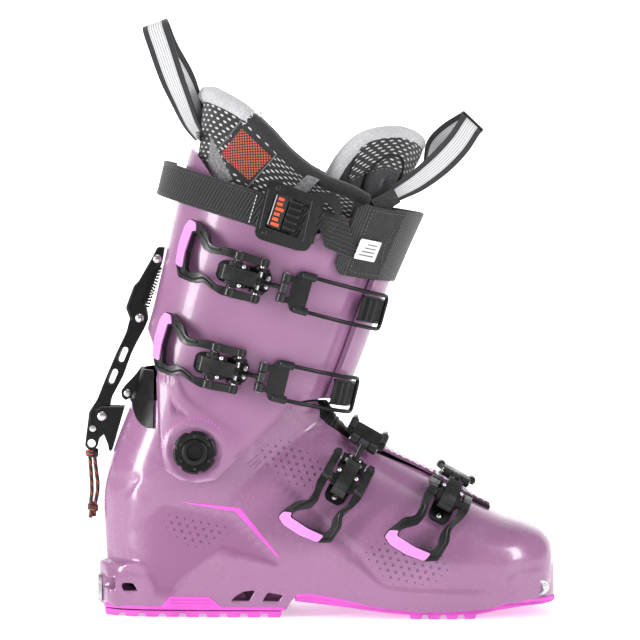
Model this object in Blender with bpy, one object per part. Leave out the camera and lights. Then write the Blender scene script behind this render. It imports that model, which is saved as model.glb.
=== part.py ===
"""Alpine touring boot for the right foot, as an assembly of separate named solids.

Lengths are millimetres in the tables and are scaled to metres when a mesh is made.
+X points to the toe, +Y to the inner (medial) side and +Z up. The origin lies on the
heel sole's ground face, straight below the ankle pivots.
"""

import math

import bmesh
import bpy
from mathutils import Matrix, Vector
from mathutils.bvhtree import BVHTree

MM = 0.001
GAP = 0.4
LATERAL, MEDIAL = -1, 1

# ---------------------------------------------------------------- driving dimensions
PIVOT_X, PIVOT_Z = 1.5, 102.7
SHELL_WALL = 3.5
CUFF_WALL = 3.2
LINER_WALL = 6.5
GUSSET_EDGE_X, GUSSET_TOP_Z = -24.3, 151.0
LINER_FOOT_WALL = 4.4
GROUND = 0.0

# A rib of the lower shell joins a sole or heel point to an instep point. Its values are
# bottom x, z, top x, z, half-width outside and inside, height share of the widest line,
# corner powers below and above that line, and the sideways shift of the middle.
SHELL_RIBS = (
    (220.5, 16, 220.5, 42, 15, 14, 0.50, 2.6, 2.6, 3.0),
    (219.0, 14, 219.5, 46, 24, 23, 0.48, 2.8, 2.8, 3.0),
    (213.0, 12, 213.5, 52, 35, 33, 0.45, 3.0, 2.8, 2.5),
    (200.0, 10.5, 203.0, 57, 43.5, 42, 0.42, 3.2, 2.6, 2.0),
    (184.0, 8, 188.0, 62, 50, 47.5, 0.38, 3.4, 2.4, 1.5),
    (162.0, 6, 168.0, 72, 53.5, 50.5, 0.34, 3.6, 2.3, 1.0),
    (138.0, 5.5, 145.0, 85.5, 53.5, 51, 0.32, 3.6, 2.2, 0.5),
    (114.0, 7.5, 123.0, 96.5, 50, 48.5, 0.30, 3.5, 2.2, 0.0),
    (92.0, 11.5, 107.0, 104.5, 46.5, 45.5, 0.30, 3.3, 2.2, 0.0),
    (70.0, 15, 97.5, 111.5, 43.5, 43, 0.30, 3.1, 2.2, 0.0),
    (48.0, 10, 91.5, 117.5, 42, 42, 0.32, 3.0, 2.2, 0.0),
    (22.0, 6, 88.0, 121.5, 41, 41, 0.34, 2.9, 2.2, 0.0),
    (-6.0, 5, 86.5, 124.0, 40, 40, 0.36, 2.8, 2.2, 0.0),
    (-34.0, 6, 85.5, 126.0, 40, 40, 0.38, 2.7, 2.2, 0.0),
    (-51.0, 14, 84.5, 127.0, 40, 40, 0.40, 2.6, 2.2, 0.0),
    (-54.5, 31, 84.0, 128.0, 40.5, 40.5, 0.42, 2.4, 2.2, 0.0),
    (-56.0, 52, 83.5, 128.8, 41, 41, 0.44, 2.3, 2.2, 0.0),
    (-56.5, 72, 83.0, 129.4, 41.5, 41.5, 0.45, 2.3, 2.2, 0.0),
    (-53.0, 92, 82.5, 130.0, 41.5, 41.5, 0.45, 2.3, 2.2, 0.0),
    (-45.5, 114, 82.0, 130.5, 41.5, 41.5, 0.45, 2.3, 2.2, 0.0),
    (-38.0, 133, 81.5, 131.0, 41, 41, 0.45, 2.3, 2.2, 0.0),
    (-31.5, 151, 81.0, 147.0, 41, 41, 0.45, 2.3, 2.2, 0.0),
    (-27.0, 169, 80.5, 165.0, 41, 41, 0.45, 2.3, 2.2, 0.0),
)
SHELL_TOP = 20
SLOT_START = 5
SLOT_HALF = (0, 9, 14, 16, 17, 17.5, 18, 18)  # half-width of the instep opening, rib by rib

# A rib of the cuff joins a rear point to a front point, perpendicular to the shin.
CUFF_RIBS = (
    (-49.0, 95, 66.0, 61, 47.5, 47.5, 0.50, 2.4, 2.3, 0.0),
    (-43.5, 118, 76.0, 88, 49.0, 49.0, 0.50, 2.4, 2.3, 0.0),
    (-38.0, 141, 85.0, 112, 48.5, 48.5, 0.50, 2.4, 2.3, 0.0),
    (-32.5, 164, 94.0, 135, 48.5, 48.5, 0.50, 2.4, 2.3, 0.0),
    (-26.2, 187, 103.0, 158, 50.0, 50.0, 0.50, 2.4, 2.3, 0.0),
    (-20.6, 210, 112.0, 182, 52.5, 52.5, 0.50, 2.4, 2.3, 0.0),
    (-15.2, 233, 121.0, 205, 55.0, 55.0, 0.50, 2.4, 2.3, 0.0),
    (-9.6, 257, 130.0, 226, 57.0, 57.0, 0.50, 2.4, 2.3, 0.0),
    (-4.0, 280, 139.0, 246, 58.5, 58.5, 0.50, 2.4, 2.3, 0.0),
    (2.0, 300, 147.0, 264, 59.0, 59.0, 0.50, 2.4, 2.3, 0.0),
)
# Height of the cuff's lower and upper edges against x, in side view.
CUFF_LOWER = (
    (-70, 179), (-29, 176), (-25, 168), (-21.5, 150), (-20, 104), (-17, 92), (-8, 86),
    (3, 84), (14, 86), (29, 101), (57, 128), (66, 133.5), (84, 134), (100, 129),
)
CUFF_UPPER = (
    (-20, 286), (-2, 288), (5, 280), (16, 264), (45, 252), (64, 236), (76, 235),
    (90, 244), (104, 246), (150, 236),
)
CUFF_START, CUFF_END = -168, 214  # degrees round from the rear, outer side negative
FLAP_TUCK = 4.2  # how far the outer flap lies inside the inner flap that laps over it

LINER_RIBS = (
    (-26.5, 150, 80.0, 140, 41.0, 41.0, 0.50, 2.4, 2.3, 0.0),
    (-18.6, 185, 92.0, 160, 44.0, 44.0, 0.50, 2.4, 2.3, 0.0),
    (-10.7, 220, 104.0, 186, 47.0, 47.0, 0.50, 2.4, 2.3, 0.0),
    (-3.0, 252, 115.0, 212, 50.0, 50.0, 0.50, 2.4, 2.3, 0.0),
    (2.2, 282, 121.0, 236, 51.0, 51.0, 0.50, 2.4, 2.3, 0.0),
    (4.2, 305, 126.0, 254, 50.0, 50.0, 0.50, 2.4, 2.3, 0.0),
    (7.2, 330, 132.0, 272, 48.0, 48.0, 0.50, 2.4, 2.3, 0.0),
)
LINER_UPPER = (
    (-10, 325), (10, 327), (18, 319), (32, 305), (46, 290), (63, 276), (80, 267),
    (97, 263), (112, 254), (130, 250),
)
LINER_REACH = 136  # degrees round from the rear on each side, leaving the tongue's gap

# Front x, z, half-width and wrap depth of the tongue, from the instep up.
TONGUE_ROWS = (
    (84.0, 152, 28, 26), (93.0, 178, 32, 32), (104.0, 208, 35, 36), (117.0, 238, 37, 40),
    (130.0, 265, 38, 46), (140.0, 285, 36, 48), (139.0, 297, 30, 40),
)
TONGUE_WALL = 6.0

STRAP_LEAN = -0.311  # fall of the power strap towards the front, per length
STRAP_MIDDLE_Z = 262.7
STRAP_HALF = 11.0
STRAP_SLACK, STRAP_SLACK_TURN = 11.0, 62  # how far, and from where, it stands off the rear


# ---------------------------------------------------------------- scene and materials
def clear_scene():
    for obj in list(bpy.data.objects):
        bpy.data.objects.remove(obj)


def material(name, colour, roughness, metallic=0.0):
    made = bpy.data.materials.new(name)
    made.use_nodes = True
    shader = made.node_tree.nodes["Principled BSDF"]
    shader.inputs["Base Color"].default_value = (*colour, 1.0)
    shader.inputs["Roughness"].default_value = roughness
    shader.inputs["Metallic"].default_value = metallic
    return made


def make_materials():
    return {
        "shell": material("shell", (0.56, 0.27, 0.47), 0.3),
        "sole": material("sole", (0.62, 0.10, 0.50), 0.6),
        "pad": material("pad", (0.85, 0.42, 0.78), 0.35),
        "black": material("black", (0.02, 0.02, 0.022), 0.4),
        "rubber": material("rubber", (0.015, 0.015, 0.016), 0.6),
        "steel": material("steel", (0.75, 0.75, 0.76), 0.25, 1.0),
        "bronze": material("bronze", (0.42, 0.34, 0.30), 0.3, 1.0),
        "liner": material("liner", (0.02, 0.02, 0.022), 0.85),
        "collar": material("collar", (0.55, 0.55, 0.56), 0.8),
        "webbing": material("webbing", (0.03, 0.03, 0.032), 0.8),
        "cord": material("cord", (0.04, 0.03, 0.03), 0.8),
        "foam": material("foam", (0.30, 0.30, 0.32), 0.8),
    }


# ---------------------------------------------------------------- mesh helpers
def add_object(name, verts, faces, mat=None):
    """A mesh object from points in millimetres, with its normals made to face out."""
    mesh = bpy.data.meshes.new(name)
    mesh.from_pydata([Vector(v) * MM for v in verts], [], faces)
    bm = bmesh.new()
    bm.from_mesh(mesh)
    bmesh.ops.remove_doubles(bm, verts=bm.verts, dist=1e-6)
    bmesh.ops.recalc_face_normals(bm, faces=bm.faces)
    if bm.calc_volume(signed=True) < 0:
        bmesh.ops.reverse_faces(bm, faces=bm.faces)
    bm.to_mesh(mesh)
    bm.free()
    mesh.shade_smooth()
    mesh.set_sharp_from_angle(angle=math.radians(35))
    obj = bpy.data.objects.new(name, mesh)
    bpy.context.scene.collection.objects.link(obj)
    if mat:
        mesh.materials.append(mat)
    return obj


def as_helper(obj):
    obj.hide_render = True
    obj.display_type = "WIRE"
    return obj


def boolean(obj, other, operation):
    modifier = obj.modifiers.new(operation.lower(), "BOOLEAN")
    modifier.operation = operation
    modifier.object = as_helper(other)
    modifier.solver = "EXACT"


def catmull(rows, t):
    """A row of values between the rows of a table, on a smooth curve through them, and on a
    straight line beyond its ends."""
    end = min(max(t, 0), len(rows) - 1)
    if t != end:
        near = rows[1] if end == 0 else rows[-2]
        return [a + (a - b) * abs(t - end) for a, b in zip(rows[int(end)], near)]
    i = max(0, min(int(t), len(rows) - 2))
    f = t - i
    before, a, b = rows[max(i - 1, 0)], rows[i], rows[i + 1]
    after = rows[min(i + 2, len(rows) - 1)]
    return [
        0.5 * (2 * p1 + (p2 - p0) * f + (2 * p0 - 5 * p1 + 4 * p2 - p3) * f * f
               + (3 * p1 - p0 - 3 * p2 + p3) * f ** 3)
        for p0, p1, p2, p3 in zip(before, a, b, after)
    ]


def ramp(points, x):
    """Straight-line reading of a table of (x, value)."""
    if x <= points[0][0]:
        return points[0][1]
    for (xa, ya), (xb, yb) in zip(points, points[1:]):
        if x <= xb:
            return ya + (yb - ya) * (x - xa) / (xb - xa)
    return points[-1][1]


def smoothstep(low, high, x):
    f = max(0.0, min(1.0, (x - low) / (high - low)))
    return f * f * (3 - 2 * f)


def rib_point(ribs, t, side, phi, inset=0.0, floor=None):
    """A point on the ribbed surface. phi runs from -90 at the bottom or rear to 90 at the
    top or front. inset moves it inwards, and floor does so at the bottom alone."""
    bx, bz, tx, tz, outer, inner, wide, low_power, high_power, shift = catmull(ribs, t)
    length = math.hypot(tx - bx, tz - bz)
    power = low_power if phi < 0 else high_power
    across = max(0.0, math.cos(math.radians(phi))) ** (2 / power)
    along = abs(math.sin(math.radians(phi))) ** (2 / power)
    bottom = (inset if floor is None else floor) / length
    if phi < 0:
        share = wide - (wide - bottom) * along
    else:
        share = wide + (1 - inset / length - wide) * along
    width = (outer if side < 0 else inner) - inset
    return Vector((bx + (tx - bx) * share, shift + side * width * across, bz + (tz - bz) * share))


def solid_between(name, outer, inner, mat, wrap=False, cap_first=False):
    """One closed solid between two grids of points. wrap joins each row's ends, and
    cap_first closes the first row."""
    rows, columns = len(outer), len(outer[0])
    verts = [p for row in outer for p in row] + [p for row in inner for p in row]
    half = rows * columns
    faces = []
    for base, turn in ((0, 1), (half, -1)):
        for i in range(rows - 1):
            for j in range(columns if wrap else columns - 1):
                k = (j + 1) % columns
                quad = [base + i * columns + j, base + i * columns + k,
                        base + (i + 1) * columns + k, base + (i + 1) * columns + j]
                faces.append(quad[::turn])
    for j in range(columns if wrap else columns - 1):
        k = (j + 1) % columns
        last = (rows - 1) * columns
        faces.append([last + j, last + k, half + last + k, half + last + j])
        if not cap_first:
            faces.append([k, j, half + j, half + k])
    if cap_first:
        faces.append(list(range(columns))[::-1])
        faces.append([half + j for j in range(columns)])
    if not wrap:
        for i in range(rows - 1):
            if all((row[0] - row[-1]).length < 0.01 for row in (outer[i], outer[i + 1])):
                continue
            a, b = i * columns, (i + 1) * columns
            faces.append([a, b, half + b, half + a])
            a, b = a + columns - 1, b + columns - 1
            faces.append([b, a, half + a, half + b])
    return add_object(name, verts, faces, mat)


def loft(name, grid):
    """A closed solid through rings of points."""
    columns = len(grid[0])
    faces = [list(range(columns))[::-1], [(len(grid) - 1) * columns + j for j in range(columns)]]
    for i in range(len(grid) - 1):
        for j in range(columns):
            k = (j + 1) % columns
            faces.append([i * columns + j, i * columns + k, (i + 1) * columns + k, (i + 1) * columns + j])
    return add_object(name, [p for row in grid for p in row], faces)


def prism(name, outline, low, high, place, mat=None, holes=()):
    """An outline of (a, b) points extruded from low to high. place turns (a, b, c) into a
    point, and each hole is an outline cut right through."""
    bm = bmesh.new()
    loops = []
    for points in (outline, *holes):
        verts = [bm.verts.new((a, b, 0)) for a, b in points]
        loops.append([bm.edges.new((verts[i - 1], verts[i])) for i in range(len(verts))])
    filled = bmesh.ops.triangle_fill(bm, use_beauty=True, edges=[e for l in loops for e in l])
    faces = [f for f in filled["geom"] if isinstance(f, bmesh.types.BMFace)]
    bmesh.ops.recalc_face_normals(bm, faces=faces)
    flat = [(v.co.x, v.co.y) for v in bm.verts]
    bm.verts.index_update()
    tris = [[v.index for v in f.verts] for f in faces]
    edges = [(e.verts[0].index, e.verts[1].index) for e in bm.edges if len(e.link_faces) == 1]
    bm.free()
    count = len(flat)
    verts = [place(a, b, low) for a, b in flat] + [place(a, b, high) for a, b in flat]
    sides = [[a, b, b + count, a + count] for a, b in edges]
    return add_object(name, verts, tris + [[i + count for i in t[::-1]] for t in tris] + sides, mat)


def circle(cx, cy, radius, count=12):
    return [
        (cx + radius * math.cos(2 * math.pi * i / count),
         cy + radius * math.sin(2 * math.pi * i / count))
        for i in range(count)
    ]


def stadium(ax, ay, bx, by, radius, count=5):
    """A slot outline round two centres."""
    turn = math.atan2(by - ay, bx - ax)
    points = []
    for (cx, cy), start in (((bx, by), turn - math.pi / 2), ((ax, ay), turn + math.pi / 2)):
        for i in range(count + 1):
            angle = start + math.pi * i / count
            points.append((cx + radius * math.cos(angle), cy + radius * math.sin(angle)))
    return points


def lathe(name, profile, centre, axis, mat, count=16):
    """A turned solid: profile is (radius, distance along axis) from end to end."""
    axis = Vector(axis).normalized()
    across = axis.orthogonal().normalized()
    up = axis.cross(across)
    centre = Vector(centre)
    verts, faces = [], []
    for radius, along in profile:
        for i in range(count):
            angle = 2 * math.pi * i / count
            verts.append(centre + axis * along + (across * math.cos(angle) + up * math.sin(angle)) * radius)
    for r in range(len(profile) - 1):
        for i in range(count):
            k = (i + 1) % count
            faces.append([r * count + i, r * count + k, (r + 1) * count + k, (r + 1) * count + i])
    faces.append(list(range(count))[::-1])
    faces.append([(len(profile) - 1) * count + i for i in range(count)])
    return add_object(name, verts, faces, mat)


def rod(name, start, end, radius, mat=None, count=12):
    start, end = Vector(start), Vector(end)
    return lathe(name, ((radius, 0), (radius, (end - start).length)), start, end - start, mat, count)


def box(name, low, high, mat=None):
    verts = [(x, y, z) for x in (low[0], high[0]) for y in (low[1], high[1]) for z in (low[2], high[2])]
    faces = [(0, 1, 3, 2), (4, 6, 7, 5), (0, 4, 5, 1), (2, 3, 7, 6), (0, 2, 6, 4), (1, 5, 7, 3)]
    return add_object(name, verts, faces, mat)


def tube(name, points, radius, mat, sides=8, closed=False, flat=1.0, across=None):
    """A bar along a list of points. flat squeezes it towards its path's normal, and across
    holds that squeeze's wide direction."""
    points = [Vector(p) for p in points]
    verts, faces, count = [], [], len(points)
    hold = Vector(across).normalized() if across else None
    side = None
    for i, p in enumerate(points):
        ahead = points[(i + 1) % count] if closed or i < count - 1 else p
        behind = points[i - 1] if closed or i > 0 else p
        tangent = (ahead - behind).normalized()
        if hold:
            side = (hold - tangent * hold.dot(tangent)).normalized()
        elif side is None:
            side = tangent.orthogonal().normalized()
        else:
            side = (side - tangent * side.dot(tangent)).normalized()
        up = tangent.cross(side)
        for k in range(sides):
            angle = 2 * math.pi * (k + 0.5) / sides
            verts.append(p + side * radius * math.cos(angle) + up * radius * flat * math.sin(angle))
    for i in range(count if closed else count - 1):
        j = (i + 1) % count
        for k in range(sides):
            m = (k + 1) % sides
            faces.append([i * sides + k, i * sides + m, j * sides + m, j * sides + k])
    if not closed:
        faces.append(list(range(sides))[::-1])
        faces.append([(count - 1) * sides + k for k in range(sides)])
    return add_object(name, verts, faces, mat)


def side_place(a, b, c):
    """Side view: a is x, b is z and c is y."""
    return Vector((a, c, b))


def plan_place(a, b, c):
    """Plan view: a is x, b is y and c is z."""
    return Vector((a, b, c))


# ---------------------------------------------------------------- lower shell
def slot_half(t):
    if t <= SLOT_START:
        return 0.0
    rows = [(SLOT_START + i, w) for i, w in enumerate(SLOT_HALF)]
    return ramp(rows, t)


def slot_phi(t, side):
    """The angle at which the shell's wall stops for the instep opening."""
    row = catmull(SHELL_RIBS, t)
    width = row[4] if side < 0 else row[5]
    share = min(1.0, slot_half(t) / width)
    return math.degrees(math.acos(min(1.0, share ** (row[8] / 2))))


def shell_grid(ts, columns, inset=0.0, floor=None, slot=True):
    """Rows of points from the outer edge, under the sole or round the heel, to the inner edge."""
    grid = []
    for t in ts:
        row = []
        for side, span in ((LATERAL, range(columns + 1)), (MEDIAL, range(columns - 1, -1, -1))):
            top = slot_phi(t, side) if slot else 90.0
            for j in span:
                p = rib_point(SHELL_RIBS, t, side, top - (top + 90) * j / columns, inset, floor)
                p.x -= inset * smoothstep(190, 219, p.x)
                row.append(p)
        grid.append(row)
    return grid


def build_lower_shell(mats):
    rows = [0, 0.5, 1, 1.5, 2, 3, 4] + list(range(5, SHELL_TOP + 1))
    outer = shell_grid(rows, 11)
    inner = shell_grid(rows, 11, SHELL_WALL)
    shell = solid_between("lower_shell", outer, inner, mats["shell"], cap_first=True)
    toe_plan = [(190, -37), (203, -35), (214, -31), (221, -22), (223.5, -10), (224, 4),
                (223.5, 16), (220, 26), (213, 33), (203, 37), (190, 39)]
    heel_plan = [(-57.5, -14), (-54, -23), (-46, -29.5), (-30, -34), (0, -36), (40, -37), (57, -37),
                 (57, 37), (40, 37), (0, 36), (-30, 34), (-46, 29.5), (-54, 23), (-57.5, 14)]
    core = loft("shell_core", shell_grid(rows[:-4], 8, SHELL_WALL + 0.08, slot=False))
    for plan, low, high in ((toe_plan, 10.5, 23.5), (heel_plan, 4.4, 22.0)):
        ledge = prism("ledge", plan, low, high, plan_place)
        boolean(ledge, core, "DIFFERENCE")
        boolean(shell, ledge, "UNION")
    for side in (LATERAL, MEDIAL):
        hole = rod("pivot_hole", (PIVOT_X, side * 30, PIVOT_Z), (PIVOT_X, side * 60, PIVOT_Z), 6.0, None, 16)
        boolean(shell, hole, "DIFFERENCE")
    socket = rod("toe_socket", (211, -60, 17.5), (211, 60, 17.5), 4.6, None, 12)
    boolean(shell, socket, "DIFFERENCE")
    return shell


def station_solid(name, stations, mat):
    """A bar of rectangular stations: x, low z, high z, y outside, y inside."""
    verts, faces = [], []
    for x, low, high, outer, inner in stations:
        verts += [(x, outer, low), (x, inner, low), (x, inner, high), (x, outer, high)]
    for i in range(len(stations) - 1):
        for k in range(4):
            m = (k + 1) % 4
            faces.append([4 * i + k, 4 * i + m, 4 * i + 4 + m, 4 * i + 4 + k])
    last = 4 * (len(stations) - 1)
    faces += [[3, 2, 1, 0], [last, last + 1, last + 2, last + 3]]
    return add_object(name, verts, faces, mat)


HEEL_WIDTH = ((-57, 16), (-53, 24), (-45, 30), (-30, 34.5), (0, 36.5), (60, 37.5))
FORE_OUTER = ((62, 37.5), (90, 40), (120, 44), (150, 46.5), (175, 44), (200, 36), (214, 28), (220, 20), (223, 8))
FORE_INNER = ((62, 37.5), (90, 39), (120, 42.5), (150, 45), (175, 44), (200, 39), (214, 32), (220, 25), (223, 14))
FORE_TOP = ((62, 12.6), (70, 13.6), (78, 12.4), (92, 10.2), (114, 6.4), (138, 4.2), (162, 4.7), (184, 6.5), (190, 9), (223.5, 10))
FORE_SOLE_LOW = ((62, 10), (78, 8.3), (98, 6), (114, 4), (126, 2.8), (176, 3), (184, 4.5), (200, 6.5), (223.5, 7.5))


def lugs(start, end, pitch, cut):
    """The x places where a tread bar begins and ends, bar and groove in turn."""
    edges, x = [], start
    while x < end - 0.5:
        edges.append((x, min(x + pitch - cut, end)))
        x += pitch
    return edges


def build_soles(mats):
    stations = []
    for x0, x1 in lugs(-55, 57.5, 12.5, 3.5):
        for x, low in ((x0, 2.4), (x0 + 0.6, GROUND), (x1 - 0.6, GROUND), (x1, 2.4)):
            half = ramp(HEEL_WIDTH, x)
            stations.append((x, low, 4.0, -half, half))
    build = [stations[0]] + [s for a, s in zip(stations, stations[1:]) if s[0] > a[0] + 1e-6]
    station_solid("heel_sole", build, mats["sole"])
    stations = []
    xs = [(x, None) for x in (62, 70, 78, 88, 98, 106, 114, 122, 128)]
    for x0, x1 in lugs(132, 176, 11, 3):
        xs += [(x0, None), (x0 + 0.8, GROUND), (x1 - 0.8, GROUND), (x1, None)]
    xs += [(x, None) for x in (180, 188, 196, 203, 209, 214, 218, 221, 223)]
    for x, low in xs:
        low = ramp(FORE_SOLE_LOW, x) if low is None else low
        stations.append((x, low, ramp(FORE_TOP, x), -ramp(FORE_OUTER, x), ramp(FORE_INNER, x)))
    station_solid("fore_sole", stations, mats["sole"])


BOARD = ((-35, 12.9, 8), (-28, 11.9, 13), (0, 11.6, 15), (30, 13.0, 16), (48, 16.4, 16),
         (60, 19.2, 17), (70, 20.2, 18), (80, 19.0, 18), (92, 16.6, 19),
         (114, 12.6, 24), (138, 10.6, 27), (162, 11.0, 27), (184, 13.2, 23), (192, 15.2, 15))
FOOTBED = ((-24, 23.6, 9), (-18, 22.8, 11), (0, 23.0, 14), (30, 25.0, 15), (48, 28.4, 16), (60, 32.0, 17),
           (70, 33.0, 17), (80, 31.8, 18), (92, 29.6, 18), (114, 26.2, 21), (138, 24.6, 24), (162, 25.0, 24),
           (180, 27.4, 20), (187, 29.6, 13))


def build_inside(mats):
    """The board under the liner and the footbed in it."""
    for name, rows, thick, mat in (("boot_board", BOARD, 2.4, "foam"), ("footbed", FOOTBED, 2.2, "collar")):
        station_solid(name, [(x, z, z + thick, -half, half) for x, z, half in rows], mats[mat])


def build_inserts(mats):
    """Steel sockets for the binding's toe pins, and the heel fitting."""
    profile = ((1.4, 2.6), (3.6, 0.0), (4.2, 0.0), (4.2, 67.5), (3.6, 67.5), (1.4, 65.0))
    lathe("toe_insert", profile, (211, -32.2, 17.5), (0, 1, 0), mats["steel"], 12)
    plan = [(-60.8, -12), (-58.3, -13), (-58.3, 13), (-60.8, 12)]
    heel = prism("heel_insert", plan, 6.0, 24.0, plan_place, mats["steel"])
    for side in (LATERAL, MEDIAL):
        slot = box("heel_slot", (-64, side * 6 - 2.2, 11), (-56, side * 6 + 2.2, 20))
        boolean(heel, slot, "DIFFERENCE")


def build_pivots(mats):
    for side, name in ((LATERAL, "pivot_lateral"), (MEDIAL, "pivot_medial")):
        profile = ((5.0, 35.0), (8.0, 35.0), (8.0, 36.4), (5.6, 36.5), (5.6, 50.6), (13.2, 50.6),
                   (13.2, 52.6), (11.6, 54.0), (4.0, 54.6), (3.6, 53.4), (1.4, 53.4))
        lathe(name, profile, (PIVOT_X, 0, PIVOT_Z), (0, side, 0), mats["black"], 16)


# ---------------------------------------------------------------- liner, gasket and flap
def build_liner_foot(mats):
    rows = [1.5, 2.5, 3.5, 4.5, 5.5, 7, 8.5, 10, 11.5, 13, 14, 15, 16, 17, 18, 19]
    outer = shell_grid(rows, 8, 7.0, 12.0, slot=False)
    inner = shell_grid(rows, 8, 7.0 + LINER_FOOT_WALL, 16.6, slot=False)
    foot = solid_between("liner_foot", outer, inner, mats["liner"], cap_first=True)
    lid = prism("liner_cut", [(-80, 97), (120, 118), (120, 200), (-80, 200)], -80, 80, side_place)
    boolean(foot, lid, "DIFFERENCE")


def gasket_grid(ts, columns, lift):
    """The rubber seal under the instep opening, flush in the middle and tucked at its edges."""
    grid = []
    for t in ts:
        row = []
        for j in range(columns + 1):
            w = 2 * j / columns - 1
            side = LATERAL if w < 0 else MEDIAL
            ribs = catmull(SHELL_RIBS, t)
            width = ribs[4] if side < 0 else ribs[5]
            across = abs(w) * (slot_half(t) + 4.5)
            phi = math.degrees(math.acos((across / width) ** (ribs[8] / 2)))
            free = slot_half(t) - 1.5
            tuck = 0.4 + 4.15 * smoothstep(free - 6, free, across)
            row.append(rib_point(SHELL_RIBS, t, side, phi, tuck - lift))
        grid.append(row)
    return grid


def build_gasket(mats):
    rows = [5.4, 6, 6.7, 7.4, 8.2, 9, 10, 11.5, 13, 14.5, 16, 18, 19.7]
    solid_between("instep_gasket", gasket_grid(rows, 8, 0.0), gasket_grid(rows, 8, -1.6), mats["rubber"])


def flap_grid(ts, columns, lift):
    """The inner side's overlap, from just past the middle to the inner wall."""
    grid = []
    for t in ts:
        row = []
        for j in range(columns + 1):
            y = -10 + 42 * j / columns
            side = LATERAL if y < 0 else MEDIAL
            ribs = catmull(SHELL_RIBS, t)
            width = (ribs[4] if side < 0 else ribs[5])
            phi = math.degrees(math.acos(min(1.0, abs(y) / width) ** (ribs[8] / 2)))
            row.append(rib_point(SHELL_RIBS, t, side, phi, -lift))
        grid.append(row)
    return grid


def build_flap(mats):
    rows = [4.3, 4.7, 5.2, 5.8, 6.4, 7.0, 7.4]
    solid_between("instep_flap", flap_grid(rows, 8, 3.6), flap_grid(rows, 8, 1.2), mats["shell"])


def gusset_point(z, w, outset):
    """A point of the spine, w of the way from the middle of the rear to the cuff's rear edge."""
    line = ((-100, z), (100, z))
    low, high = 0.0, 90.0
    for _ in range(20):
        turn = (low + high) / 2
        k = height_on(SHELL_RIBS, turn, line, -outset)
        low, high = (low, turn) if round_point(SHELL_RIBS, k, turn, -outset).x > GUSSET_EDGE_X else (turn, high)
    turn = w * low
    return round_point(SHELL_RIBS, height_on(SHELL_RIBS, turn, line, -outset), turn, -outset)


def build_gusset(mats):
    """The black spine that closes the gap between the shell's rear rim and the cuff."""
    grids = []
    for outset in (1.8, 0.5):
        grid = []
        for i in range(6):
            row = []
            for j in range(-6, 7):
                w = j / 6
                low = 131 - 15 * smoothstep(0.25, 0.95, abs(w))
                row.append(gusset_point(low + (GUSSET_TOP_Z - low) * i / 5, w, outset))
            grid.append(row)
        grids.append(grid)
    gusset = solid_between("rear_gusset", *grids, mats["black"])
    ear = [(-43.0, 131), (-45.2, 133), (-45.6, 137.0), (-43.2, 140.2), (-37.2, 146.5), (-33.0, 152),
           (-31.4, 151), (-34.2, 144), (-37.4, 137.5), (-39.4, 132.5)]
    boolean(gusset, prism("gusset_ear", ear, -5.2, 5.2, side_place), "UNION")


# ---------------------------------------------------------------- cuff
def round_point(ribs, k, turn, inset=0.0):
    """A point round the leg: turn is degrees from the rear, outer side negative, past 180
    on the inner side's lap."""
    if turn > 180:
        return rib_point(ribs, k, LATERAL, 270 - turn, inset)
    side = LATERAL if turn < 0 else MEDIAL
    return rib_point(ribs, k, side, abs(turn) - 90, inset)


def height_on(ribs, turn, line, inset=0.0):
    """The rib number at which the surface crosses a line of z against x in side view."""
    low, high = -1.5, len(ribs) + 1.0
    for _ in range(40):
        mid = (low + high) / 2
        p = round_point(ribs, mid, turn, inset)
        if p.z < ramp(line, p.x):
            low = mid
        else:
            high = mid
    return (low + high) / 2


def band_grid(ribs, turns, lower, upper, rows, inset_of):
    """A band round the leg between two edge lines, one column for each turn."""
    columns = []
    for turn in turns:
        inset = inset_of(turn)
        low, high = height_on(ribs, turn, lower, inset), height_on(ribs, turn, upper, inset)
        columns.append([round_point(ribs, low + (high - low) * i / rows, turn, inset) for i in range(rows + 1)])
    return columns


def tuck(turn):
    return FLAP_TUCK * smoothstep(-125, -140, turn)


def build_cuff(mats):
    count = 40
    turns = [CUFF_START + (CUFF_END - CUFF_START) * i / count for i in range(count + 1)]
    outer = band_grid(CUFF_RIBS, turns, CUFF_LOWER, CUFF_UPPER, 7, tuck)
    inner = band_grid(CUFF_RIBS, turns, CUFF_LOWER, CUFF_UPPER, 7, lambda turn: tuck(turn) + CUFF_WALL)
    cuff = solid_between("cuff", outer, inner, mats["shell"])
    for side in (LATERAL, MEDIAL):
        hole = rod("cuff_hole", (PIVOT_X, side * 30, PIVOT_Z), (PIVOT_X, side * 60, PIVOT_Z), 6.0, None, 16)
        boolean(cuff, hole, "DIFFERENCE")
    return cuff


def build_liner_shaft(mats):
    count = 26
    turns = [-LINER_REACH + 2 * LINER_REACH * i / count for i in range(count + 1)]
    lower = ((-40, 174), (-24, 171), (-8, 162), (4, 154), (40, 146), (90, 141))
    outer = band_grid(LINER_RIBS, turns, lower, LINER_UPPER, 5, lambda turn: 0)
    inner = band_grid(LINER_RIBS, turns, lower, LINER_UPPER, 5, lambda turn: LINER_WALL)
    solid_between("liner_shaft", outer, inner, mats["liner"])


def tongue_grid(rows, columns, inset):
    grid = []
    for t in rows:
        x, z, half, depth = catmull(TONGUE_ROWS, t)
        row = []
        for j in range(columns + 1):
            angle = math.radians(-84 + 168 * j / columns)
            along = (depth - inset * 0.3) * (1 - math.cos(angle)) + inset
            row.append(Vector((x - along, (half - inset) * math.sin(angle), z + 0.28 * along)))
        grid.append(row)
    return grid


def build_tongue(mats):
    rows = [0, 1, 2, 3, 4, 4.7, 5.4, 6]
    solid_between("tongue", tongue_grid(rows, 12, 0), tongue_grid(rows, 12, TONGUE_WALL), mats["liner"])


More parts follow.
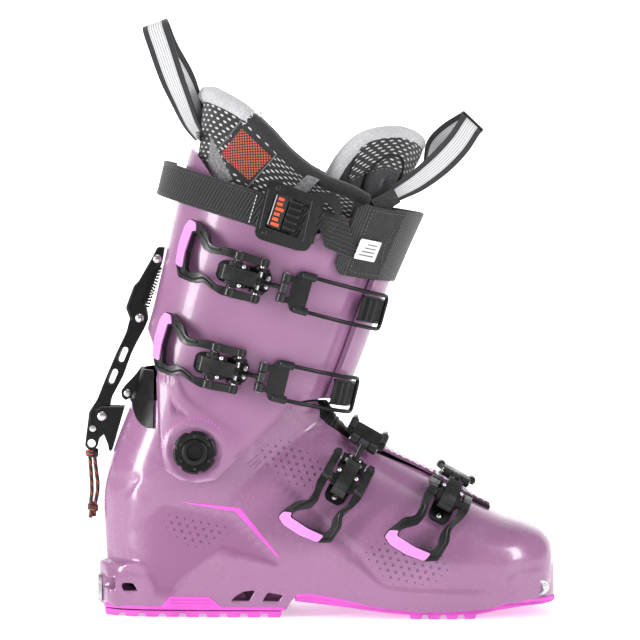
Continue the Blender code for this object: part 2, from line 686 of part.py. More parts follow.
def loop_path(base, tip, spread, across, count=7):
    """A loop of webbing from one foot, round the tip and back."""
    base, tip, across = Vector(base), Vector(tip), Vector(across).normalized()
    points = []
    for i in range(count + 1):
        f = i / count
        bow = math.sin(math.pi * min(1.0, 0.12 + 0.80 * f)) * spread
        points.append((f, bow))
    path = [base + (tip - base) * f - across * bow for f, bow in points]
    path += [base + (tip - base) * f + across * bow for f, bow in reversed(points)]
    return path


def build_loops(mats):
    tube("heel_loop", loop_path((7.0, -4, 331.5), (-23, -14, 364), 6.5, (0.25, 1, 0)), 8.0, mats["webbing"],
         sides=4, flat=0.13, across=(0.93, -0.1, 0.35))
    tube("tongue_loop", loop_path((140.5, -6, 274), (170, -10, 304), 6.5, (0.2, 1, 0.1)), 8.0, mats["webbing"],
         sides=4, flat=0.13, across=(0.70, -0.1, -0.70))


# ---------------------------------------------------------------- power strap
def strap_line(shift):
    return ((-60, STRAP_MIDDLE_Z + shift - STRAP_LEAN * 60), (160, STRAP_MIDDLE_Z + shift + STRAP_LEAN * 160))


STRAP_FRONT_UPPER = ((60, 252), (76, 248), (88, 246), (106, 253), (120, 250), (160, 244))
STRAP_FRONT_LOWER = ((60, 230), (84, 225), (89, 211), (104, 208), (124, 205), (160, 200))


def build_strap(mats, touch):
    turns = [-104 + 124 * i / 14 for i in range(15)]
    grids = [band_grid(CUFF_RIBS, turns, strap_line(-STRAP_HALF), strap_line(STRAP_HALF), 2,
                       lambda turn: -lift - STRAP_SLACK * smoothstep(STRAP_SLACK_TURN, 10, abs(turn)))
             for lift in (2.8, 0.8)]
    solid_between("strap_webbing", *grids, mats["webbing"])
    medial_low = ((-60, 250), (30, 232), (60, 218), (124, 205), (160, 200))
    medial_high = ((-60, 280), (30, 262), (60, 254), (120, 250), (160, 244))
    lower = lambda turn: STRAP_FRONT_LOWER if turn < -150 or turn > 180 else medial_low
    outer, inner = [], []
    for turn in [246 - 200 * i / 24 for i in range(25)]:
        low = STRAP_FRONT_LOWER if turn > 180 else medial_low
        high = STRAP_FRONT_UPPER if turn > 180 else medial_high
        for grid, inset in ((outer, -3.0), (inner, -0.9)):
            k0, k1 = height_on(CUFF_RIBS, turn, low, inset), height_on(CUFF_RIBS, turn, high, inset)
            grid.append([round_point(CUFF_RIBS, k0 + (k1 - k0) * i / 2, turn, inset) for i in range(3)])
    solid_between("strap_front", outer, inner, mats["webbing"])
    frame = [(46, 267.5), (50, 268), (72, 259.5), (80, 260.5), (86.5, 259.5), (90.5, 254), (90.5, 247.5),
             (86.5, 246), (85, 252), (81.5, 254.8), (78.5, 253), (73, 230), (69.5, 225.2), (64, 225.5),
             (40.5, 232.5), (38, 236)]
    window = [(44, 240), (64.5, 233), (71.5, 253), (51, 261)]
    place = lambda a, b, c: Vector((a, touch(a, b) - c, b))
    prism("strap_hook", frame, 4.2, 7.0, place, mats["black"], [window])
    k = height_on(CUFF_RIBS, -128, ((0, 226.5), (160, 226.5)))
    centre = round_point(CUFF_RIBS, k, -128)
    across = (round_point(CUFF_RIBS, k, -134) - round_point(CUFF_RIBS, k, -122)).normalized()
    up = (round_point(CUFF_RIBS, k + 0.2, -128) - round_point(CUFF_RIBS, k - 0.2, -128)).normalized()
    out = across.cross(up).normalized()
    out = -out if out.y > 0 else out
    plate = [(-7.5, -6.5), (7.5, -6.5), (7.5, 6.5), (-7.5, 6.5)]
    prism("strap_badge", plate, 4.4, 5.3, lambda a, b, c: centre + across * a + up * b + out * c, mats["steel"])


# ---------------------------------------------------------------- walk lock at the rear
RIVETS = {"top": (-22.9, 218.6), "pivot": (-34.0, 182.0), "catch": (-57.5, 121.2),
          "lever": (-63.4, 113.3), "ring": (-64.3, 104.0)}


def rivet(name, spot, half, radius, mats, shank=1.6):
    x, z = spot
    head = radius
    profile = ((head * 0.55, -half - 1.8), (head, -half - 0.9), (head, -half - 0.35), (shank, -half - 0.34),
               (shank, half + 0.34), (head, half + 0.35), (head, half + 0.9), (head * 0.55, half + 1.8))
    return lathe(name, profile, (x, 0, z), (0, 1, 0), mats["steel"], 10)


def build_lock(mats):
    cheek = [(-23.0, 225.8), (-18.6, 225.8), (-19.6, 219), (-21.0, 213.8), (-25.6, 211.5), (-29.8, 201),
             (-32.6, 192.5), (-29.9, 187.5), (-28.8, 182), (-30.5, 178), (-35, 176.6), (-39.5, 180),
             (-42.6, 188.5), (-37.6, 202), (-34.6, 205), (-26.5, 219)]
    inner_cut = [(-21.0, 230), (-12, 230), (-12, 170), (-50, 170), (-50, 186), (-44.0, 190.2), (-40.6, 190.6),
                 (-35.8, 201.6), (-32.8, 204.6), (-24.8, 218.4)]
    channel = prism("lock_plate", cheek, -5.8, 5.8, side_place, mats["black"])
    boolean(channel, prism("lock_room", inner_cut, -3.7, 3.7, side_place), "DIFFERENCE")
    for spot in ("top", "pivot"):
        x, z = RIVETS[spot]
        boolean(channel, rod("lock_bore", (x, -20, z), (x, 20, z), 1.95), "DIFFERENCE")
    lever_outline = [(-38.8, 184.5), (-36.5, 186.6), (-33, 187.2), (-29.8, 185.2), (-28.8, 181.5), (-31, 176),
                     (-36.5, 166), (-40, 158.5), (-44.5, 146), (-51.5, 133), (-53.4, 124), (-54.0, 117),
                     (-56.1, 110.2), (-59.7, 106.7), (-60.4, 102.6), (-62.4, 100.2), (-66.2, 100.2),
                     (-68.3, 102.7), (-67.0, 112.7), (-65.6, 123.8), (-60.8, 131), (-54.8, 146), (-48.8, 160),
                     (-42.5, 173), (-40.4, 181)]
    holes = [circle(*RIVETS["pivot"], 1.95), circle(*RIVETS["ring"], 2.6, 10),
             stadium(-43.1, 162.2, -45.6, 156.2, 1.7, 4), stadium(-49.4, 148.6, -51.8, 142.8, 1.7, 4)]
    lever = prism("lock_lever", lever_outline, -3.0, 3.0, side_place, mats["black"], holes)
    x, z = RIVETS["lever"]
    for side in (LATERAL, MEDIAL):
        boolean(lever, rod("lever_rivet", (x, side * 2.5, z), (x, side * 3.6, z), 2.2, None, 10), "UNION")
    wing = [(-57.8, 127.2), (-43.6, 127.6), (-51.6, 99.6), (-53.2, 99.6), (-53.8, 103.5), (-56.2, 109.5),
            (-61.7, 117.2), (-62.5, 121), (-61.1, 125.5)]
    web_room = [(-46.8, 140), (-55.5, 101), (-56, 90), (-80, 90), (-80, 140)]
    bracket = prism("lock_bracket", wing, -5.8, 5.8, side_place, mats["black"])
    boolean(bracket, prism("bracket_room", web_room, -3.7, 3.7, side_place), "DIFFERENCE")
    x, z = RIVETS["catch"]
    for side in (LATERAL, MEDIAL):
        boolean(bracket, rod("catch_head", (x, side * 5.0, z), (x, side * 6.9, z), 3.1, None, 10), "UNION")
    rivet("lock_rivet_top", RIVETS["top"], 5.8, 3.0, mats)
    rivet("lock_rivet_pivot", RIVETS["pivot"], 5.8, 3.0, mats)
    start, end = Vector((-23.8, 0, 213.6)), Vector((-31.8, 0, 189.6))
    turns, steps = 11, 7
    axis = (end - start).normalized()
    side = Vector((0, 1, 0))
    up = axis.cross(side)
    coil = []
    for i in range(turns * steps + 1):
        angle = 2 * math.pi * i / steps
        centre = start.lerp(end, i / (turns * steps))
        coil.append(centre + (side * math.cos(angle) + up * math.sin(angle)) * 2.4)
    tube("lock_spring", coil, 0.55, mats["steel"], sides=4)


CORD_A = ((-65.4, 0.2, 95.4), (-64.9, 0.2, 88), (-64.4, 0.1, 80), (-64.3, 0, 73), (-64.9, 0, 67.6))
CORD_B = ((-62.5, -0.2, 95.4), (-61.4, -0.2, 86), (-60.6, -0.2, 79), (-60.9, -0.1, 73), (-62.1, 0, 67.6))
CORD_RADIUS = 1.2


def smooth_path(points, count):
    rows = [tuple(p) for p in points]
    return [Vector(catmull(rows, (len(rows) - 1) * i / count)) for i in range(count + 1)]


def build_cord(mats):
    for name, points in (("pull_cord_a", CORD_A), ("pull_cord_b", CORD_B)):
        tube(name, smooth_path(points, 10), CORD_RADIUS, mats["cord"], sides=8)
    knot = ((1.5, 0), (3.6, 0.8), (4.2, 2.2), (4.2, 3.6), (3.2, 4.4), (2.0, 4.6))
    lathe("pull_knot_high", [(r * 0.95, d * 0.85) for r, d in knot], (-64.2, 0, 99.7), (0, 0, -1), mats["cord"], 10)
    low = ((2.9, 0), (3.6, 1.2), (3.7, 3.6), (3.2, 5.6), (2.0, 6.6), (2.4, 8.0), (2.2, 9.6), (1.4, 10.4))
    lathe("pull_knot_low", low, (-63.7, 0, 67.2), (0, 0, -1), mats["cord"], 10)


# ---------------------------------------------------------------- buckles
LEVER_OUTER = (
    (3.0, -14.2), (-3.5, -14.2), (-6.5, -12.0), (-9.9, -8.9), (-16.6, -8.8), (-21.4, -12.3), (-32.5, -11.6),
    (-36.4, -4.5), (-38.3, 7.7), (-37.4, 19.5), (-34.8, 24.6), (-30.6, 23.9), (-21.0, 19.3), (-17.6, 13.6),
    (-11.6, 13.0), (-6.2, 14.6), (3.0, 14.2), (17.5, 13.4), (17.5, 9.2), (-9.0, 9.2), (-15.5, 8.0), (-20.5, 9.3),
    (-26.8, 17.0), (-30.6, 17.4), (-31.6, 5.0), (-29.4, -5.6), (-24.8, -7.0), (-20.6, -4.4), (-15.0, -4.6),
    (-9.0, -9.2), (17.5, -9.2), (17.5, -13.4),
)
PAD_OUTLINE = ((-30.8, 23.2), (-34.5, 23.8), (-36.6, 19.2), (-37.4, 7.7), (-35.8, -3.5), (-31.2, -5.2), (-32.4, 5.0), (-31.4, 18.2), (-28.6, 18.0))
LEVER_THICK = 4.4
HINGE_AT = (14.0, 5.2)  # lever hinge, along and out from the bail pin's foot
PIN_HEIGHT = 9.6


class Wrap:
    """The line that a buckle follows over the boot: a surface cut by the buckle's mid-plane.

    s is the distance along it from the foot of the bail pin, v across and n outwards."""

    def __init__(self, tree, aim, angle, sink, back, ahead):
        lean = math.radians(angle)
        self.e2 = Vector((math.cos(lean), 0, math.sin(lean)))
        self.v = Vector((-math.sin(lean), 0, math.cos(lean)))
        foot = Vector((aim[0], -200, aim[1]))
        hit = tree.ray_cast(foot * MM, Vector((0, 1, 0)))[0] / MM
        centre = Vector((hit.x, 0, hit.z)) - self.e2 * sink
        first = math.degrees(math.atan2((hit - centre).dot(self.e2), -(hit - centre).y))
        lines = []
        for shift in (-9.0, 0.0, 9.0):
            line = []
            for i in range(61):
                beta = math.radians(first - back + (back + ahead) * i / 60)
                ray = Vector((0, -math.cos(beta), 0)) + self.e2 * math.sin(beta)
                start = centre + self.v * shift + ray * 160
                found = tree.ray_cast(start * MM, -ray)[0]
                line.append((found / MM - self.v * shift - centre).dot(ray) if found else 0)
            lines.append(line)
        reach = [max(column) for column in zip(*lines)]
        for _ in range(2):
            reach = [(reach[max(i - 1, 0)] + 2 * r + reach[min(i + 1, 60)]) / 4 for i, r in enumerate(reach)]
        self.points = []
        for i, r in enumerate(reach):
            beta = math.radians(first - back + (back + ahead) * i / 60)
            self.points.append(centre + (Vector((0, -math.cos(beta), 0)) + self.e2 * math.sin(beta)) * r)
        self.along = [0.0]
        for a, b in zip(self.points, self.points[1:]):
            self.along.append(self.along[-1] + (b - a).length)
        nearest = min(range(61), key=lambda i: (self.points[i] - hit).length)
        zero = self.along[nearest]
        self.along = [a - zero for a in self.along]

    def at(self, s):
        i = 0
        while i < 59 and self.along[i + 1] < s:
            i += 1
        f = (s - self.along[i]) / (self.along[i + 1] - self.along[i])
        return self.points[i].lerp(self.points[i + 1], f)

    def frame(self, s):
        tangent = (self.at(s + 3) - self.at(s - 3)).normalized()
        return self.at(s), tangent, self.v.cross(tangent).normalized() * -1

    def point(self, s, v, n):
        foot, _, out = self.frame(s)
        return foot + self.v * v + out * n


def flat_place(wrap, s0):
    """A straight frame standing at s0: a along, b across and c out."""
    foot, tangent, out = wrap.frame(s0)
    return lambda a, b, c: foot + tangent * a + wrap.v * b + out * c


def lever_mid(s):
    """Height of the lever's middle above the boot, from its grip to its hinge."""
    return ramp(((-40, 4.6), (-30, 5.2), (-18, 8.2), (-5, PIN_HEIGHT), (3, PIN_HEIGHT - 0.4), (14, HINGE_AT[1])), s)


def build_buckle(name, wrap, reach, mats):
    """One buckle: base, lever with its grip and pin, adjuster, bail and toothed rack."""
    frame = flat_place(wrap, 0)
    hinge_s, hinge_n = HINGE_AT
    curved = lambda a, b, c: wrap.point(a, b, lever_mid(a) + c)
    lever = prism(f"{name}_lever", LEVER_OUTER, -LEVER_THICK / 2, LEVER_THICK / 2, curved, mats["black"])
    pin_foot = wrap.point(0, 0, PIN_HEIGHT)
    hinge = wrap.point(hinge_s, 0, hinge_n)
    v = wrap.v
    for side in (LATERAL, MEDIAL):
        for centre, radius in ((pin_foot, 3.5), (hinge, 3.1)):
            boolean(lever, rod("barrel", centre + v * side * 8.8, centre + v * side * 13.9, radius, None, 10), "UNION")
    boolean(lever, rod("pin_bore", pin_foot - v * 30, pin_foot + v * 30, 1.85, None, 8), "DIFFERENCE")
    boolean(lever, rod("hinge_bore", hinge - v * 30, hinge + v * 30, 1.75, None, 8), "DIFFERENCE")
    grip = lambda a, b, c: wrap.point(a, b, lever_mid(a) + LEVER_THICK / 2 + c)
    prism(f"{name}_grip", PAD_OUTLINE, 0.35, 1.15, grip, mats["pad"])
    rod(f"{name}_pin", pin_foot - v * 13.2, pin_foot + v * 13.2, 1.5, mats["bronze"], 8)
    steps = (-9, -2, 5, 12, 19)
    foot = [(-12, -4), (-12, 4)] + [(x, 6.6) for x in steps] + [(x, -6.6) for x in reversed(steps)]
    low = lambda a, b, c: wrap.point(a, b, c)
    base = prism(f"{name}_base", foot, 1.0, 2.9, low, mats["black"])
    for side in (LATERAL, MEDIAL):
        ear = [(hinge_s - 4.5, 1.4), (hinge_s + 4.5, 1.4), (hinge_s + 2.6, hinge_n + 2.2), (hinge_s - 2.6, hinge_n + 2.2)]
        boolean(base, prism("ear", ear, side * 5.6, side * 7.9, lambda a, b, c: wrap.point(a, c, b)), "UNION")
    boolean(base, rod("hinge_pin", hinge - v * 13.4, hinge + v * 13.4, 1.4, None, 8), "UNION")
    _, tangent, out = wrap.frame(0)
    block = [(-9, -1.2), (-7.6, -2.7), (-2, -2.9), (15, -0.6), (15, 3.4), (0, 4.2), (-6.6, 3.4), (-9, 1.2)]
    at_pin = lambda a, b, c: pin_foot + tangent * a + out * b + v * c
    adjuster = prism(f"{name}_adjuster", block, -4.4, 4.4, at_pin, mats["black"])
    boolean(adjuster, rod("adjuster_bore", pin_foot - v * 9, pin_foot + v * 9, 1.85, None, 10), "DIFFERENCE")
    swivel = wrap.point(29, 0, 6.4)
    boolean(adjuster, rod("thread", at_pin(12, 1.4, 0), swivel, 1.5, None, 8), "UNION")
    boolean(adjuster, rod("swivel_head", swivel - v * 3.2, swivel + v * 3.2, 2.7, None, 10), "UNION")
    build_bail(name, wrap, swivel, reach, mats)
    return {"hinge": hinge, "pin": pin_foot, "swivel": swivel, "axis": v}


def build_bail(name, wrap, swivel, reach, mats):
    """The swivelling plate with its wire loop, and the rack that the wire drops behind."""
    v = wrap.v
    plate = [(33.5, -8), (36, -12.6), (44, -12.6), (44, 12.6), (36, 12.6), (33.5, 8)]
    curved = lambda a, b, c: wrap.point(a, b, c)
    bail = prism(f"{name}_bail", plate, 3.6, 7.0, curved, mats["black"])
    for side in (LATERAL, MEDIAL):
        boolean(bail, rod("swivel_barrel", swivel + v * side * 3.6, swivel + v * side * 9.0, 2.9, None, 10), "UNION")
        arm = [(29, side * 4.4), (29, side * 8.4), (36, side * 8.4), (36, side * 4.4)]
        boolean(bail, prism("swivel_arm", arm, 4.6, 7.2, curved), "UNION")
    steps = 8
    path = [wrap.point(41 + (reach - 41) * i / steps, -10.6, 5.6) for i in range(steps + 1)]
    path += [wrap.point(reach + 2.2, v_at, 5.6) for v_at in (-8.2, 8.2)]
    path += [wrap.point(reach - (reach - 41) * i / steps, 10.6, 5.6) for i in range(steps + 1)]
    boolean(bail, tube("wire", path, 1.25, None, sides=6), "UNION")
    start = max(reach - 17, 46)
    teeth = [(start + (reach + 9 - start) * i / 8, 1.0) for i in range(9)] + [(reach + 9, 1.9)]
    for i in range(int((reach + 6.5 - start) / 6) + 1):
        s = reach + 6.5 - 6.0 * i
        teeth += [(s + 0.4, 3.8), (s - 1.0, 3.8), (s - 3.0, 2.0)]
    teeth.append((start, 1.9))
    prism(f"{name}_rack", teeth, -6.8, 6.8, lambda a, b, c: wrap.point(a, c, b), mats["black"])


BUCKLES = (
    # name, surface, side-view point under the bail pin, lean, how far inside the rays start, bail reach
    ("cuff_upper", "cuff", (26.5, 211.3), -15.7, 0, 98),
    ("cuff_lower", "cuff", (12.6, 155.8), -13.4, 0, 94),
    ("instep", "shell", (90.3, 81.7), 60.4, 28, 71),
    ("toe", "shell", (151.6, 66.8), 61.6, 30, 65),
)


def surface_tree(kind):
    """A fine skin of a surface without its openings, for feeling where buckles lie."""
    if kind == "cuff":
        turns = list(range(-180, 181, 4))
        grid = [[round_point(CUFF_RIBS, k * 0.25, turn) for k in range(-2, 40)] for turn in turns]
    else:
        grid = []
        for t in [i * 0.2 for i in range(101)]:
            row = []
            for turn in range(-180, 181, 4):
                side = LATERAL if turn < 0 else MEDIAL
                p = rib_point(SHELL_RIBS, t, side, abs(turn) - 90)
                over = 3.8 * smoothstep(-18, -11, p.y) * smoothstep(42, 35, p.y) * smoothstep(108, 118, abs(turn)) * smoothstep(3.6, 4.1, t)
                row.append(rib_point(SHELL_RIBS, t, side, abs(turn) - 90, -over))
            grid.append(row)
    width = len(grid[0])
    verts = [p * MM for row in grid for p in row]
    polys = [(i * width + j, i * width + j + 1, (i + 1) * width + j + 1, (i + 1) * width + j)
             for i in range(len(grid) - 1) for j in range(width - 1)]
    return BVHTree.FromPolygons(verts, polys)


def main():
    clear_scene()
    mats = make_materials()
    trees = {kind: surface_tree(kind) for kind in ("cuff", "shell")}
    touch = lambda x, z: trees["cuff"].ray_cast(Vector((x, -200, z)) * MM, Vector((0, 1, 0)))[0].y / MM
    build_lower_shell(mats)
    build_soles(mats)
    build_inside(mats)
    build_inserts(mats)
    build_pivots(mats)
    build_liner_foot(mats)
    build_gasket(mats)
    build_flap(mats)
    build_gusset(mats)
    build_cuff(mats)
    build_liner_shaft(mats)
    build_tongue(mats)
    build_loops(mats)
    build_strap(mats, touch)
    build_lock(mats)
    build_cord(mats)
    for name, kind, aim, angle, sink, reach in BUCKLES:
        wrap = Wrap(trees[kind], aim, angle, sink, 62, 118)
        spots = build_buckle(name, wrap, reach, mats)
        print(name, {k: [round(c, 2) for c in p] for k, p in spots.items()})


main()
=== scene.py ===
# %% [markdown]
# # The alpine touring boot, dressed
# The imported model gives the boot's true size and joints. This script puts the looks on it:
# moulded plastic, buckles, webbing, padding and cord. Every piece is made where the model
# says, in metres, and then rides on the body that carries it.
#
# The model is imported first, and its parts are set in world space.

# %% Import the model
import math

import bmesh
import bpy
import numpy as np
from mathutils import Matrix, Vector
from mathutils.bvhtree import BVHTree


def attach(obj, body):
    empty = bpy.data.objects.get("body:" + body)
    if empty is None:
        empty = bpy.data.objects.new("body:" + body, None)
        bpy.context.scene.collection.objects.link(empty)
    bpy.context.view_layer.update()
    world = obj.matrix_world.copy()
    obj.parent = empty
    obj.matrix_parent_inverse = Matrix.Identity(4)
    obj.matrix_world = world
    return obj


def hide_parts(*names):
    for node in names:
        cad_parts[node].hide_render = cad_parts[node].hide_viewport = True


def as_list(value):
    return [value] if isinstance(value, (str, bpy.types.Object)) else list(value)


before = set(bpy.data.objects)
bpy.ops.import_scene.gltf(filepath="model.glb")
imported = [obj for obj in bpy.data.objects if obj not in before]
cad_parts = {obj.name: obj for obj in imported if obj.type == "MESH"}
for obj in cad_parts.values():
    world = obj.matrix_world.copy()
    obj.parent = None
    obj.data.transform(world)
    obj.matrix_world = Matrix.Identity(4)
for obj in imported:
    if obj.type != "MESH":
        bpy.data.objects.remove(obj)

MM = 0.001
LATERAL, MEDIAL = -1, 1
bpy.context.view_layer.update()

# %% [markdown]
# ## Camera, floor and lights
# A product picture of a boot is taken from far away with a long lens, square to its outer
# side and a little above its sole. A long lens keeps the near buckle and the far wall at
# nearly the same size. A pale floor that curves up into a wall has no horizon line, so the
# boot seems to stand in plain light. Soft panels above, behind the heel and before the toe
# give the plastic broad, gentle highlights, and a weak one in front opens the shadows.

# %% Camera
def look_at(obj, eye, target):
    obj.location = eye
    obj.rotation_euler = (Vector(target) - Vector(eye)).to_track_quat("-Z", "Y").to_euler()

camera = bpy.data.objects.new("camera", bpy.data.cameras.new("camera"))
camera.data.lens = 199.6
camera.data.clip_end = 50
look_at(camera, (0.0775, -2.197, 0.2956), (0.0775, 0.0, 0.1805))
bpy.context.scene.collection.objects.link(camera)
bpy.context.scene.camera = camera
bpy.context.scene.view_settings.view_transform = "Standard"
print("camera is", round(camera.location.length, 2), "m from the heel")

# %% Floor, sky and lights
def soft_light(name, eye, target, wide, high, power, tint=(1, 1, 1)):
    lamp = bpy.data.lights.new(name, "AREA")
    lamp.shape, lamp.size, lamp.size_y = "RECTANGLE", wide, high
    lamp.energy, lamp.color = power, tint
    obj = bpy.data.objects.new(name, lamp)
    look_at(obj, eye, target)
    bpy.context.scene.collection.objects.link(obj)

def make_cove():
    """A floor that bends up into a wall behind, swept sideways."""
    bm = bmesh.new()
    profile = [(-1.5, 0.0), (3.0, 0.0)]
    profile += [(3.0 + 2.0 * math.sin(a), 2.0 - 2.0 * math.cos(a)) for a in np.linspace(0.1, 1.57,
        16)]
    profile.append((5.0, 9.0))
    rows = [[bm.verts.new((x, y, z)) for y, z in profile] for x in (-5.0, 5.0)]
    for i in range(len(profile) - 1):
        bm.faces.new((rows[0][i], rows[1][i], rows[1][i + 1], rows[0][i + 1]))
    mesh = bpy.data.meshes.new("floor")
    bm.to_mesh(mesh)
    bm.free()
    mesh.shade_smooth()
    floor = bpy.data.objects.new("floor", mesh)
    bpy.context.scene.collection.objects.link(floor)
    return floor

floor = make_cove()
world = bpy.data.worlds.new("studio")
bpy.context.scene.world = world
world.use_nodes = True
world.node_tree.nodes["Background"].inputs["Color"].default_value = (1, 1, 1, 1)
world.node_tree.nodes["Background"].inputs["Strength"].default_value = 0.30
soft_light("top_panel", (0.0, -0.1, 1.9), (0.08, 0, 0.15), 1.6, 1.0, 10)
soft_light("front_panel", (-0.9, -1.9, 1.1), (0.05, 0, 0.15), 0.9, 1.0, 1.0)
soft_light("rear_panel", (-1.7, -0.95, 0.45), (0.0, 0, 0.14), 0.5, 1.3, 40)
soft_light("toe_panel", (1.5, -0.9, 0.75), (0.15, 0, 0.08), 0.35, 1.1, 19)
soft_light("wall_wash", (0.0, 2.0, 2.6), (0, 4.8, 1.0), 3.0, 1.0, 150)

# %% [markdown]
# ## Making materials from nodes
# A material here is a Principled shader with small pictures made by maths. A helper class
# keeps each recipe short: `node` adds a node and links what it is given, and `math` writes
# a sum or product. Places come from the object's own coordinates in millimetres, which stay
# with a piece when its body moves, or from a flow map: a UV layer whose units are
# millimetres along and across a strap, so a weave follows every bend.

# %% Material helper
class Recipe:
    """A material under construction."""

    def __init__(self, name, colour, roughness, metallic=0.0, **shader_values):
        self.material = bpy.data.materials.new(name)
        self.material.use_nodes = True
        self.tree = self.material.node_tree
        self.shader = self.tree.nodes["Principled BSDF"]
        self.set("Base Color", (*colour, 1.0))
        self.set("Roughness", roughness)
        self.set("Metallic", metallic)
        for key, value in shader_values.items():
            self.set(key.replace("_", " "), value)

    def set(self, socket, value):
        self.shader.inputs[socket].default_value = value

    def node(self, kind, *links, **values):
        """A node with its input sockets linked in order. None leaves a socket as it is."""
        made = self.tree.nodes.new("ShaderNode" + kind)
        for key, value in values.items():
            if isinstance(getattr(made, key, None), str) or hasattr(made, key):
                setattr(made, key, value)
            else:
                made.inputs[key.replace("_", " ")].default_value = value
        for i, link in enumerate(links):
            if link is None:
                continue
            if isinstance(link, (int, float)):
                made.inputs[i].default_value = link
            else:
                self.tree.links.new(link, made.inputs[i])
        return made.outputs

    def math(self, operation, *terms, clamp=False):
        return self.node("Math", *terms, operation=operation, use_clamp=clamp)[0]

    def place(self, scale=1000.0):
        """The object's own coordinates, in millimetres unless scaled."""
        found = self.node("TexCoord")["Object"]
        made = self.node("Mapping", found)
        made[0].node.inputs["Scale"].default_value = (scale,) * 3
        return made[0]

    def flow(self):
        """Millimetres along and across, from the flow map."""
        made = self.node("UVMap", uv_map="flow")[0]
        return self.node("SeparateXYZ", made)

    def noise(self, vector, scale, detail=2.0, rough=0.5):
        made = self.tree.nodes.new("ShaderNodeTexNoise")
        self.tree.links.new(vector, made.inputs["Vector"])
        made.inputs["Scale"].default_value = scale
        made.inputs["Detail"].default_value = detail
        made.inputs["Roughness"].default_value = rough
        return made.outputs["Fac"]

    def ramp(self, value, low, high, to_low=0.0, to_high=1.0, smooth=True):
        made = self.tree.nodes.new("ShaderNodeMapRange")
        made.interpolation_type = "SMOOTHSTEP" if smooth else "LINEAR"
        self.tree.links.new(value, made.inputs["Value"])
        for key, number in (("From Min", low), ("From Max", high), ("To Min", to_low),
                            ("To Max", to_high)):
            made.inputs[key].default_value = number
        return made.outputs["Result"]

    def mix(self, share, a, b):
        """Two colours, or colour outputs, mixed by a share."""
        made = self.tree.nodes.new("ShaderNodeMix")
        made.data_type = "RGBA"
        self.tree.links.new(share, made.inputs["Factor"])
        for key, value in (("A", a), ("B", b)):
            socket = [s for s in made.inputs if s.name == key and s.type == "RGBA"][0]
            if isinstance(value, tuple):
                socket.default_value = (*value, 1.0)
            else:
                self.tree.links.new(value, socket)
        return [s for s in made.outputs if s.type == "RGBA"][0]

    def colour(self, output):
        self.tree.links.new(output, self.shader.inputs["Base Color"])

    def roughness(self, output):
        self.tree.links.new(output, self.shader.inputs["Roughness"])

    def bump(self, height, strength, distance):
        """distance is the real height of the relief, in metres, where height is 1."""
        made = self.tree.nodes.new("ShaderNodeBump")
        made.inputs["Strength"].default_value = strength
        made.inputs["Distance"].default_value = distance
        self.tree.links.new(height, made.inputs["Height"])
        before = self.shader.inputs["Normal"].links
        if before:
            self.tree.links.new(before[0].from_socket, made.inputs["Normal"])
        self.tree.links.new(made.outputs["Normal"], self.shader.inputs["Normal"])

    def wear(self, low=0.46, high=0.54):
        """A mask that is 1 on convex edges, where hands and snow rub."""
        point = self.node("NewGeometry")["Pointiness"]
        return self.ramp(point, low, high)

    def attribute(self, name):
        return self.node("Attribute", attribute_name=name, attribute_type="GEOMETRY")["Fac"]

# %% [markdown]
# Colours are written as screen values, which are easy to compare, and turned once into the
# linear numbers that a shader takes.

# %% The boot's colours
def linear(r, g, b):
    """A screen colour (0 to 255) as the linear numbers that a shader takes."""
    return tuple((c / 255 / 12.92) if c <= 10 else ((c / 255 + 0.055) / 1.055) ** 2.4 for c in (r,
        g, b))

LILAC, DEEP_LILAC = linear(154, 107, 145), linear(139, 88, 130)
MAGENTA, PALE_PINK = linear(208, 84, 188), linear(236, 146, 226)
INK, GREY = linear(12, 12, 13), linear(34, 34, 36)

# %% [markdown]
# ## The boot's plastics
# The shell is a stiff polyurethane with a slight pearl: a clear gloss over soft colour. Its
# gloss isn't quite even, so a fine noise varies the roughness, and another makes the faint
# orange-peel of a moulding. Dents in a field of dimples are too small and too many for the
# mesh, so they are relief in the shader: a slanted lattice of round cells, faded by a mask
# that the mesh carries. Each hollow is also painted darker, as painted shade.

# %% Shell, accent and pad plastics
def dimple_height(recipe, pitch=5.0, row=3.9, lean=-12.0):
    """A hollow at each point of a slanted lattice in side view, 1 at its middle."""
    found = recipe.node("Mapping", recipe.node("TexCoord")["Object"])
    found[0].node.inputs["Rotation"].default_value = (0, math.radians(lean), 0)
    found[0].node.inputs["Scale"].default_value = (1000, 1000, 1000)
    split = recipe.node("SeparateXYZ", found[0])
    u = recipe.math("DIVIDE", split["X"], pitch)
    w = recipe.math("DIVIDE", split["Z"], row)
    cells = []
    for shift in (0.0, 0.5):
        du = recipe.math("WRAP", recipe.math("ADD", u, shift), 0.5, -0.5)
        dw = recipe.math("WRAP", recipe.math("ADD", recipe.math("MULTIPLY", w, 0.5), shift), 0.5,
                         -0.5)
        du = recipe.math("MULTIPLY", du, pitch)
        dw = recipe.math("MULTIPLY", dw, 2 * row)
        cells.append(recipe.math("SQRT", recipe.math("ADD", recipe.math("POWER",
            recipe.math("ABSOLUTE", du), 2.0),
                                                     recipe.math("POWER",
                                                         recipe.math("ABSOLUTE", dw), 2.0))))
    return recipe.math("MINIMUM", *cells)

# %% [markdown]
# The shell's recipe reads three masks from the mesh: where a panel is sunk, where an
# accent runs and where the dimples are.

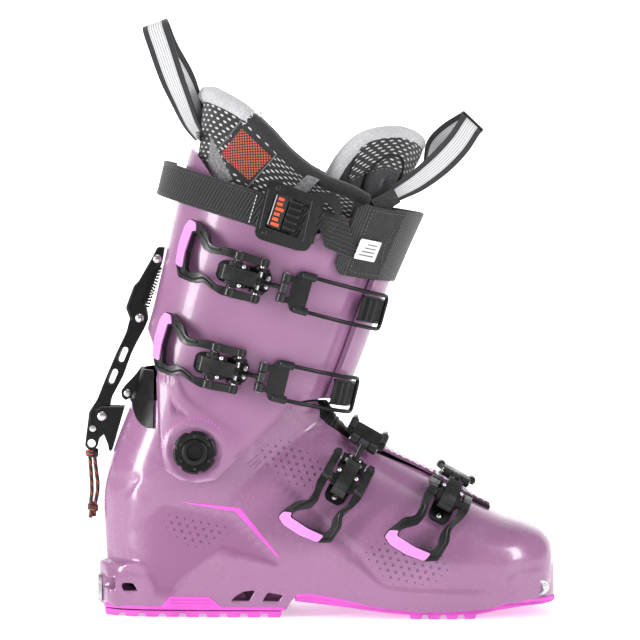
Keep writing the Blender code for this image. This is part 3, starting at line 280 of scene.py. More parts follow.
# %% Shell plastic
def shell_plastic(name, colour, deep, gloss=0.24):
    made = Recipe(name, colour, gloss, Coat_Weight=0.35, Coat_Roughness=0.08, Subsurface_Weight=0.0)
    made.set("IOR", 1.5)
    place = made.place(1.0)
    cloud = made.ramp(made.noise(place, 22, 3), 0.35, 0.7)
    base = made.mix(cloud, tuple(c * 0.965 for c in colour),
                    tuple(min(1, c * 1.03) for c in colour))
    sunk = made.attribute("panel")
    # Sunk places take the deeper colour: the shell's satin heel panel, and the cuff's dent, where the deeper colour
    # is painted shade.
    base = made.mix(sunk, base, deep)
    base = made.mix(made.attribute("accent"), base, MAGENTA)
    dimples = made.attribute("dimple")
    reach = made.ramp(dimples, 0.05, 0.9, 0.35, 1.15, smooth=False)
    far = dimple_height(made)
    hollow = made.math("SUBTRACT", 1.0, made.math("DIVIDE", far, reach), clamp=True)
    hollow = made.math("MULTIPLY", made.ramp(hollow, 0.0, 0.6), made.ramp(dimples, 0.02, 0.12))
    # The bottom of each dimple is painted darker: painted shade in the hollow, over the bump relief.
    base = made.mix(made.math("MULTIPLY", hollow, 0.55), base, tuple(c * 0.45 for c in deep))
    worn = made.wear(0.56, 0.72)
    base = made.mix(made.math("MULTIPLY", worn, 0.2), base, linear(233, 200, 228))
    made.colour(base)
    fine = made.noise(place, 160, 4, 0.6)
    made.roughness(made.math("ADD", made.ramp(fine, 0.3, 0.75, gloss - 0.05, gloss + 0.08),
                             made.math("MULTIPLY", sunk, 0.12)))
    made.bump(made.math("MULTIPLY", hollow, -1.0), 1.0, 0.0007)
    made.bump(made.noise(place, 900, 2), 0.10, 0.00012)
    return made.material

# %% [markdown]
# Everything else that is moulded shares one recipe, with its own colour, gloss and speck.

# %% Plain plastics
def plain_plastic(name, colour, gloss, speck=0.06, edge=None, shine=0.5):
    """Moulded plastic with faint speckle, uneven gloss and rubbed edges."""
    made = Recipe(name, colour, gloss, Specular_IOR_Level=shine)
    place = made.place(1.0)
    cloud = made.ramp(made.noise(place, 60, 3), 0.3, 0.7)
    base = made.mix(cloud, tuple(c * (1 - speck) for c in colour),
                    tuple(min(1, c * (1 + speck)) for c in colour))
    edge = edge or tuple(min(1, c * 1.35 + 0.012) for c in colour)
    made.colour(made.mix(made.math("MULTIPLY", made.wear(0.52, 0.60), 0.6), base, edge))
    made.roughness(made.ramp(made.noise(place, 220, 4, 0.6), 0.3, 0.7, gloss - 0.06, gloss + 0.09))
    made.bump(made.noise(place, 2400, 2), 0.22, 0.00008)
    return made.material

finish = {
    "shell": shell_plastic("shell_gloss", LILAC, DEEP_LILAC),
    "cuff": shell_plastic("cuff_satin", LILAC, DEEP_LILAC, 0.36),
    "pad": plain_plastic("grip_pink", PALE_PINK, 0.38),
    "accent": plain_plastic("accent_magenta", MAGENTA, 0.42),
    "sole": plain_plastic("sole_magenta", MAGENTA, 0.55, 0.1),
    "black": plain_plastic("satin_black", INK, 0.34, 0.15, GREY, 0.3),
    "lever": plain_plastic("lever_black", linear(24, 24, 25), 0.30, 0.12, linear(66, 66, 70), 0.4),
    "rubber": plain_plastic("soft_rubber", linear(16, 16, 17), 0.55, 0.1, None, 0.3),
    "board": plain_plastic("board_grey", linear(120, 120, 124), 0.7, 0.1),
}
print("plastics:", ", ".join(finish))

# %% [markdown]
# ## Metals
# Rivets and the binding's sockets are polished steel with fine turning marks. The buckle
# pins are tan anodised rods. Both get small scratches from a stretched noise.

# %% Metals
def metal(name, colour, gloss, streak=(40, 40, 900)):
    made = Recipe(name, colour, gloss, 1.0)
    place = made.place(1.0)
    stretched = made.node("Mapping", place)
    stretched[0].node.inputs["Scale"].default_value = streak
    lines = made.noise(stretched[0], 1.0, 3)
    made.roughness(made.ramp(lines, 0.3, 0.7, gloss - 0.07, gloss + 0.12))
    made.colour(made.mix(made.ramp(made.noise(place, 120, 3), 0.35, 0.7), colour,
                         tuple(c * 0.82 for c in colour)))
    made.bump(lines, 0.15, 0.00005)
    return made.material

finish["steel"] = metal("polished_steel", (0.74, 0.74, 0.75), 0.22)
finish["bronze"] = metal("tan_pin", linear(176, 160, 148), 0.34)
finish["spring"] = metal("spring_bronze", linear(74, 62, 54), 0.30)

# %% [markdown]
# ## Cloth, webbing and rubber
# A woven strap is told from a painted one by its weave, so each fabric is drawn at its real
# thread size. The flow map's first number runs along the piece and its second across it, in
# millimetres. Sheen gives cloth its soft rim of light. In the webbing, mesh and cord, colour
# is painted lighter where threads rise and darker where they sink: painted highlight and shade.

# %% Fabrics
def pingpong(recipe, value, half):
    return recipe.math("DIVIDE", recipe.math("PINGPONG", value, half), half)

def strap_fabric(name, colour, pitch=2.1, slant=0.28, depth=0.00035, thread=0.55):
    """Webbing with slanted cross ribs and fine warp threads."""
    made = Recipe(name, colour, 0.55, Sheen_Weight=0.3, Sheen_Roughness=0.4)
    flow = made.flow()
    rib = pingpong(made, made.math("ADD", flow["X"], made.math("MULTIPLY", flow["Y"], slant)),
                   pitch / 2)
    warp = pingpong(made, made.math("ADD", flow["Y"], made.math("MULTIPLY", rib, 0.3)), thread / 2)
    high = made.math("ADD", made.ramp(rib, 0.05, 0.85), made.math("MULTIPLY", warp, 0.18))
    cloud = made.ramp(made.noise(made.place(1.0), 90, 4), 0.3, 0.75)
    # Rib tops are painted lighter and the grooves between them darker: painted highlight and painted shade on the
    # weave's relief.
    light = tuple(c * 2.9 + 0.004 for c in colour)
    base = made.mix(made.ramp(rib, 0.15, 0.95), tuple(c * 0.45 for c in colour), light)
    made.colour(made.mix(made.math("MULTIPLY", cloud, 0.4), base, colour))
    made.roughness(made.ramp(rib, 0.0, 1.0, 0.75, 0.48))
    made.bump(high, 1.0, depth)
    return made.material

# %% [markdown]
# The liner's mesh is a knit with staggered oval dots, which show the layer beneath.

# %% Dotted mesh
def dotted_mesh(name, dot, pitch=(6.2, 3.1), radius=(1.45, 0.66)):
    """Black knitted mesh with staggered oval dots that show the layer beneath."""
    made = Recipe(name, linear(20, 20, 22), 0.75, Sheen_Weight=0.35, Sheen_Roughness=0.5)
    flow = made.flow()
    cells = []
    for shift in (0.0, 0.5):
        du = made.math("WRAP", made.math("ADD", made.math("DIVIDE", flow["X"], pitch[0]), shift),
                       0.5, -0.5)
        dv = made.math("WRAP", made.math("ADD", made.math("DIVIDE", flow["Y"], pitch[1] * 2),
                                         shift), 0.5, -0.5)
        du = made.math("MULTIPLY", du, pitch[0] / radius[0])
        dv = made.math("MULTIPLY", dv, 2 * pitch[1] / radius[1])
        cells.append(made.math("SQRT", made.math("ADD", made.math("MULTIPLY", du, du),
                                                 made.math("MULTIPLY", dv, dv))))
    far = made.math("MINIMUM", *cells)
    hole = made.ramp(far, 1.15, 0.85)
    knit_u = pingpong(made, flow["X"], 0.45)
    knit_v = pingpong(made, made.math("ADD", flow["Y"], made.math("MULTIPLY", knit_u, 0.3)), 0.4)
    knit = made.math("MULTIPLY", knit_u, knit_v)
    # The knit's raised loops are painted lighter and its dips darker: painted highlight and shade.
    base = made.mix(knit, linear(9, 9, 10), linear(44, 44, 47))
    made.colour(made.mix(hole, base, dot))
    made.bump(made.math("ADD", knit, made.math("MULTIPLY", hole, -1.5)), 0.9, 0.00035)
    return made.material

# %% [markdown]
# Brushed cloth is mottled yarn, and leatherette is a pebbled grain under a thin gloss.

# %% Brushed cloth and leatherette
def heather_cloth(name, colour, dark=0.72):
    """Brushed cloth with mottled yarn."""
    made = Recipe(name, colour, 0.82, Sheen_Weight=0.5, Sheen_Roughness=0.45)
    place = made.place(1.0)
    yarn = made.ramp(made.noise(place, 700, 3, 0.7), 0.35, 0.65)
    cloud = made.ramp(made.noise(place, 70, 3), 0.35, 0.7)
    base = made.mix(yarn, tuple(c * dark for c in colour), tuple(min(1, c * 1.12) for c in colour))
    made.colour(made.mix(made.math("MULTIPLY", cloud, 0.3), base, tuple(c * 0.85 for c in colour)))
    made.bump(yarn, 0.6, 0.00025)
    return made.material

def grained_leather(name, colour, gloss=0.48):
    made = Recipe(name, colour, gloss, Coat_Weight=0.06)
    place = made.place(1.0)
    cells = made.tree.nodes.new("ShaderNodeTexVoronoi")
    made.tree.links.new(place, cells.inputs["Vector"])
    cells.feature, cells.inputs["Scale"].default_value = "DISTANCE_TO_EDGE", 900
    grain = made.ramp(cells.outputs["Distance"], 0.02, 0.28)
    # The grain's pebbles are painted lighter and the cracks between them darker: painted highlight and shade on the
    # relief.
    base = made.mix(grain, tuple(c * 0.5 for c in colour), tuple(c * 1.3 + 0.004 for c in colour))
    made.colour(made.mix(made.math("MULTIPLY", made.wear(0.52, 0.6), 0.4), base, GREY))
    made.roughness(made.ramp(made.noise(place, 200, 3), 0.3, 0.7, gloss - 0.06, gloss + 0.12))
    made.bump(grain, 0.7, 0.00018)
    return made.material

# %% [markdown]
# The pull loops have black edges and a pale middle, and the cord is a two-way braid.

# %% Loop webbing and cord
def striped_webbing(name):
    """Loop webbing: black twill edges round a pale middle with fine grey lines."""
    made = Recipe(name, (0.5, 0.5, 0.5), 0.7, Sheen_Weight=0.3, Sheen_Roughness=0.4)
    flow = made.flow()
    off = made.math("ABSOLUTE", flow["Y"])
    edge = made.ramp(off, 4.3, 4.7)
    twill = pingpong(made, made.math("ADD", flow["X"], made.math("MULTIPLY", flow["Y"], 1.3)), 0.55)
    lines = pingpong(made, flow["Y"], 0.75)
    pale = made.mix(made.ramp(lines, 0.62, 0.95), linear(232, 232, 234), linear(140, 141, 146))
    pale = made.mix(made.math("MULTIPLY", pingpong(made, flow["X"], 0.4), 0.16), pale,
                    linear(120, 120, 124))
    # The twill's raised ribs are painted lighter and its grooves darker: painted highlight and shade.
    dark = made.mix(twill, linear(10, 10, 11), linear(60, 60, 64))
    made.colour(made.mix(edge, pale, dark))
    made.bump(made.math("ADD", twill, made.math("MULTIPLY", lines, 0.5)), 0.8, 0.0003)
    return made.material

def flecked_cord(name, ground, fleck, pitch=6.4, turns=2):
    """Braided cord. The flow map's second number is the share of a turn round it."""
    made = Recipe(name, ground, 0.7, Sheen_Weight=0.3)
    flow = made.flow()
    along = made.math("DIVIDE", flow["X"], pitch)
    strand_a = pingpong(made, made.math("ADD", made.math("MULTIPLY", flow["X"], 1.1),
                                        made.math("MULTIPLY", flow["Y"], 4.0)), 0.5)
    strand_b = pingpong(made, made.math("SUBTRACT", made.math("MULTIPLY", flow["X"], 1.1),
                                        made.math("MULTIPLY", flow["Y"], 4.0)), 0.5)
    braid = made.math("MAXIMUM", strand_a, strand_b)
    helix = made.math("WRAP", made.math("ADD", along, made.math("MULTIPLY", flow["Y"], turns)), 1.0,
                      0.0)
    spot = made.math("MULTIPLY", made.ramp(helix, 0.30, 0.24), made.ramp(strand_a, 0.25, 0.5))
    # The braid's raised strands are painted lighter and the gaps between them darker: painted highlight and shade.
    base = made.mix(braid, tuple(c * 0.3 for c in ground), tuple(c * 2.2 + 0.01 for c in ground))
    made.colour(made.mix(spot, base, fleck))
    made.bump(braid, 0.9, 0.0003)
    return made.material

# %% [markdown]
# Each cloth finish is one call with its own colour and thread size.

# %% All the cloth finishes
ORANGE = linear(226, 88, 48)
finish.update({
    "strap": strap_fabric("ribbed_webbing", linear(14, 14, 16)),
    "elastic": strap_fabric("ribbed_elastic", linear(26, 26, 28), 1.7, 0.0, 0.0005, 1.4),
    "mesh": dotted_mesh("dotted_mesh", linear(226, 226, 228)),
    "collar": heather_cloth("grey_heather", linear(186, 186, 190), 0.86),
    "heather_trim": heather_cloth("flecked_trim", linear(138, 138, 142), 0.35),
    "heather_dark": heather_cloth("grey_lining", linear(58, 58, 62), 0.6),
    "dark_cloth": heather_cloth("black_cloth", linear(30, 30, 33), 0.6),
    "leather": grained_leather("black_leatherette", linear(21, 21, 23)),
    "loop": striped_webbing("striped_webbing"),
    "cord": flecked_cord("flecked_cord", linear(24, 22, 22), ORANGE),
    "thread": plain_plastic("pale_thread", linear(214, 214, 216), 0.6),
    "dark_thread": plain_plastic("grey_thread", linear(92, 92, 96), 0.6),
    "orange": plain_plastic("orange_print", ORANGE, 0.5),
    "orange_mesh": dotted_mesh("orange_mesh", ORANGE, (2.3, 1.15), (0.56, 0.56)),
})

# %% Floor finish
def floor_finish():
    made = Recipe("pale_floor", (0.9, 0.9, 0.905), 0.6, Emission_Color=(1, 1, 1, 1),
                  Emission_Strength=0.42)
    place = made.place(1.0)
    made.colour(made.mix(made.ramp(made.noise(place, 2.2, 3), 0.3, 0.7), (0.895, 0.895, 0.9),
                         (0.915, 0.915, 0.92)))
    made.roughness(made.ramp(made.noise(place, 30, 3), 0.3, 0.7, 0.55, 0.7))
    return made.material

floor.data.materials.append(floor_finish())
print("finishes:", len(finish))

# %% [markdown]
# ## Shape helpers
# Most pieces are one of four kinds. A *grid* is a skin through rows of points: straps,
# shells and tubes. A *plate* is an outline with thickness, such as a buckle lever. A *turned*
# piece is a profile spun round an axis, such as a rivet. *Stitches* are many small capsules
# along a line. Each helper makes the mesh, rounds its edges with a bevel, gives it its
# finish, and sets it riding on its body.

# %% Curves through tables
def catmull(rows, t):
    """A row between the rows of a table, on a smooth curve, straight beyond its ends."""
    end = min(max(t, 0), len(rows) - 1)
    if t != end:
        near = rows[1] if end == 0 else rows[-2]
        return [a + (a - b) * abs(t - end) for a, b in zip(rows[int(end)], near)]
    i = max(0, min(int(t), len(rows) - 2))
    f = t - i
    before, a, b = rows[max(i - 1, 0)], rows[i], rows[i + 1]
    after = rows[min(i + 2, len(rows) - 1)]
    return [0.5 * (2 * p1 + (p2 - p0) * f + (2 * p0 - 5 * p1 + 4 * p2 - p3) * f * f
                   + (3 * p1 - p0 - 3 * p2 + p3) * f ** 3)
            for p0, p1, p2, p3 in zip(before, a, b, after)]

def ramp(points, x):
    return float(np.interp(x, [p[0] for p in points], [p[1] for p in points]))

def smoothstep(low, high, x):
    f = np.clip((np.asarray(x, float) - low) / (high - low), 0, 1)
    return f * f * (3 - 2 * f)

def smooth_path(points, count):
    return [Vector(catmull([tuple(p) for p in points],
                           (len(points) - 1) * i / count)) for i in range(count + 1)]

# %% Mesh to finished piece
def finish_piece(name, bm, material, body, slot, replaces=(), bevel=0.0, subdivide=0, sharp=35,
                 thick=0.0,
                 offset=-1.0, segments=2):
    """The object for a mesh in millimetres, with its modifiers, finish and body."""
    bmesh.ops.scale(bm, vec=(MM,) * 3, verts=bm.verts)
    mesh = bpy.data.meshes.new(name)
    bm.to_mesh(mesh)
    bm.free()
    mesh.shade_smooth()
    if sharp:
        mesh.set_sharp_from_angle(angle=math.radians(sharp))
    obj = bpy.data.objects.new(name, mesh)
    bpy.context.scene.collection.objects.link(obj)
    for one in (material if isinstance(material, (list, tuple)) else (material,)):
        mesh.materials.append(finish.get(one, one) if isinstance(one, str) else one)
    if thick:
        wall = obj.modifiers.new("thickness", "SOLIDIFY")
        wall.thickness, wall.offset = thick * MM, offset
    if bevel:
        rounded = obj.modifiers.new("rounded", "BEVEL")
        rounded.width, rounded.segments, rounded.limit_method = bevel * MM, segments, "ANGLE"
        rounded.angle_limit, rounded.harden_normals = math.radians(30), True
    if subdivide:
        smooth = obj.modifiers.new("smooth", "SUBSURF")
        smooth.levels = smooth.render_levels = subdivide
    if body:
        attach(obj, body)
    if replaces:
        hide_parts(*([replaces] if isinstance(replaces, str) else replaces))
    return obj

# %% [markdown]
# A skin is a grid of points. Its flow map is measured along the grid, in millimetres, and a
# closed body always faces outward.

# %% Normals, lengths and skins
def outward(bm):
    bmesh.ops.remove_doubles(bm, verts=bm.verts, dist=1e-4)
    bmesh.ops.recalc_face_normals(bm, faces=bm.faces)
    if bm.calc_volume(signed=True) < 0:
        bmesh.ops.reverse_faces(bm, faces=bm.faces)

def lengths_along(points, closed=False):
    total = [0.0]
    for a, b in zip(points, points[1:] + ([points[0]] if closed else [])):
        total.append(total[-1] + (Vector(b) - Vector(a)).length)
    return total

def grid_mesh(grid, ring=False, loop=False, caps=False, across=None, face_out=None):
    """A bmesh skin with its flow map. ring closes each row, and loop closes the rows.
    across sets the flow map's second number for each column, from its first to its last."""
    bm = bmesh.new()
    flow = bm.loops.layers.uv.new("flow")
    rows, columns = len(grid), len(grid[0])
    verts = [[bm.verts.new(p) for p in row] for row in grid]
    middle = columns // 2
    along = lengths_along([row[middle] for row in grid], loop)
    wide = lengths_along(list(grid[rows // 2]), ring)
    if across:
        wide = [across[0] + (across[1] - across[0]) * w / wide[-1] for w in wide]
    for i in range(rows if loop else rows - 1):
        for j in range(columns if ring else columns - 1):
            m, n = (i + 1) % rows, (j + 1) % columns
            corners = [(i, j, i, j), (m, j, i + 1, j), (m, n, i + 1, j + 1), (i, n, i, j + 1)]
            seen = []
            corners = [c for c in corners if not (verts[c[0]][c[1]] in seen or seen.append(verts[c[0]][c[1]]))]
            face = bm.faces.new([verts[a][b] for a, b, _, _ in corners])
            for corner, (_, _, u, v) in zip(face.loops, corners):
                corner[flow].uv = (along[u], wide[v])
    if caps:
        for end in (0, rows - 1):
            bm.faces.new(verts[end] if end else verts[end][::-1])
    bm.normal_update()
    if face_out is not None:
        total = sum((f.normal.dot(f.calc_center_median() - Vector(face_out)) for f in bm.faces))
        if total < 0:
            bmesh.ops.reverse_faces(bm, faces=bm.faces)
    return bm

# %% [markdown]
# A tube is a row of rings carried along a path, so rods, rims and cords are all tubes.

# %% Tubes
def tube_rings(points, radius, sides=12, flat=1.0, hold=None, closed=False, twist=0.0):
    """Rings of points round a path. radius may be a number or a function of the share along."""
    points = [Vector(p) for p in points]
    count, rings, side = len(points), [], None
    for i, p in enumerate(points):
        ahead = points[(i + 1) % count] if closed or i < count - 1 else p
        behind = points[i - 1] if closed or i > 0 else p
        tangent = (ahead - behind).normalized()
        if hold:
            side = (Vector(hold) - tangent * tangent.dot(Vector(hold))).normalized()
        elif side is None:
            side = tangent.orthogonal().normalized()
        else:
            side = (side - tangent * side.dot(tangent)).normalized()
        up = tangent.cross(side)
        r = radius(i / max(1, count - 1)) if callable(radius) else radius
        rings.append([p + side * r * math.cos(a) + up * r * flat * math.sin(a)
                      for a in (2 * math.pi * (k + 0.5) / sides + twist for k in range(sides))])
    return rings

def tube_piece(name, points, radius, material, body, slot, sides=12, flat=1.0, hold=None,
               closed=False,
               replaces=(), ends=True, **more):
    rings = tube_rings(points, radius, sides, flat, hold, closed)
    bm = grid_mesh(rings, ring=True, loop=closed, caps=ends and not closed,
                   across=(0, 1) if flat == 1 else None)
    bmesh.ops.recalc_face_normals(bm, faces=bm.faces)
    return finish_piece(name, bm, material, body, slot, replaces, **more)

# %% [markdown]
# A ribbon is a band with a width and a lean at each step of its path.

# %% Ribbons
def ribbon_piece(name, middle, width, lean, material, body, slot, thick=1.6, replaces=(), bevel=0.5,
                 **more):
    """A flat strap whose middle line and width direction are given."""
    rows = []
    for i, p in enumerate(middle):
        way = Vector(lean[i] if isinstance(lean, list) else lean).normalized()
        half = width[i] / 2 if isinstance(width, list) else width / 2
        rows.append([Vector(p) + way * half * (k / 4 - 1) for k in range(9)])
    bm = grid_mesh(rows, across=(-1, 1))
    half = (max(width) if isinstance(width, list) else width) / 2
    flow = bm.loops.layers.uv["flow"]
    for face in bm.faces:
        for corner in face.loops:
            corner[flow].uv.y *= half
    return finish_piece(name, bm, material, body, slot, replaces, bevel=bevel, thick=thick,
                        offset=0.0, sharp=60, **more)

# %% Plates, turned pieces and stitches
def filled_outline(outline, holes=(), step=2.5):
    """Triangles over an outline with its edges cut into short lengths."""
    bm = bmesh.new()
    edges = []
    for points in (outline, *holes):
        fine = []
        for a, b in zip(points, list(points[1:]) + [points[0]]):
            cuts = max(1, int(math.dist(a, b) / step))
            fine += [(a[0] + (b[0] - a[0]) * k / cuts,
                      a[1] + (b[1] - a[1]) * k / cuts) for k in range(cuts)]
        verts = [bm.verts.new((a, b, 0)) for a, b in fine]
        edges += [bm.edges.new((verts[i - 1], verts[i])) for i in range(len(verts))]
    bmesh.ops.triangle_fill(bm, use_beauty=True, edges=edges)
    for _ in range(2):
        longer = [e for e in bm.edges if e.calc_length() > step * 1.7 and len(e.link_faces) == 2]
        if longer:
            bmesh.ops.subdivide_edges(bm, edges=longer, cuts=1)
            bmesh.ops.triangulate(bm, faces=bm.faces)
    return bm

# %% [markdown]
# A plate is an outline with holes, given a thickness and laid where a function says.

# %% Plates
def plate_mesh(outline, low, high, place, holes=(), step=2.5):
    """An outline of (a, b) points with thickness from low to high. place turns (a, b, c)
    into a point."""
    bm = filled_outline(outline, holes, step)
    flat = bm.verts[:]
    bm.verts.index_update()
    pairs = [(v, bm.verts.new(place(v.co.x, v.co.y, high))) for v in flat]
    top = {low_v: high_v for low_v, high_v in pairs}
    for face in list(bm.faces):
        bm.faces.new([top[v] for v in face.verts])
    for edge in [e for e in bm.edges if e.verts[0] in top and e.verts[1] in top and len(e.link_faces) == 1]:
        a, b = edge.verts
        bm.faces.new((a, b, top[b], top[a]))
    for v, _ in pairs:
        v.co = place(v.co.x, v.co.y, low)
    outward(bm)
    return bm

def plate_piece(name, outline, low, high, place, material, body, slot, holes=(), replaces=(),
                step=2.5, bevel=0.5, **more):
    return finish_piece(name, plate_mesh(outline, low, high, place, holes, step), material, body,
                        slot, replaces,
                        bevel=bevel, **more)

# %% [markdown]
# No moulded corner is sharp, so an outline's corners become short arcs.

# %% Outline helpers
def rounded(outline, radius, steps=4):
    """An outline with its corners rounded by radius."""
    made, count = [], len(outline)
    for i, p in enumerate(outline):
        a, b = outline[i - 1], outline[(i + 1) % count]
        la, lb = math.dist(p, a), math.dist(p, b)
        cut = min(radius, la * 0.45, lb * 0.45)
        start = (p[0] + (a[0] - p[0]) * cut / la, p[1] + (a[1] - p[1]) * cut / la)
        end = (p[0] + (b[0] - p[0]) * cut / lb, p[1] + (b[1] - p[1]) * cut / lb)
        for k in range(steps + 1):
            t = k / steps
            made.append(tuple((1 - t) ** 2 * s + 2 * t * (1 - t) * c + t * t * e for s, c,
                              e in zip(start, p, end)))
    return made

def circle(cx, cy, radius, count=24):
    return [(cx + radius * math.cos(2 * math.pi * i / count),
             cy + radius * math.sin(2 * math.pi * i / count))
            for i in range(count)]

def stadium(ax, ay, bx, by, radius, count=7):
    turn = math.atan2(by - ay, bx - ax)
    points = []
    for (cx, cy), start in (((bx, by), turn - math.pi / 2), ((ax, ay), turn + math.pi / 2)):
        points += [(cx + radius * math.cos(start + math.pi * i / count),
                    cy + radius * math.sin(start + math.pi * i / count)) for i in range(count + 1)]
    return points

# %% [markdown]
# A turned shape is a profile swept round an axis, as a lathe would cut it.

# %% Turned shapes
def add_turned(bm, profile, centre, axis, count=24, shape=None):
    """A turned solid in bm. profile is (radius, distance along axis). shape may vary the
    radius with the angle."""
    axis = Vector(axis).normalized()
    across = axis.orthogonal().normalized()
    up = axis.cross(across)
    rings = []
    for radius, along in profile:
        ring = []
        for i in range(count):
            angle = 2 * math.pi * i / count
            r = radius * (shape(angle, radius) if shape else 1)
            ring.append(bm.verts.new(Vector(centre) + axis * along + (across * math.cos(angle) + up * math.sin(angle)) * r))
        rings.append(ring)
    for a, b in zip(rings, rings[1:]):
        for i in range(count):
            k = (i + 1) % count
            bm.faces.new((a[i], a[k], b[k], b[i]))
    bm.faces.new(rings[0][::-1])
    bm.faces.new(rings[-1])
    return bm

def turned_piece(name, profile, centre, axis, material, body, slot, count=24, replaces=(),
                 shape=None, **more):
    bm = add_turned(bmesh.new(), profile, centre, axis, count, shape)
    outward(bm)
    return finish_piece(name, bm, material, body, slot, replaces, **more)

# %% [markdown]
# A rivet's head is a low dome. Several heads make one piece.

# %% Rivets
DOME = ((0.15, 1.0), (0.45, 0.93), (0.72, 0.72), (0.9, 0.42), (1.0, 0.0))

def rivet_profile(radius, height, dimple=0.0):
    """A domed head from its crown down to its seat."""
    top = [(radius * dimple * 0.6, height * 0.6), (radius * dimple, height)] if dimple else []
    return top + [(radius * r, height * h) for r, h in DOME if r > dimple] + [(radius, -0.4)]

def rivets(name, spots, profile, steps, body, material="steel", slot="steel"):
    """One mesh of domed heads. Each spot is a seat and the direction the head points in."""
    heads = []
    for seat, way in spots:
        head = add_turned(bmesh.new(), profile, seat, way, steps)
        outward(head)
        heads.append(head)
    finish_piece(name, join_meshes(heads), material, body, slot, sharp=0)

# %% [markdown]
# Stitches are short rounded bars, spaced along a line by dashes and gaps.

# %% Stitches and ribs
def capsules(name, spots, length, radius, material, body, slot):
    """One mesh of many small rounded bars, as stitches are. Each spot is a point and the
    direction of its thread."""
    bm = bmesh.new()
    for p, way in spots:
        way = Vector(way).normalized()
        side = way.orthogonal().normalized()
        over = way.cross(side)
        rings = []
        for t, r in ((-0.5, 0.45), (-0.36, 1.0), (0.36, 1.0), (0.5, 0.45)):
            rings.append([bm.verts.new(Vector(p) + way * length * t + (side * math.cos(a) + over * math.sin(a)) * radius * r)
                          for a in (2 * math.pi * k / 6 for k in range(6))])
        for a, b in zip(rings, rings[1:]):
            for k in range(6):
                bm.faces.new((a[k], a[(k + 1) % 6], b[(k + 1) % 6], b[k]))
        bm.faces.new(rings[0][::-1])
        bm.faces.new(rings[-1])
    bmesh.ops.recalc_face_normals(bm, faces=bm.faces)
    return finish_piece(name, bm, material, body, slot, sharp=0)

def dashes(points, length, gap):
    """Evenly spaced spots for stitches along a line of points."""
    along = lengths_along(points)
    spots, s = [], length / 2
    while s < along[-1] - length / 2:
        i = max(k for k in range(len(points) - 1) if along[k] <= s)
        f = (s - along[i]) / max(1e-6, along[i + 1] - along[i])
        spots.append((Vector(points[i]).lerp(Vector(points[i + 1]), f),
                      Vector(points[i + 1]) - Vector(points[i])))
        s += length + gap
    return spots

def side_place(a, b, c):
    """Side view: a is x, b is z and c is y."""
    return Vector((a, c, b))

print("helpers ready")

# %% [markdown]
# ## The lower shell
# The real shell is one thick moulding: a closed foot with a slot down its instep, panels
# pressed a millimetre into its sides, and flat ledges round the heel and toe that the
# bindings grip. It could be sculpted by hand, but the model already says its ribs: each rib
# joins a sole or heel point to an instep point, with its own half-widths and roundness.
# A fine skin through those ribs gives the same body, and the relief is then a height added
# along the skin's normal, read from outlines in side view.

# %% The shell's ribs
# bottom x, z, top x, z, half-width outside and inside, height share of the widest line,
# corner powers below and above it, sideways shift
SHELL_RIBS = (
    (220.5, 16, 220.5, 42, 15, 14, 0.50, 2.6, 2.6, 3.0),
    (219.0, 14, 219.5, 46, 24, 23, 0.48, 2.8, 2.8, 3.0),
    (213.0, 12, 213.5, 52, 35, 33, 0.45, 3.0, 2.8, 2.5),
    (200.0, 10.5, 203.0, 57, 43.5, 42, 0.42, 3.2, 2.6, 2.0),
    (184.0, 8, 188.0, 62, 50, 47.5, 0.38, 3.4, 2.4, 1.5),
    (162.0, 6, 168.0, 72, 53.5, 50.5, 0.34, 3.6, 2.3, 1.0),
    (138.0, 5.5, 145.0, 85.5, 53.5, 51, 0.32, 3.6, 2.2, 0.5),
    (114.0, 7.5, 123.0, 96.5, 50, 48.5, 0.30, 3.5, 2.2, 0.0),
    (92.0, 11.5, 107.0, 104.5, 46.5, 45.5, 0.30, 3.3, 2.2, 0.0),
    (70.0, 15, 97.5, 111.5, 43.5, 43, 0.30, 3.1, 2.2, 0.0),
    (48.0, 10, 91.5, 117.5, 42, 42, 0.32, 3.0, 2.2, 0.0),
    (22.0, 6, 88.0, 121.5, 41, 41, 0.34, 2.9, 2.2, 0.0),
    (-6.0, 5, 86.5, 124.0, 40, 40, 0.36, 2.8, 2.2, 0.0),
    (-34.0, 6, 85.5, 126.0, 40, 40, 0.38, 2.7, 2.2, 0.0),
    (-51.0, 14, 84.5, 127.0, 40, 40, 0.40, 2.6, 2.2, 0.0),
    (-54.5, 31, 84.0, 128.0, 40.5, 40.5, 0.42, 2.4, 2.2, 0.0),
    (-56.0, 52, 83.5, 128.8, 41, 41, 0.44, 2.3, 2.2, 0.0),
    (-56.5, 72, 83.0, 129.4, 41.5, 41.5, 0.45, 2.3, 2.2, 0.0),
    (-53.0, 92, 82.5, 130.0, 41.5, 41.5, 0.45, 2.3, 2.2, 0.0),
    (-45.5, 114, 82.0, 130.5, 41.5, 41.5, 0.45, 2.3, 2.2, 0.0),
    (-38.0, 133, 81.5, 131.0, 41, 41, 0.45, 2.3, 2.2, 0.0),
    (-31.5, 151, 81.0, 147.0, 41, 41, 0.45, 2.3, 2.2, 0.0),
    (-27.0, 169, 80.5, 165.0, 41, 41, 0.45, 2.3, 2.2, 0.0),
)
SLOT_START, SHELL_WALL = 5, 3.5
SLOT_HALF = (0, 9, 14, 16, 17, 17.5, 18, 18)

def row_point(row, side, phi, inset=0.0, floor=None):
    """A point on one rib. phi runs from -90 at its bottom or rear to 90 at its top."""
    bx, bz, tx, tz, outer, inner, wide, low_power, high_power, shift = row
    length = math.hypot(tx - bx, tz - bz)
    power = low_power if phi < 0 else high_power
    across = max(0.0, math.cos(math.radians(phi))) ** (2 / power)
    along = abs(math.sin(math.radians(phi))) ** (2 / power)
    low = (inset if floor is None else floor) / length
    if phi < 0:
        share = wide - (wide - low) * along
    else:
        share = wide + (1 - inset / length - wide) * along
    width = (outer if side < 0 else inner) - inset
    return Vector((bx + (tx - bx) * share, shift + side * width * across, bz + (tz - bz) * share))

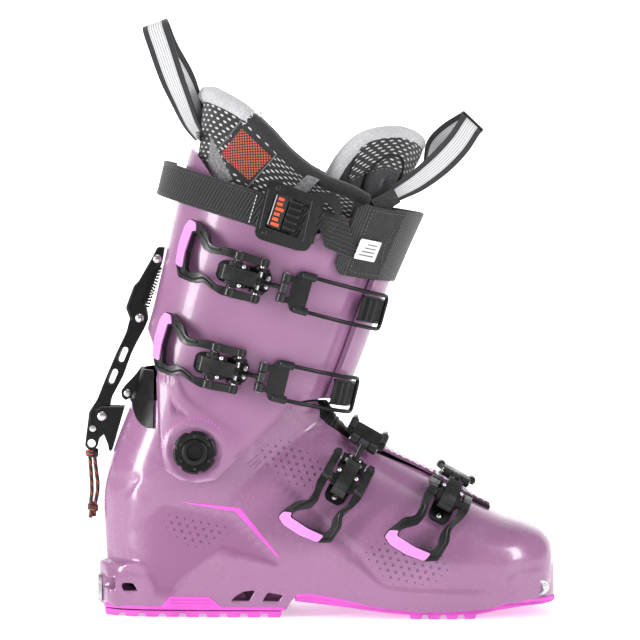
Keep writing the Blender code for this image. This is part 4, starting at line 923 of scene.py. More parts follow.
def rib_point(ribs, t, side, phi, inset=0.0, floor=None):
    return row_point(catmull(ribs, t), side, phi, inset, floor)

def slot_half(t):
    return 0.0 if t <= SLOT_START else ramp([(SLOT_START + i, w) for i, w in enumerate(SLOT_HALF)],
                                            t)

def slot_phi(row, t, side):
    share = min(1.0, slot_half(t) / (row[4] if side < 0 else row[5]))
    return math.degrees(math.acos(min(1.0, share ** (row[8] / 2))))

# %% Outlines of the relief, as (x, z) in side view
HEEL_PANEL = ((-18.3, 70.8), (23.5, 62.3), (53.7, 33.7), (51.2, 31.6), (16.0, 40.5), (-12.6, 17.3),
              (-23.5, 17.3), (-31.0, 30.8), (-33.9, 32.4), (-75, 32.4), (-75, 45), (-34.3, 57.3))
FORE_PANEL = ((63.0, 73.2), (80.2, 53.2), (112.7, 21.6), (116.9, 19.0), (132.6, 17.4),
              (164.1, 16.6),
              (188.2, 16.9), (194.0, 23.8), (199.7, 26.8), (219.6, 29.0), (240, 29.5), (240, 140),
              (20, 140),
              (24, 112), (35.0, 105.3), (35.0, 96.7))
TOE_GROOVE = ((161.0, 48.2), (163.0, 50.2), (176.6, 62.9), (184.5, 62.7), (213.0, 56.0))
INSTEP_CREASE = ((59.2, 128.4), (62.8, 121.9), (68.8, 116.8), (88.1, 105.1))
REAR_CURVE = ((-33.0, 84), (-35.7, 80.8), (-41.7, 73.2), (-44.6, 58.0), (-42.6, 45.3),
              (-40.1, 31.7))
FACET = ((-35.7, 80.8), (-20.4, 70.8), (-34.3, 57.3), (-42.6, 45.3), (-44.6, 58.0), (-41.7, 73.2))
DIMPLE_FIELDS = (
    ((-21, 62), (-14.5, 67.5), (22, 60), (26, 50), (8, 41), (-2, 40), (-18, 52)),
    ((37.5, 104.5), (48.7, 110.5), (58.8, 110.9), (76, 101), (86, 93), (76, 78.5), (63.8, 76.4),
     (37.5, 97.5)),
    ((100.6, 39.0), (107.4, 48.4), (119.4, 53.1), (153.4, 45.1), (160.2, 31.1), (151.4, 23.2),
     (145.1, 19.0),
     (118.9, 20.1)))

# %% [markdown]
# Relief is drawn by distance: how deep a point lies in an outline, or how far from a line.

# %% Distances in side view
def polygon_depth(x, z, outline):
    """How far inside an outline each point lies, negative outside."""
    far = np.full(x.shape, 1e9)
    inside = np.zeros(x.shape, bool)
    for (ax, az), (bx, bz) in zip(outline, outline[1:] + outline[:1]):
        along = np.clip(((x - ax) * (bx - ax) + (z - az) * (bz - az)) / ((bx - ax) ** 2 + (bz - az) ** 2), 0, 1)
        far = np.minimum(far, np.hypot(x - ax - along * (bx - ax), z - az - along * (bz - az)))
        if az != bz:
            inside ^= ((az > z) != (bz > z)) & (x < (bx - ax) * (z - az) / (bz - az) + ax)
    return np.where(inside, far, -far)

def line_distance(x, z, points):
    far = np.full(x.shape, 1e9)
    for (ax, az), (bx, bz) in zip(points, points[1:]):
        along = np.clip(((x - ax) * (bx - ax) + (z - az) * (bz - az)) / ((bx - ax) ** 2 + (bz - az) ** 2), 0, 1)
        far = np.minimum(far, np.hypot(x - ax - along * (bx - ax), z - az - along * (bz - az)))
    return far

def above_line(x, z, points):
    """Signed distance from a line, positive above it."""
    xs, zs = [p[0] for p in points], [p[1] for p in points]
    return (z - np.interp(x, xs, zs)) * 0.8

# %% [markdown]
# Each feature adds or takes away a fraction of a millimetre with a smooth edge.

# %% Relief of the shell
def shell_relief(x, z):
    """Height of the relief in millimetres, with masks for sunk panels and dimple fields."""
    fade = np.maximum(smoothstep(-42, -20, x), smoothstep(44, 34, z))
    heel = smoothstep(0, 2.2, polygon_depth(x, z, HEEL_PANEL)) * fade
    fore = smoothstep(0, 2.0, polygon_depth(x, z, FORE_PANEL))
    fore *= np.maximum(smoothstep(52, 70, x) * smoothstep(118, 100, z),
                       smoothstep(120, 96, z) * smoothstep(30, 38, x))
    fore_fade = 0.35 + 0.65 * smoothstep(60, 22, z) * smoothstep(110, 124, x) * smoothstep(200, 168,
        x)
    near_left = smoothstep(12, 2, line_distance(x, z, ((35, 105.3), (35, 96.7), (63, 73.2), (80.2,
        53.2), (112.7, 21.6))))
    height = -1.3 * heel - 1.7 * fore * np.maximum(fore_fade, near_left)
    height -= 0.45 * smoothstep(1.1, 0.2, line_distance(x, z, TOE_GROOVE))
    height -= 0.35 * smoothstep(-1.0, 1.0, above_line(x, z, INSTEP_CREASE)) * smoothstep(36, 8,
        line_distance(x, z, INSTEP_CREASE))
    height -= 0.7 * smoothstep(0.9, -0.9, x - np.interp(z, [p[1] for p in REAR_CURVE[::-1]],
                                                        [p[0] for p in REAR_CURVE[::-1]])) \
        * smoothstep(92, 82, z) * smoothstep(30, 33, z)
    height += 0.5 * smoothstep(0, 7, polygon_depth(x, z, FACET))
    sunk = heel * smoothstep(-46, -24, x)
    dimple = sum(smoothstep(0.0, 9.0, polygon_depth(x, z, field)) for field in DIMPLE_FIELDS)
    return height, np.clip(sunk, 0, 1), np.clip(dimple, 0, 1)

# %% Square the sole's edge and build the ledges
SOLE_HALF = {LATERAL: ((-57, 17), (-53, 24.5), (-45, 30.5), (-30, 35), (0, 37), (60, 38),
                       (90, 40.5), (120, 44.5), (150, 47),
                       (175, 44.5), (190, 41), (203, 37), (214, 31.5), (221, 22), (224, 9)),
             MEDIAL: ((-57, 17), (-53, 24.5), (-45, 30.5), (-30, 35), (0, 37), (60, 38), (90, 39.5),
                      (120, 43), (150, 45.5),
                      (175, 44.5), (190, 42), (203, 39), (214, 33.5), (220, 26.5), (224, 15))}
SOLE_TOP = ((-60, 5.0), (57, 4.6), (60, 11), (64, 13), (70, 13.9), (78, 12.7), (92, 10.5),
            (114, 6.7), (138, 4.5),
            (162, 5.0), (184, 6.8), (190, 9.3), (224, 10.3))
HEEL_LEDGE_TOP = 32.4
TOE_LEDGE_TOP = ((188, 16.9), (194, 23.8), (199.7, 26.8), (224, 29.2))
HEEL_BACK, TOE_FRONT = -59.6, 223.2

# %% [markdown]
# The ribs are round underneath, but the sole needs an upright edge all the way round.

# %% Push out the welts
def square_edge(points, normals):
    """Pushes the rounded under-edge out to an upright wall and a flat base."""
    x, y, z = points[:, 0].copy(), points[:, 1].copy(), points[:, 2].copy()
    nx, ny, nz = normals.T
    half = np.where(y < 0, np.interp(x, *zip(*SOLE_HALF[LATERAL])),
                    np.interp(x, *zip(*SOLE_HALF[MEDIAL])))
    floor = np.interp(x, *zip(*SOLE_TOP))
    low = smoothstep(30, 24, z) * smoothstep(0.28, 0.62, np.abs(ny))
    y_new = y + np.sign(y) * np.maximum(0, half - np.abs(y)) * low
    z_new = z - np.maximum(0, z - floor) * smoothstep(-0.35, -0.75, nz) * (z < 30)
    # the heel's ledge stands out behind, and the toe's in front
    heel_x = HEEL_BACK + 0.045 * y ** 2 * 0.35 + 0.6 * smoothstep(20, 6, z)
    toe_top = np.interp(x, *zip(*TOE_LEDGE_TOP))
    heel = smoothstep(-0.35, -0.7, nx) * (z < HEEL_LEDGE_TOP) * (x < -30)
    x_new = x + np.minimum(0, heel_x - x) * heel
    toe_x = TOE_FRONT - 0.012 * (y - 3) ** 2
    front = smoothstep(0.3, 0.65, nx) * smoothstep(0.4, -0.4, z - toe_top) * (x > 195)
    x_new = x_new + np.maximum(0, toe_x - x_new) * front
    return np.stack([x_new, y_new, z_new], 1)

def grid_normals(points):
    """Normals of a rows x columns x 3 array of points."""
    du = np.gradient(points, axis=0)
    dv = np.gradient(points, axis=1)
    n = np.cross(du, dv)
    n /= np.maximum(1e-9, np.linalg.norm(n, axis=2, keepdims=True))
    return n

# %% [markdown]
# The skin's rows are spaced closer where the heel ledge steps, so the step stays crisp.
# A second, plainer skin a wall's thickness inside closes the moulding, which shows at the
# slot and the rim. The slots in the heel and the two windows under the arch are cut with
# Boolean modifiers, because a mould makes them with cores that pull straight out sideways.

# %% Build the shell's skin
def spaced(stops):
    """Row numbers from (from, to, count) runs."""
    made = []
    for low, high, count in stops:
        made += [low + (high - low) * i / count for i in range(count)]
    return made + [stops[-1][1]]

def shell_array(ts, columns, inset, floor=None, slot=True):
    grid = []
    for t in ts:
        row, line = catmull(SHELL_RIBS, t), []
        for side, span in ((LATERAL, range(columns + 1)), (MEDIAL, range(columns - 1, -1, -1))):
            top = slot_phi(row, t, side) if slot else 90.0
            for j in span:
                p = row_point(row, side, top - (top + 90) * j / columns, inset, floor)
                p.x -= inset * float(smoothstep(190, 219, p.x))
                line.append(p)
        grid.append(line)
    return np.array(grid)

def toe_closing(first, count=5, reach=1.6):
    """Rows that close the toe in front of the first rib."""
    centre, rows = first.mean(axis=0), []
    for i in range(count):
        share = 0.12 + 0.88 * i / count
        rows.append(centre + (first - centre) * share)
        rows[-1][:, 0] += reach * (1 - share ** 2)
    return np.array(rows)

# %% [markdown]
# The outer skin is squared, smoothed once along the boot, and then raised by the relief.

# %% Shell points
def build_shell():
    ts = spaced(((0.02, 4, 44), (4, 8, 48), (8, 13, 86), (13, 14.6, 26), (14.6, 15.4, 20),
                 (15.4, 20, 44)))
    columns = 88
    outer = shell_array(ts, columns, 0.0)
    outer = np.concatenate([toe_closing(outer[0]), outer])
    inner = shell_array(ts, columns, SHELL_WALL)
    inner = np.concatenate([toe_closing(inner[0], reach=0.8), inner])
    shape = outer.shape
    normals = grid_normals(outer)
    if (normals[60, 10] @ (outer[60, 10] - outer[60].mean(axis=0))) < 0:
        normals = -normals
    flat, flat_n = outer.reshape(-1, 3), normals.reshape(-1, 3)
    squared = square_edge(flat, flat_n)
    grid = squared.reshape(shape)
    grid[1:-1] = 0.25 * grid[:-2] + 0.5 * grid[1:-1] + 0.25 * grid[2:]
    squared = grid.reshape(-1, 3)
    height, sunk, dimple = shell_relief(flat[:, 0], flat[:, 2])
    side = smoothstep(0.35, 0.8, np.abs(flat_n[:, 1]))
    heel_rear = (flat[:, 0] < -30)
    side = np.where(heel_rear & (flat[:, 2] < 90),
                    np.maximum(side, smoothstep(0.2, 0.5, np.abs(flat_n[:, 1]))), side)
    moved = squared + flat_n * (height * side)[:, None]
    return moved.reshape(shape), inner, dict(panel=sunk * side, dimple=dimple * side,
                                             accent=0 * side)

# %% [markdown]
# Two skins with the same rows and columns become one closed wall.

# %% Close two skins
def close_two_skins(outer, inner, masks):
    """One closed body between two arrays of points that share their rows and columns."""
    bm = bmesh.new()
    bm.loops.layers.uv.new("flow")
    layers = {name: bm.verts.layers.float.new(name) for name in masks}
    rows, columns = outer.shape[:2]
    skins = []
    for k, grid in enumerate((outer, inner)):
        verts = []
        for i in range(rows):
            line = []
            for j in range(columns):
                v = bm.verts.new(grid[i, j])
                if k == 0:
                    for name, layer in layers.items():
                        v[layer] = float(masks[name][i * columns + j])
                line.append(v)
            verts.append(line)
        skins.append(verts)
    a, b = skins
    for i in range(rows - 1):
        for j in range(columns - 1):
            bm.faces.new((a[i][j], a[i + 1][j], a[i + 1][j + 1], a[i][j + 1]))
            bm.faces.new((b[i][j], b[i][j + 1], b[i + 1][j + 1], b[i + 1][j]))
    for j in range(columns - 1):
        bm.faces.new((a[-1][j], b[-1][j], b[-1][j + 1], a[-1][j + 1]))
    for i in range(rows - 1):
        for j, turn in ((0, 1), (columns - 1, -1)):
            gap = (outer[i, 0] - outer[i, -1], outer[i + 1, 0] - outer[i + 1, -1])
            if max(np.linalg.norm(g) for g in gap) > 0.02:
                bm.faces.new((a[i][j], b[i][j], b[i + 1][j], a[i + 1][j])[::turn])
    for skin, turn in ((a, 1), (b, -1)):
        bm.faces.new(skin[0][::turn])
    outward(bm)
    return bm

# %% [markdown]
# A cutter is a plate that is taken away and then removed from the scene.

# %% Cutting tools
def cut_away(obj, cutters):
    """Boolean cuts, applied, so that no helper is left behind."""
    for cutter in cutters:
        modifier = obj.modifiers.new("cut", "BOOLEAN")
        modifier.operation, modifier.object, modifier.solver = "DIFFERENCE", cutter, "EXACT"
    apply_modifiers(obj)
    for cutter in cutters:
        bpy.data.objects.remove(cutter)

def apply_modifiers(obj):
    shape = obj.evaluated_get(bpy.context.evaluated_depsgraph_get())
    mesh = bpy.data.meshes.new_from_object(shape)
    old = obj.data
    obj.modifiers.clear()
    obj.data = mesh
    bpy.data.meshes.remove(old)

def cutter(name, outline, low, high, place=side_place, radius=1.2):
    bm = plate_mesh(rounded(outline, radius), low, high, place, step=30)
    return finish_piece(name, bm, "black", None, None, sharp=0)

# %% [markdown]
# The windows and slots are cut on both sides, and the shell then rides on the foot.

# %% Cut the windows and ride
WINDOW_REAR = ((22.7, 9.9), (26.0, 13.3), (31.1, 16.2), (38.0, 16.7), (34.2, 9.9))
WINDOW_FRONT = ((42.0, 9.9), (45.7, 15.6), (55.0, 13.7), (52.2, 9.6))
HEEL_SLOT_REAR = ((-59, 23.9), (-48.1, 23.7), (-48.1, 16.5), (-58.6, 16.9))
HEEL_SLOT_SIDE = ((-44.1, 19.9), (-42.8, 20.8), (-37.2, 20.7), (-33.8, 15.7), (-42.8, 15.6),
                  (-44.1, 17.1))

outer_skin, inner_skin, shell_masks = build_shell()
shell = finish_piece("shell_body", close_two_skins(outer_skin, inner_skin, shell_masks), "shell",
                     None, None, sharp=50)
cuts = []
for side in (LATERAL, MEDIAL):
    for i, outline in enumerate((WINDOW_REAR, WINDOW_FRONT)):
        cuts.append(cutter(f"window_{i}", outline, side * 28, side * 60))
    cuts.append(cutter("slot_side", HEEL_SLOT_SIDE, side * 22, side * 60))
    cuts.append(cutter("slot_rear", HEEL_SLOT_REAR, side * 13.5, side * 60))
cut_away(shell, cuts)
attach(shell, "foot")
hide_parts("lower_shell")
print("shell faces:", len(shell.data.polygons))

# %% [markdown]
# ## Joining shapes and laying thin pieces on others
# A moulded fitting is often one piece with several features. Each feature is made on its
# own, and then they are joined into one mesh that takes one finish.

# %% Join meshes
def join_meshes(parts):
    """One bmesh from several."""
    whole = bmesh.new()
    for part in parts:
        mesh = bpy.data.meshes.new("part")
        part.to_mesh(mesh)
        part.free()
        whole.from_mesh(mesh)
        bpy.data.meshes.remove(mesh)
    return whole

def face_touch(x, z, side=LATERAL, tree=None):
    """The y of a skin at a place in side view."""
    hit = tree.ray_cast(Vector((x, side * 200, z)), Vector((0, -side, 0)))[0]
    return hit.y if hit else side * 30.0

def tree_of(obj):
    """A tree of an object's finished faces, in millimetres."""
    shape = obj.evaluated_get(bpy.context.evaluated_depsgraph_get()).to_mesh()
    points = [v.co / MM for v in shape.vertices]
    return BVHTree.FromPolygons(points, [p.vertices[:] for p in shape.polygons])

shell_tree = tree_of(shell)

def decal_piece(name, outline, material, body, slot, tree, side=LATERAL, lift=0.25, sink=0.8,
                step=2.0, corner=1.0, **more):
    """A thin inlay that follows a skin, from an outline in side view."""
    place = lambda a, b, c: Vector((a, face_touch(a, b, side, tree) + side * c, b))
    bm = plate_mesh(rounded(outline, corner), -sink, lift, place, step=step)
    return finish_piece(name, bm, material, body, slot, sharp=40, **more)

# %% [markdown]
# ## Sole units
# A touring sole is soft rubber-like plastic in two parts, heel and forefoot, with lugs that
# bite into ice. Each is lofted from stations along its length: every lug has sloping flanks,
# so that snow falls out, and grooves between. The edge line that shows from the side is a
# separate thin strip that curves up round the toe.

# %% Soles
SOLE_HEEL_WIDTH = ((-57, 16), (-53, 24), (-45, 30), (-30, 34.5), (0, 36.5), (60, 37.5))
SOLE_OUTER = ((62, 37.5), (90, 40), (120, 44), (150, 46.5), (175, 44), (200, 36), (214, 28),
              (220, 20), (223, 8))
SOLE_INNER = ((62, 37.5), (90, 39), (120, 42.5), (150, 45), (175, 44), (200, 39), (214, 32),
              (220, 25), (223, 14))
SOLE_UPPER = ((62, 12.6), (70, 13.6), (78, 12.4), (92, 10.2), (114, 6.4), (138, 4.2), (162, 4.7),
              (184, 6.5), (190, 9), (223.5, 10))
SOLE_LOW = ((62, 10), (78, 8.3), (98, 6), (114, 4), (126, 2.8), (176, 3), (184, 4.5), (200, 6.5),
            (223.5, 7.5))

# %% [markdown]
# A sole is lofted through stations, and its lugs are stations that step down and up again.

# %% Sole shapes
def sole_loft(stations, columns=14):
    """A bar of stations: x, low z, high z, outer y, inner y, with a chamfer at the ground."""
    bm = bmesh.new()
    rows = []
    for x, low, high, outer, inner in stations:
        nip = min(1.2, max(0.2, (high - low) * 0.35))
        ring = [(outer, high), (outer - 0.35, low + nip)]
        ring += [(outer + nip + (inner - outer - 2 * nip) * k / columns,
                  low) for k in range(columns + 1)]
        ring += [(inner + 0.35, low + nip), (inner, high)]
        rows.append([bm.verts.new((x, y, z)) for y, z in ring])
    for a, b in zip(rows, rows[1:]):
        for k in range(len(a)):
            m = (k + 1) % len(a)
            bm.faces.new((a[k], a[m], b[m], b[k]))
    bm.faces.new(rows[0][::-1])
    bm.faces.new(rows[-1])
    outward(bm)
    return bm

def tread(start, end, pitch, groove, depth, wide, upper):
    stations, x = [], start
    while x < end - 0.5:
        stop = min(x + pitch - groove, end)
        for at, low in ((x, depth), (x + 0.9, 0.0), (stop - 0.9, 0.0), (stop, depth)):
            outer, inner = wide(at)
            stations.append((at, low, upper(at), -outer, inner))
        x += pitch
    return stations

heel_wide = lambda x: (ramp(SOLE_HEEL_WIDTH, x),) * 2
fore_wide = lambda x: (ramp(SOLE_OUTER, x), ramp(SOLE_INNER, x))
finish_piece("heel_tread", sole_loft(tread(-55, 57.5, 12.5, 3.5, 2.3, heel_wide, lambda x: 4.0)),
             "sole", "foot", "sole",
             "heel_sole", bevel=0.35)
front = tread(132, 176, 11, 3, 2.6, fore_wide, lambda x: ramp(SOLE_UPPER, x))
ends = [(x, ramp(SOLE_LOW, x), ramp(SOLE_UPPER, x), -ramp(SOLE_OUTER, x), ramp(SOLE_INNER, x))
        for x in (62, 66, 70, 74, 78, 83, 88, 93, 98, 106, 114, 122, 128, 180, 184, 188, 192, 196,
                  200, 203, 206, 209,
                  211.5, 214, 216, 218, 220, 221.5, 223)]
stations = sorted(front + ends, key=lambda s: s[0])
finish_piece("fore_tread", sole_loft(stations), "sole", "foot", "sole", "fore_sole", bevel=0.35)

# %% [markdown]
# A thin bright edge runs along each sole, where it meets the shell.

# %% Sole edges
def sole_edge(name, points, body="foot"):
    """The raised magenta line round the sole's upper edge."""
    tube_piece(name, points, 1.1, "sole", body, "sole", sides=8, flat=0.7, hold=(0, 0, 1))

for side in (LATERAL, MEDIAL):
    table = SOLE_HALF[side]
    line = [Vector((x, side * (ramp(table, x) - 0.2),
                    ramp(SOLE_TOP, x) + 0.9)) for x in np.linspace(-55, 56, 40)]
    sole_edge(f"heel_edge_{'inner' if side > 0 else 'outer'}", line)
    line = [Vector((x, side * (ramp(table, x) - 0.4),
                    ramp(SOLE_UPPER, x) + 0.7)) for x in np.linspace(63, 221, 60)]
    sole_edge(f"fore_edge_{'inner' if side > 0 else 'outer'}", line)
    tag = "inner" if side > 0 else "outer"
    decal_piece(f"heel_grip_patch_{tag}", ((-21, 5.6), (-14.3, 12.9), (9.6, 12.9), (18, 5.6)),
                "sole", "foot", "sole",
                shell_tree, side, lift=0.45)
    for k in range(3):
        z = 7.3 + 2.0 * k
        decal_piece(f"heel_grip_rib_{tag}_{k}",
                    ((-16 + k, z), (-15.4 + k, z + 0.9), (11.4 - k, z + 0.9), (12.4 - k, z)),
                    "accent", "foot", "sole", shell_tree, side, lift=0.8, corner=0.3)
    decal_piece(f"heel_accent_{tag}", ((-9, 71.7), (28.7, 67.6), (52.5, 38.4), (51.2, 37.9), (25.8,
        65.4), (-2, 70.2)),
                "accent", "foot", "shell", shell_tree, side, lift=0.2, corner=0.4)

# %% [markdown]
# ## Binding fittings
# A pin binding holds the boot by two steel cups in the toe and a slotted steel plate in the
# heel. The cups are turned, with a deep dimple for the pin, and sit in a small bright plate
# with an irregular outline that is moulded into the toe.

# %% Toe cups and heel plate
TOE_CUP_MIDDLE = 1.65
bars = []
for side in (LATERAL, MEDIAL):
    bars.append(add_turned(bmesh.new(), ((1.0, -2.0), (1.6, -2.4), (3.1, -0.2), (4.4, 0.4), (4.9,
        0.0), (4.9, -6.0)),
                           (211, TOE_CUP_MIDDLE + side * 33.9, 18.2), (0, side, 0), 32))
for bar in bars:
    outward(bar)
finish_piece("toe_cups", join_meshes(bars), "steel", "foot", "steel", "toe_insert", sharp=40)
for side in (LATERAL, MEDIAL):
    plate = ((205.8, 15.2), (206.6, 21.6), (212.6, 23.0), (217.4, 21.2), (218.6, 16.8),
             (215.4, 13.6), (208.6, 13.4))
    place = lambda a, b, c, s=side: Vector((a, 1.65 + s * (33.9 + c) - s * 0.10 * (a - 206), b))
    plate_piece(f"toe_plate_{'inner' if side > 0 else 'outer'}", rounded(plate, 1.6), -4.0, -0.35,
                place, "steel", "foot",
                "steel", holes=[circle(211, 18.2, 4.7)], bevel=0.4)
heel_plan = rounded([(-12.6, 7.0), (12.6, 7.0), (13.2, 12), (12.6, 24.0), (-12.6, 24.0),
                     (-13.2, 12)], 1.6)
at_heel = lambda a, b, c: Vector((-60.9 + c + 0.012 * a * a * 0.6, a, b))
holes = [rounded([(s * 6 - 2.2, 11), (s * 6 + 2.2, 11), (s * 6 + 2.2, 20), (s * 6 - 2.2, 20)],
                 1.0) for s in (-1, 1)]
plate_piece("heel_plate", heel_plan, 0.0, 2.3, at_heel, "steel", "foot", "steel",
            holes=holes + [circle(0, 9.4, 1.5, 16), circle(0, 21.6, 1.5, 16)],
            replaces="heel_insert", bevel=0.35)
print("fittings ready")

# %% [markdown]
# ## The instep: rubber gasket, overlap and seal
# Where the shell is slotted, a soft rubber gasket keeps snow out, and the inner side's flap
# laps over it. The gasket is a fine skin just under the slot with shallow cross ribs, which
# let it fold. The flap is a thin tongue of shell plastic with a ribbed edge.

# %% Gasket and flap
def gasket_skin(ts, columns, lift):
    grid = []
    for t in ts:
        row, ribs = [], catmull(SHELL_RIBS, t)
        for j in range(columns + 1):
            w = 2 * j / columns - 1
            side = LATERAL if w < 0 else MEDIAL
            width = ribs[4] if side < 0 else ribs[5]
            across = abs(w) * (slot_half(t) + 4.5)
            phi = math.degrees(math.acos((across / width) ** (ribs[8] / 2)))
            free = slot_half(t) - 1.5
            tuck_in = 0.4 + 4.15 * float(smoothstep(free - 6, free, across))
            ridge = 0.35 * math.sin(t * 9.0) * float(smoothstep(free, free - 5, across))
            row.append(row_point(ribs, side, phi, tuck_in - lift - ridge))
        grid.append(row)
    return grid

# %% [markdown]
# Seals and overlaps are thin, so they are built as the space between two close skins.

# %% A body between two skins
def between_skins(outer, inner):
    """A closed body between two grids of the same size."""
    bm = bmesh.new()
    flow = bm.loops.layers.uv.new("flow")
    along = lengths_along([row[len(row) // 2] for row in outer])
    wide = lengths_along(outer[len(outer) // 2])
    skins = [[[bm.verts.new(p) for p in row] for row in grid] for grid in (outer, inner)]
    rows, columns = len(outer), len(outer[0])
    for k, verts in enumerate(skins):
        for i in range(rows - 1):
            for j in range(columns - 1):
                corners = ((i, j), (i + 1, j), (i + 1, j + 1), (i, j + 1))
                face = bm.faces.new([verts[a][b] for a, b in corners][::1 if k == 0 else -1])
                for corner, (a, b) in zip(face.loops, corners[::1 if k == 0 else -1]):
                    corner[flow].uv = (along[a], wide[b])
    a, b = skins
    rim = [(i, 0) for i in range(rows)] + [(rows - 1, j) for j in range(1, columns)]
    rim += [(i, columns - 1) for i in range(rows - 2, -1, -1)] + [(0, j) for j in range(columns - 2,
        0, -1)]
    for (i, j), (m, n) in zip(rim, rim[1:] + rim[:1]):
        face = bm.faces.new((a[m][n], a[i][j], b[i][j], b[m][n]))
        for corner, (p, q) in zip(face.loops, ((m, n), (i, j), (i, j), (m, n))):
            corner[flow].uv = (along[p], wide[q])
    bmesh.ops.recalc_face_normals(bm, faces=bm.faces)
    if bm.calc_volume(signed=True) < 0:
        bmesh.ops.reverse_faces(bm, faces=bm.faces)
    return bm

ts = [5.4 + 14.3 * i / 160 for i in range(161)]
finish_piece("instep_seal", between_skins(gasket_skin(ts, 24, 0.0), gasket_skin(ts, 24, -1.6)),
             "rubber", "foot", "rubber",
             "instep_gasket", bevel=0.3)

# %% [markdown]
# The inner overlap crosses the slot under the buckles, and its outer edge is finely ribbed.

# %% Overlap and lip
def flap_skin(ts, columns, lift, ribbed=False):
    grid = []
    for t in ts:
        row, ribs = [], catmull(SHELL_RIBS, t)
        for j in range(columns + 1):
            y = -10 + 42 * j / columns
            side = LATERAL if y < 0 else MEDIAL
            width = ribs[4] if side < 0 else ribs[5]
            phi = math.degrees(math.acos(min(1.0, abs(y) / width) ** (ribs[8] / 2)))
            comb = 0.45 * (math.sin(t * 34) > 0.2) * float(smoothstep(-3.5, -5.5,
                y)) if ribbed else 0
            row.append(row_point(ribs, side, phi, -lift + comb))
        grid.append(row)
    return grid

ts = [4.3 + 3.1 * i / 110 for i in range(111)]
finish_piece("instep_overlap", between_skins(flap_skin(ts, 40, 3.6, True), flap_skin(ts, 40, 1.2)),
             "shell", "foot", "shell",
             "instep_flap", bevel=0.35)
lip = []
for i in range(37):
    t = 4.3 + 0.9 * i / 36
    lip.append(rib_point(SHELL_RIBS, t, LATERAL,
                         math.degrees(math.acos((12.2 / catmull(SHELL_RIBS, t)[4]) ** 1.2)), -0.9))
tube_piece("instep_lip", lip, lambda f: 1.5 + 1.4 * math.sin(math.pi * min(1, f * 1.2)) ** 0.7,
           "rubber", "foot", "rubber",
           sides=10, flat=0.55, hold=(0, 1, 0))
print("instep ready")

# %% [markdown]
# ## Inside the shell
# A stiff board lies on the shell's floor, and the liner's foot stands on it with a loose
# footbed. They're mostly hidden, but they're seen from above through the shaft. The sock of
# the liner is a fine skin through the shell's ribs, a few millimetres inside its wall, and
# an angled cut opens it where the leg enters.

# %% Board, footbed and the liner's foot
BOARD_ROWS = ((-35, 12.9, 8), (-28, 11.9, 13), (0, 11.6, 15), (30, 13.0, 16), (48, 16.4, 16),
              (60, 19.2, 17), (70, 20.2, 18),
              (80, 19.0, 18), (92, 16.6, 19), (114, 12.6, 24), (138, 10.6, 27), (162, 11.0, 27),
              (184, 13.2, 23), (192, 15.2, 15))
BED_ROWS = ((-24, 23.6, 9), (-18, 22.8, 11), (0, 23.0, 14), (30, 25.0, 15), (48, 28.4, 16),
            (60, 32.0, 17), (70, 33.0, 17),
            (80, 31.8, 18), (92, 29.6, 18), (114, 26.2, 21), (138, 24.6, 24), (162, 25.0, 24),
            (180, 27.4, 20), (187, 29.6, 13))

def inner_sole(name, rows, thick, material, slot, node):
    upper, under = [], []
    for i in range(61):
        x, z, half = catmull(rows, (len(rows) - 1) * i / 60)
        upper.append([Vector((x, half * w, z + thick)) for w in np.linspace(-1, 1, 13)])
        under.append([Vector((x, half * w, z)) for w in np.linspace(-1, 1, 13)])
    finish_piece(name, between_skins(upper, under), material, "foot", slot, node, bevel=0.6)

inner_sole("heel_to_toe_board", BOARD_ROWS, 2.4, "board", "foam", "boot_board")
inner_sole("soft_footbed", BED_ROWS, 2.2, "collar", "collar", "footbed")

rows = [1.5 + 17.5 * i / 90 for i in range(91)]
sock_outer = shell_array(rows, 26, 7.0, 12.0, slot=False)
sock_inner = shell_array(rows, 26, 11.4, 16.6, slot=False)
sock = finish_piece("liner_sock", close_two_skins(sock_outer, sock_inner, {}), "dark_cloth", None,
                    None)
cut_away(sock, [cutter("sock_opening", ((-80, 97), (120, 118), (120, 200), (-80, 200)), -80, 80)])
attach(sock, "foot")
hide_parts("liner_foot")
print("inside ready")

# %% [markdown]
# ## The cuff
# The cuff is a second moulding that turns on the shell at the ankle. It wraps the leg: its
# outer flap tucks under its inner flap at the shin, so it opens for the foot. The same kind
# of ribs describe it, now square to the shin, and its upper and lower edges are lines in
# side view. One column of points is made for each direction round the leg, which puts the
# points exactly on both edges.

# %% The cuff's ribs and edges
CUFF_RIBS = (
    (-49.0, 95, 66.0, 61, 47.5, 47.5, 0.50, 2.4, 2.3, 0.0),
    (-43.5, 118, 76.0, 88, 49.0, 49.0, 0.50, 2.4, 2.3, 0.0),
    (-38.0, 141, 85.0, 112, 48.5, 48.5, 0.50, 2.4, 2.3, 0.0),
    (-32.5, 164, 94.0, 135, 48.5, 48.5, 0.50, 2.4, 2.3, 0.0),
    (-26.2, 187, 103.0, 158, 50.0, 50.0, 0.50, 2.4, 2.3, 0.0),
    (-20.6, 210, 112.0, 182, 52.5, 52.5, 0.50, 2.4, 2.3, 0.0),
    (-15.2, 233, 121.0, 205, 55.0, 55.0, 0.50, 2.4, 2.3, 0.0),
    (-9.6, 257, 130.0, 226, 57.0, 57.0, 0.50, 2.4, 2.3, 0.0),
    (-4.0, 280, 139.0, 246, 58.5, 58.5, 0.50, 2.4, 2.3, 0.0),
    (2.0, 300, 147.0, 264, 59.0, 59.0, 0.50, 2.4, 2.3, 0.0),
)
CUFF_LOWER = ((-70, 179), (-29, 176), (-25, 168), (-21.5, 150), (-20, 104), (-17, 92), (-8, 86),
              (3, 84), (14, 86),
              (29, 101), (57, 128), (66, 133.5), (84, 134), (100, 129))
CUFF_UPPER = ((-20, 286), (-2, 288), (5, 280), (16, 264), (45, 252), (64, 236), (76, 235),
              (90, 244), (104, 246), (150, 236))
CUFF_START, CUFF_END, CUFF_WALL, FLAP_TUCK = -168, 214, 3.2, 4.2
PIVOT_X, PIVOT_Z = 1.5, 102.7

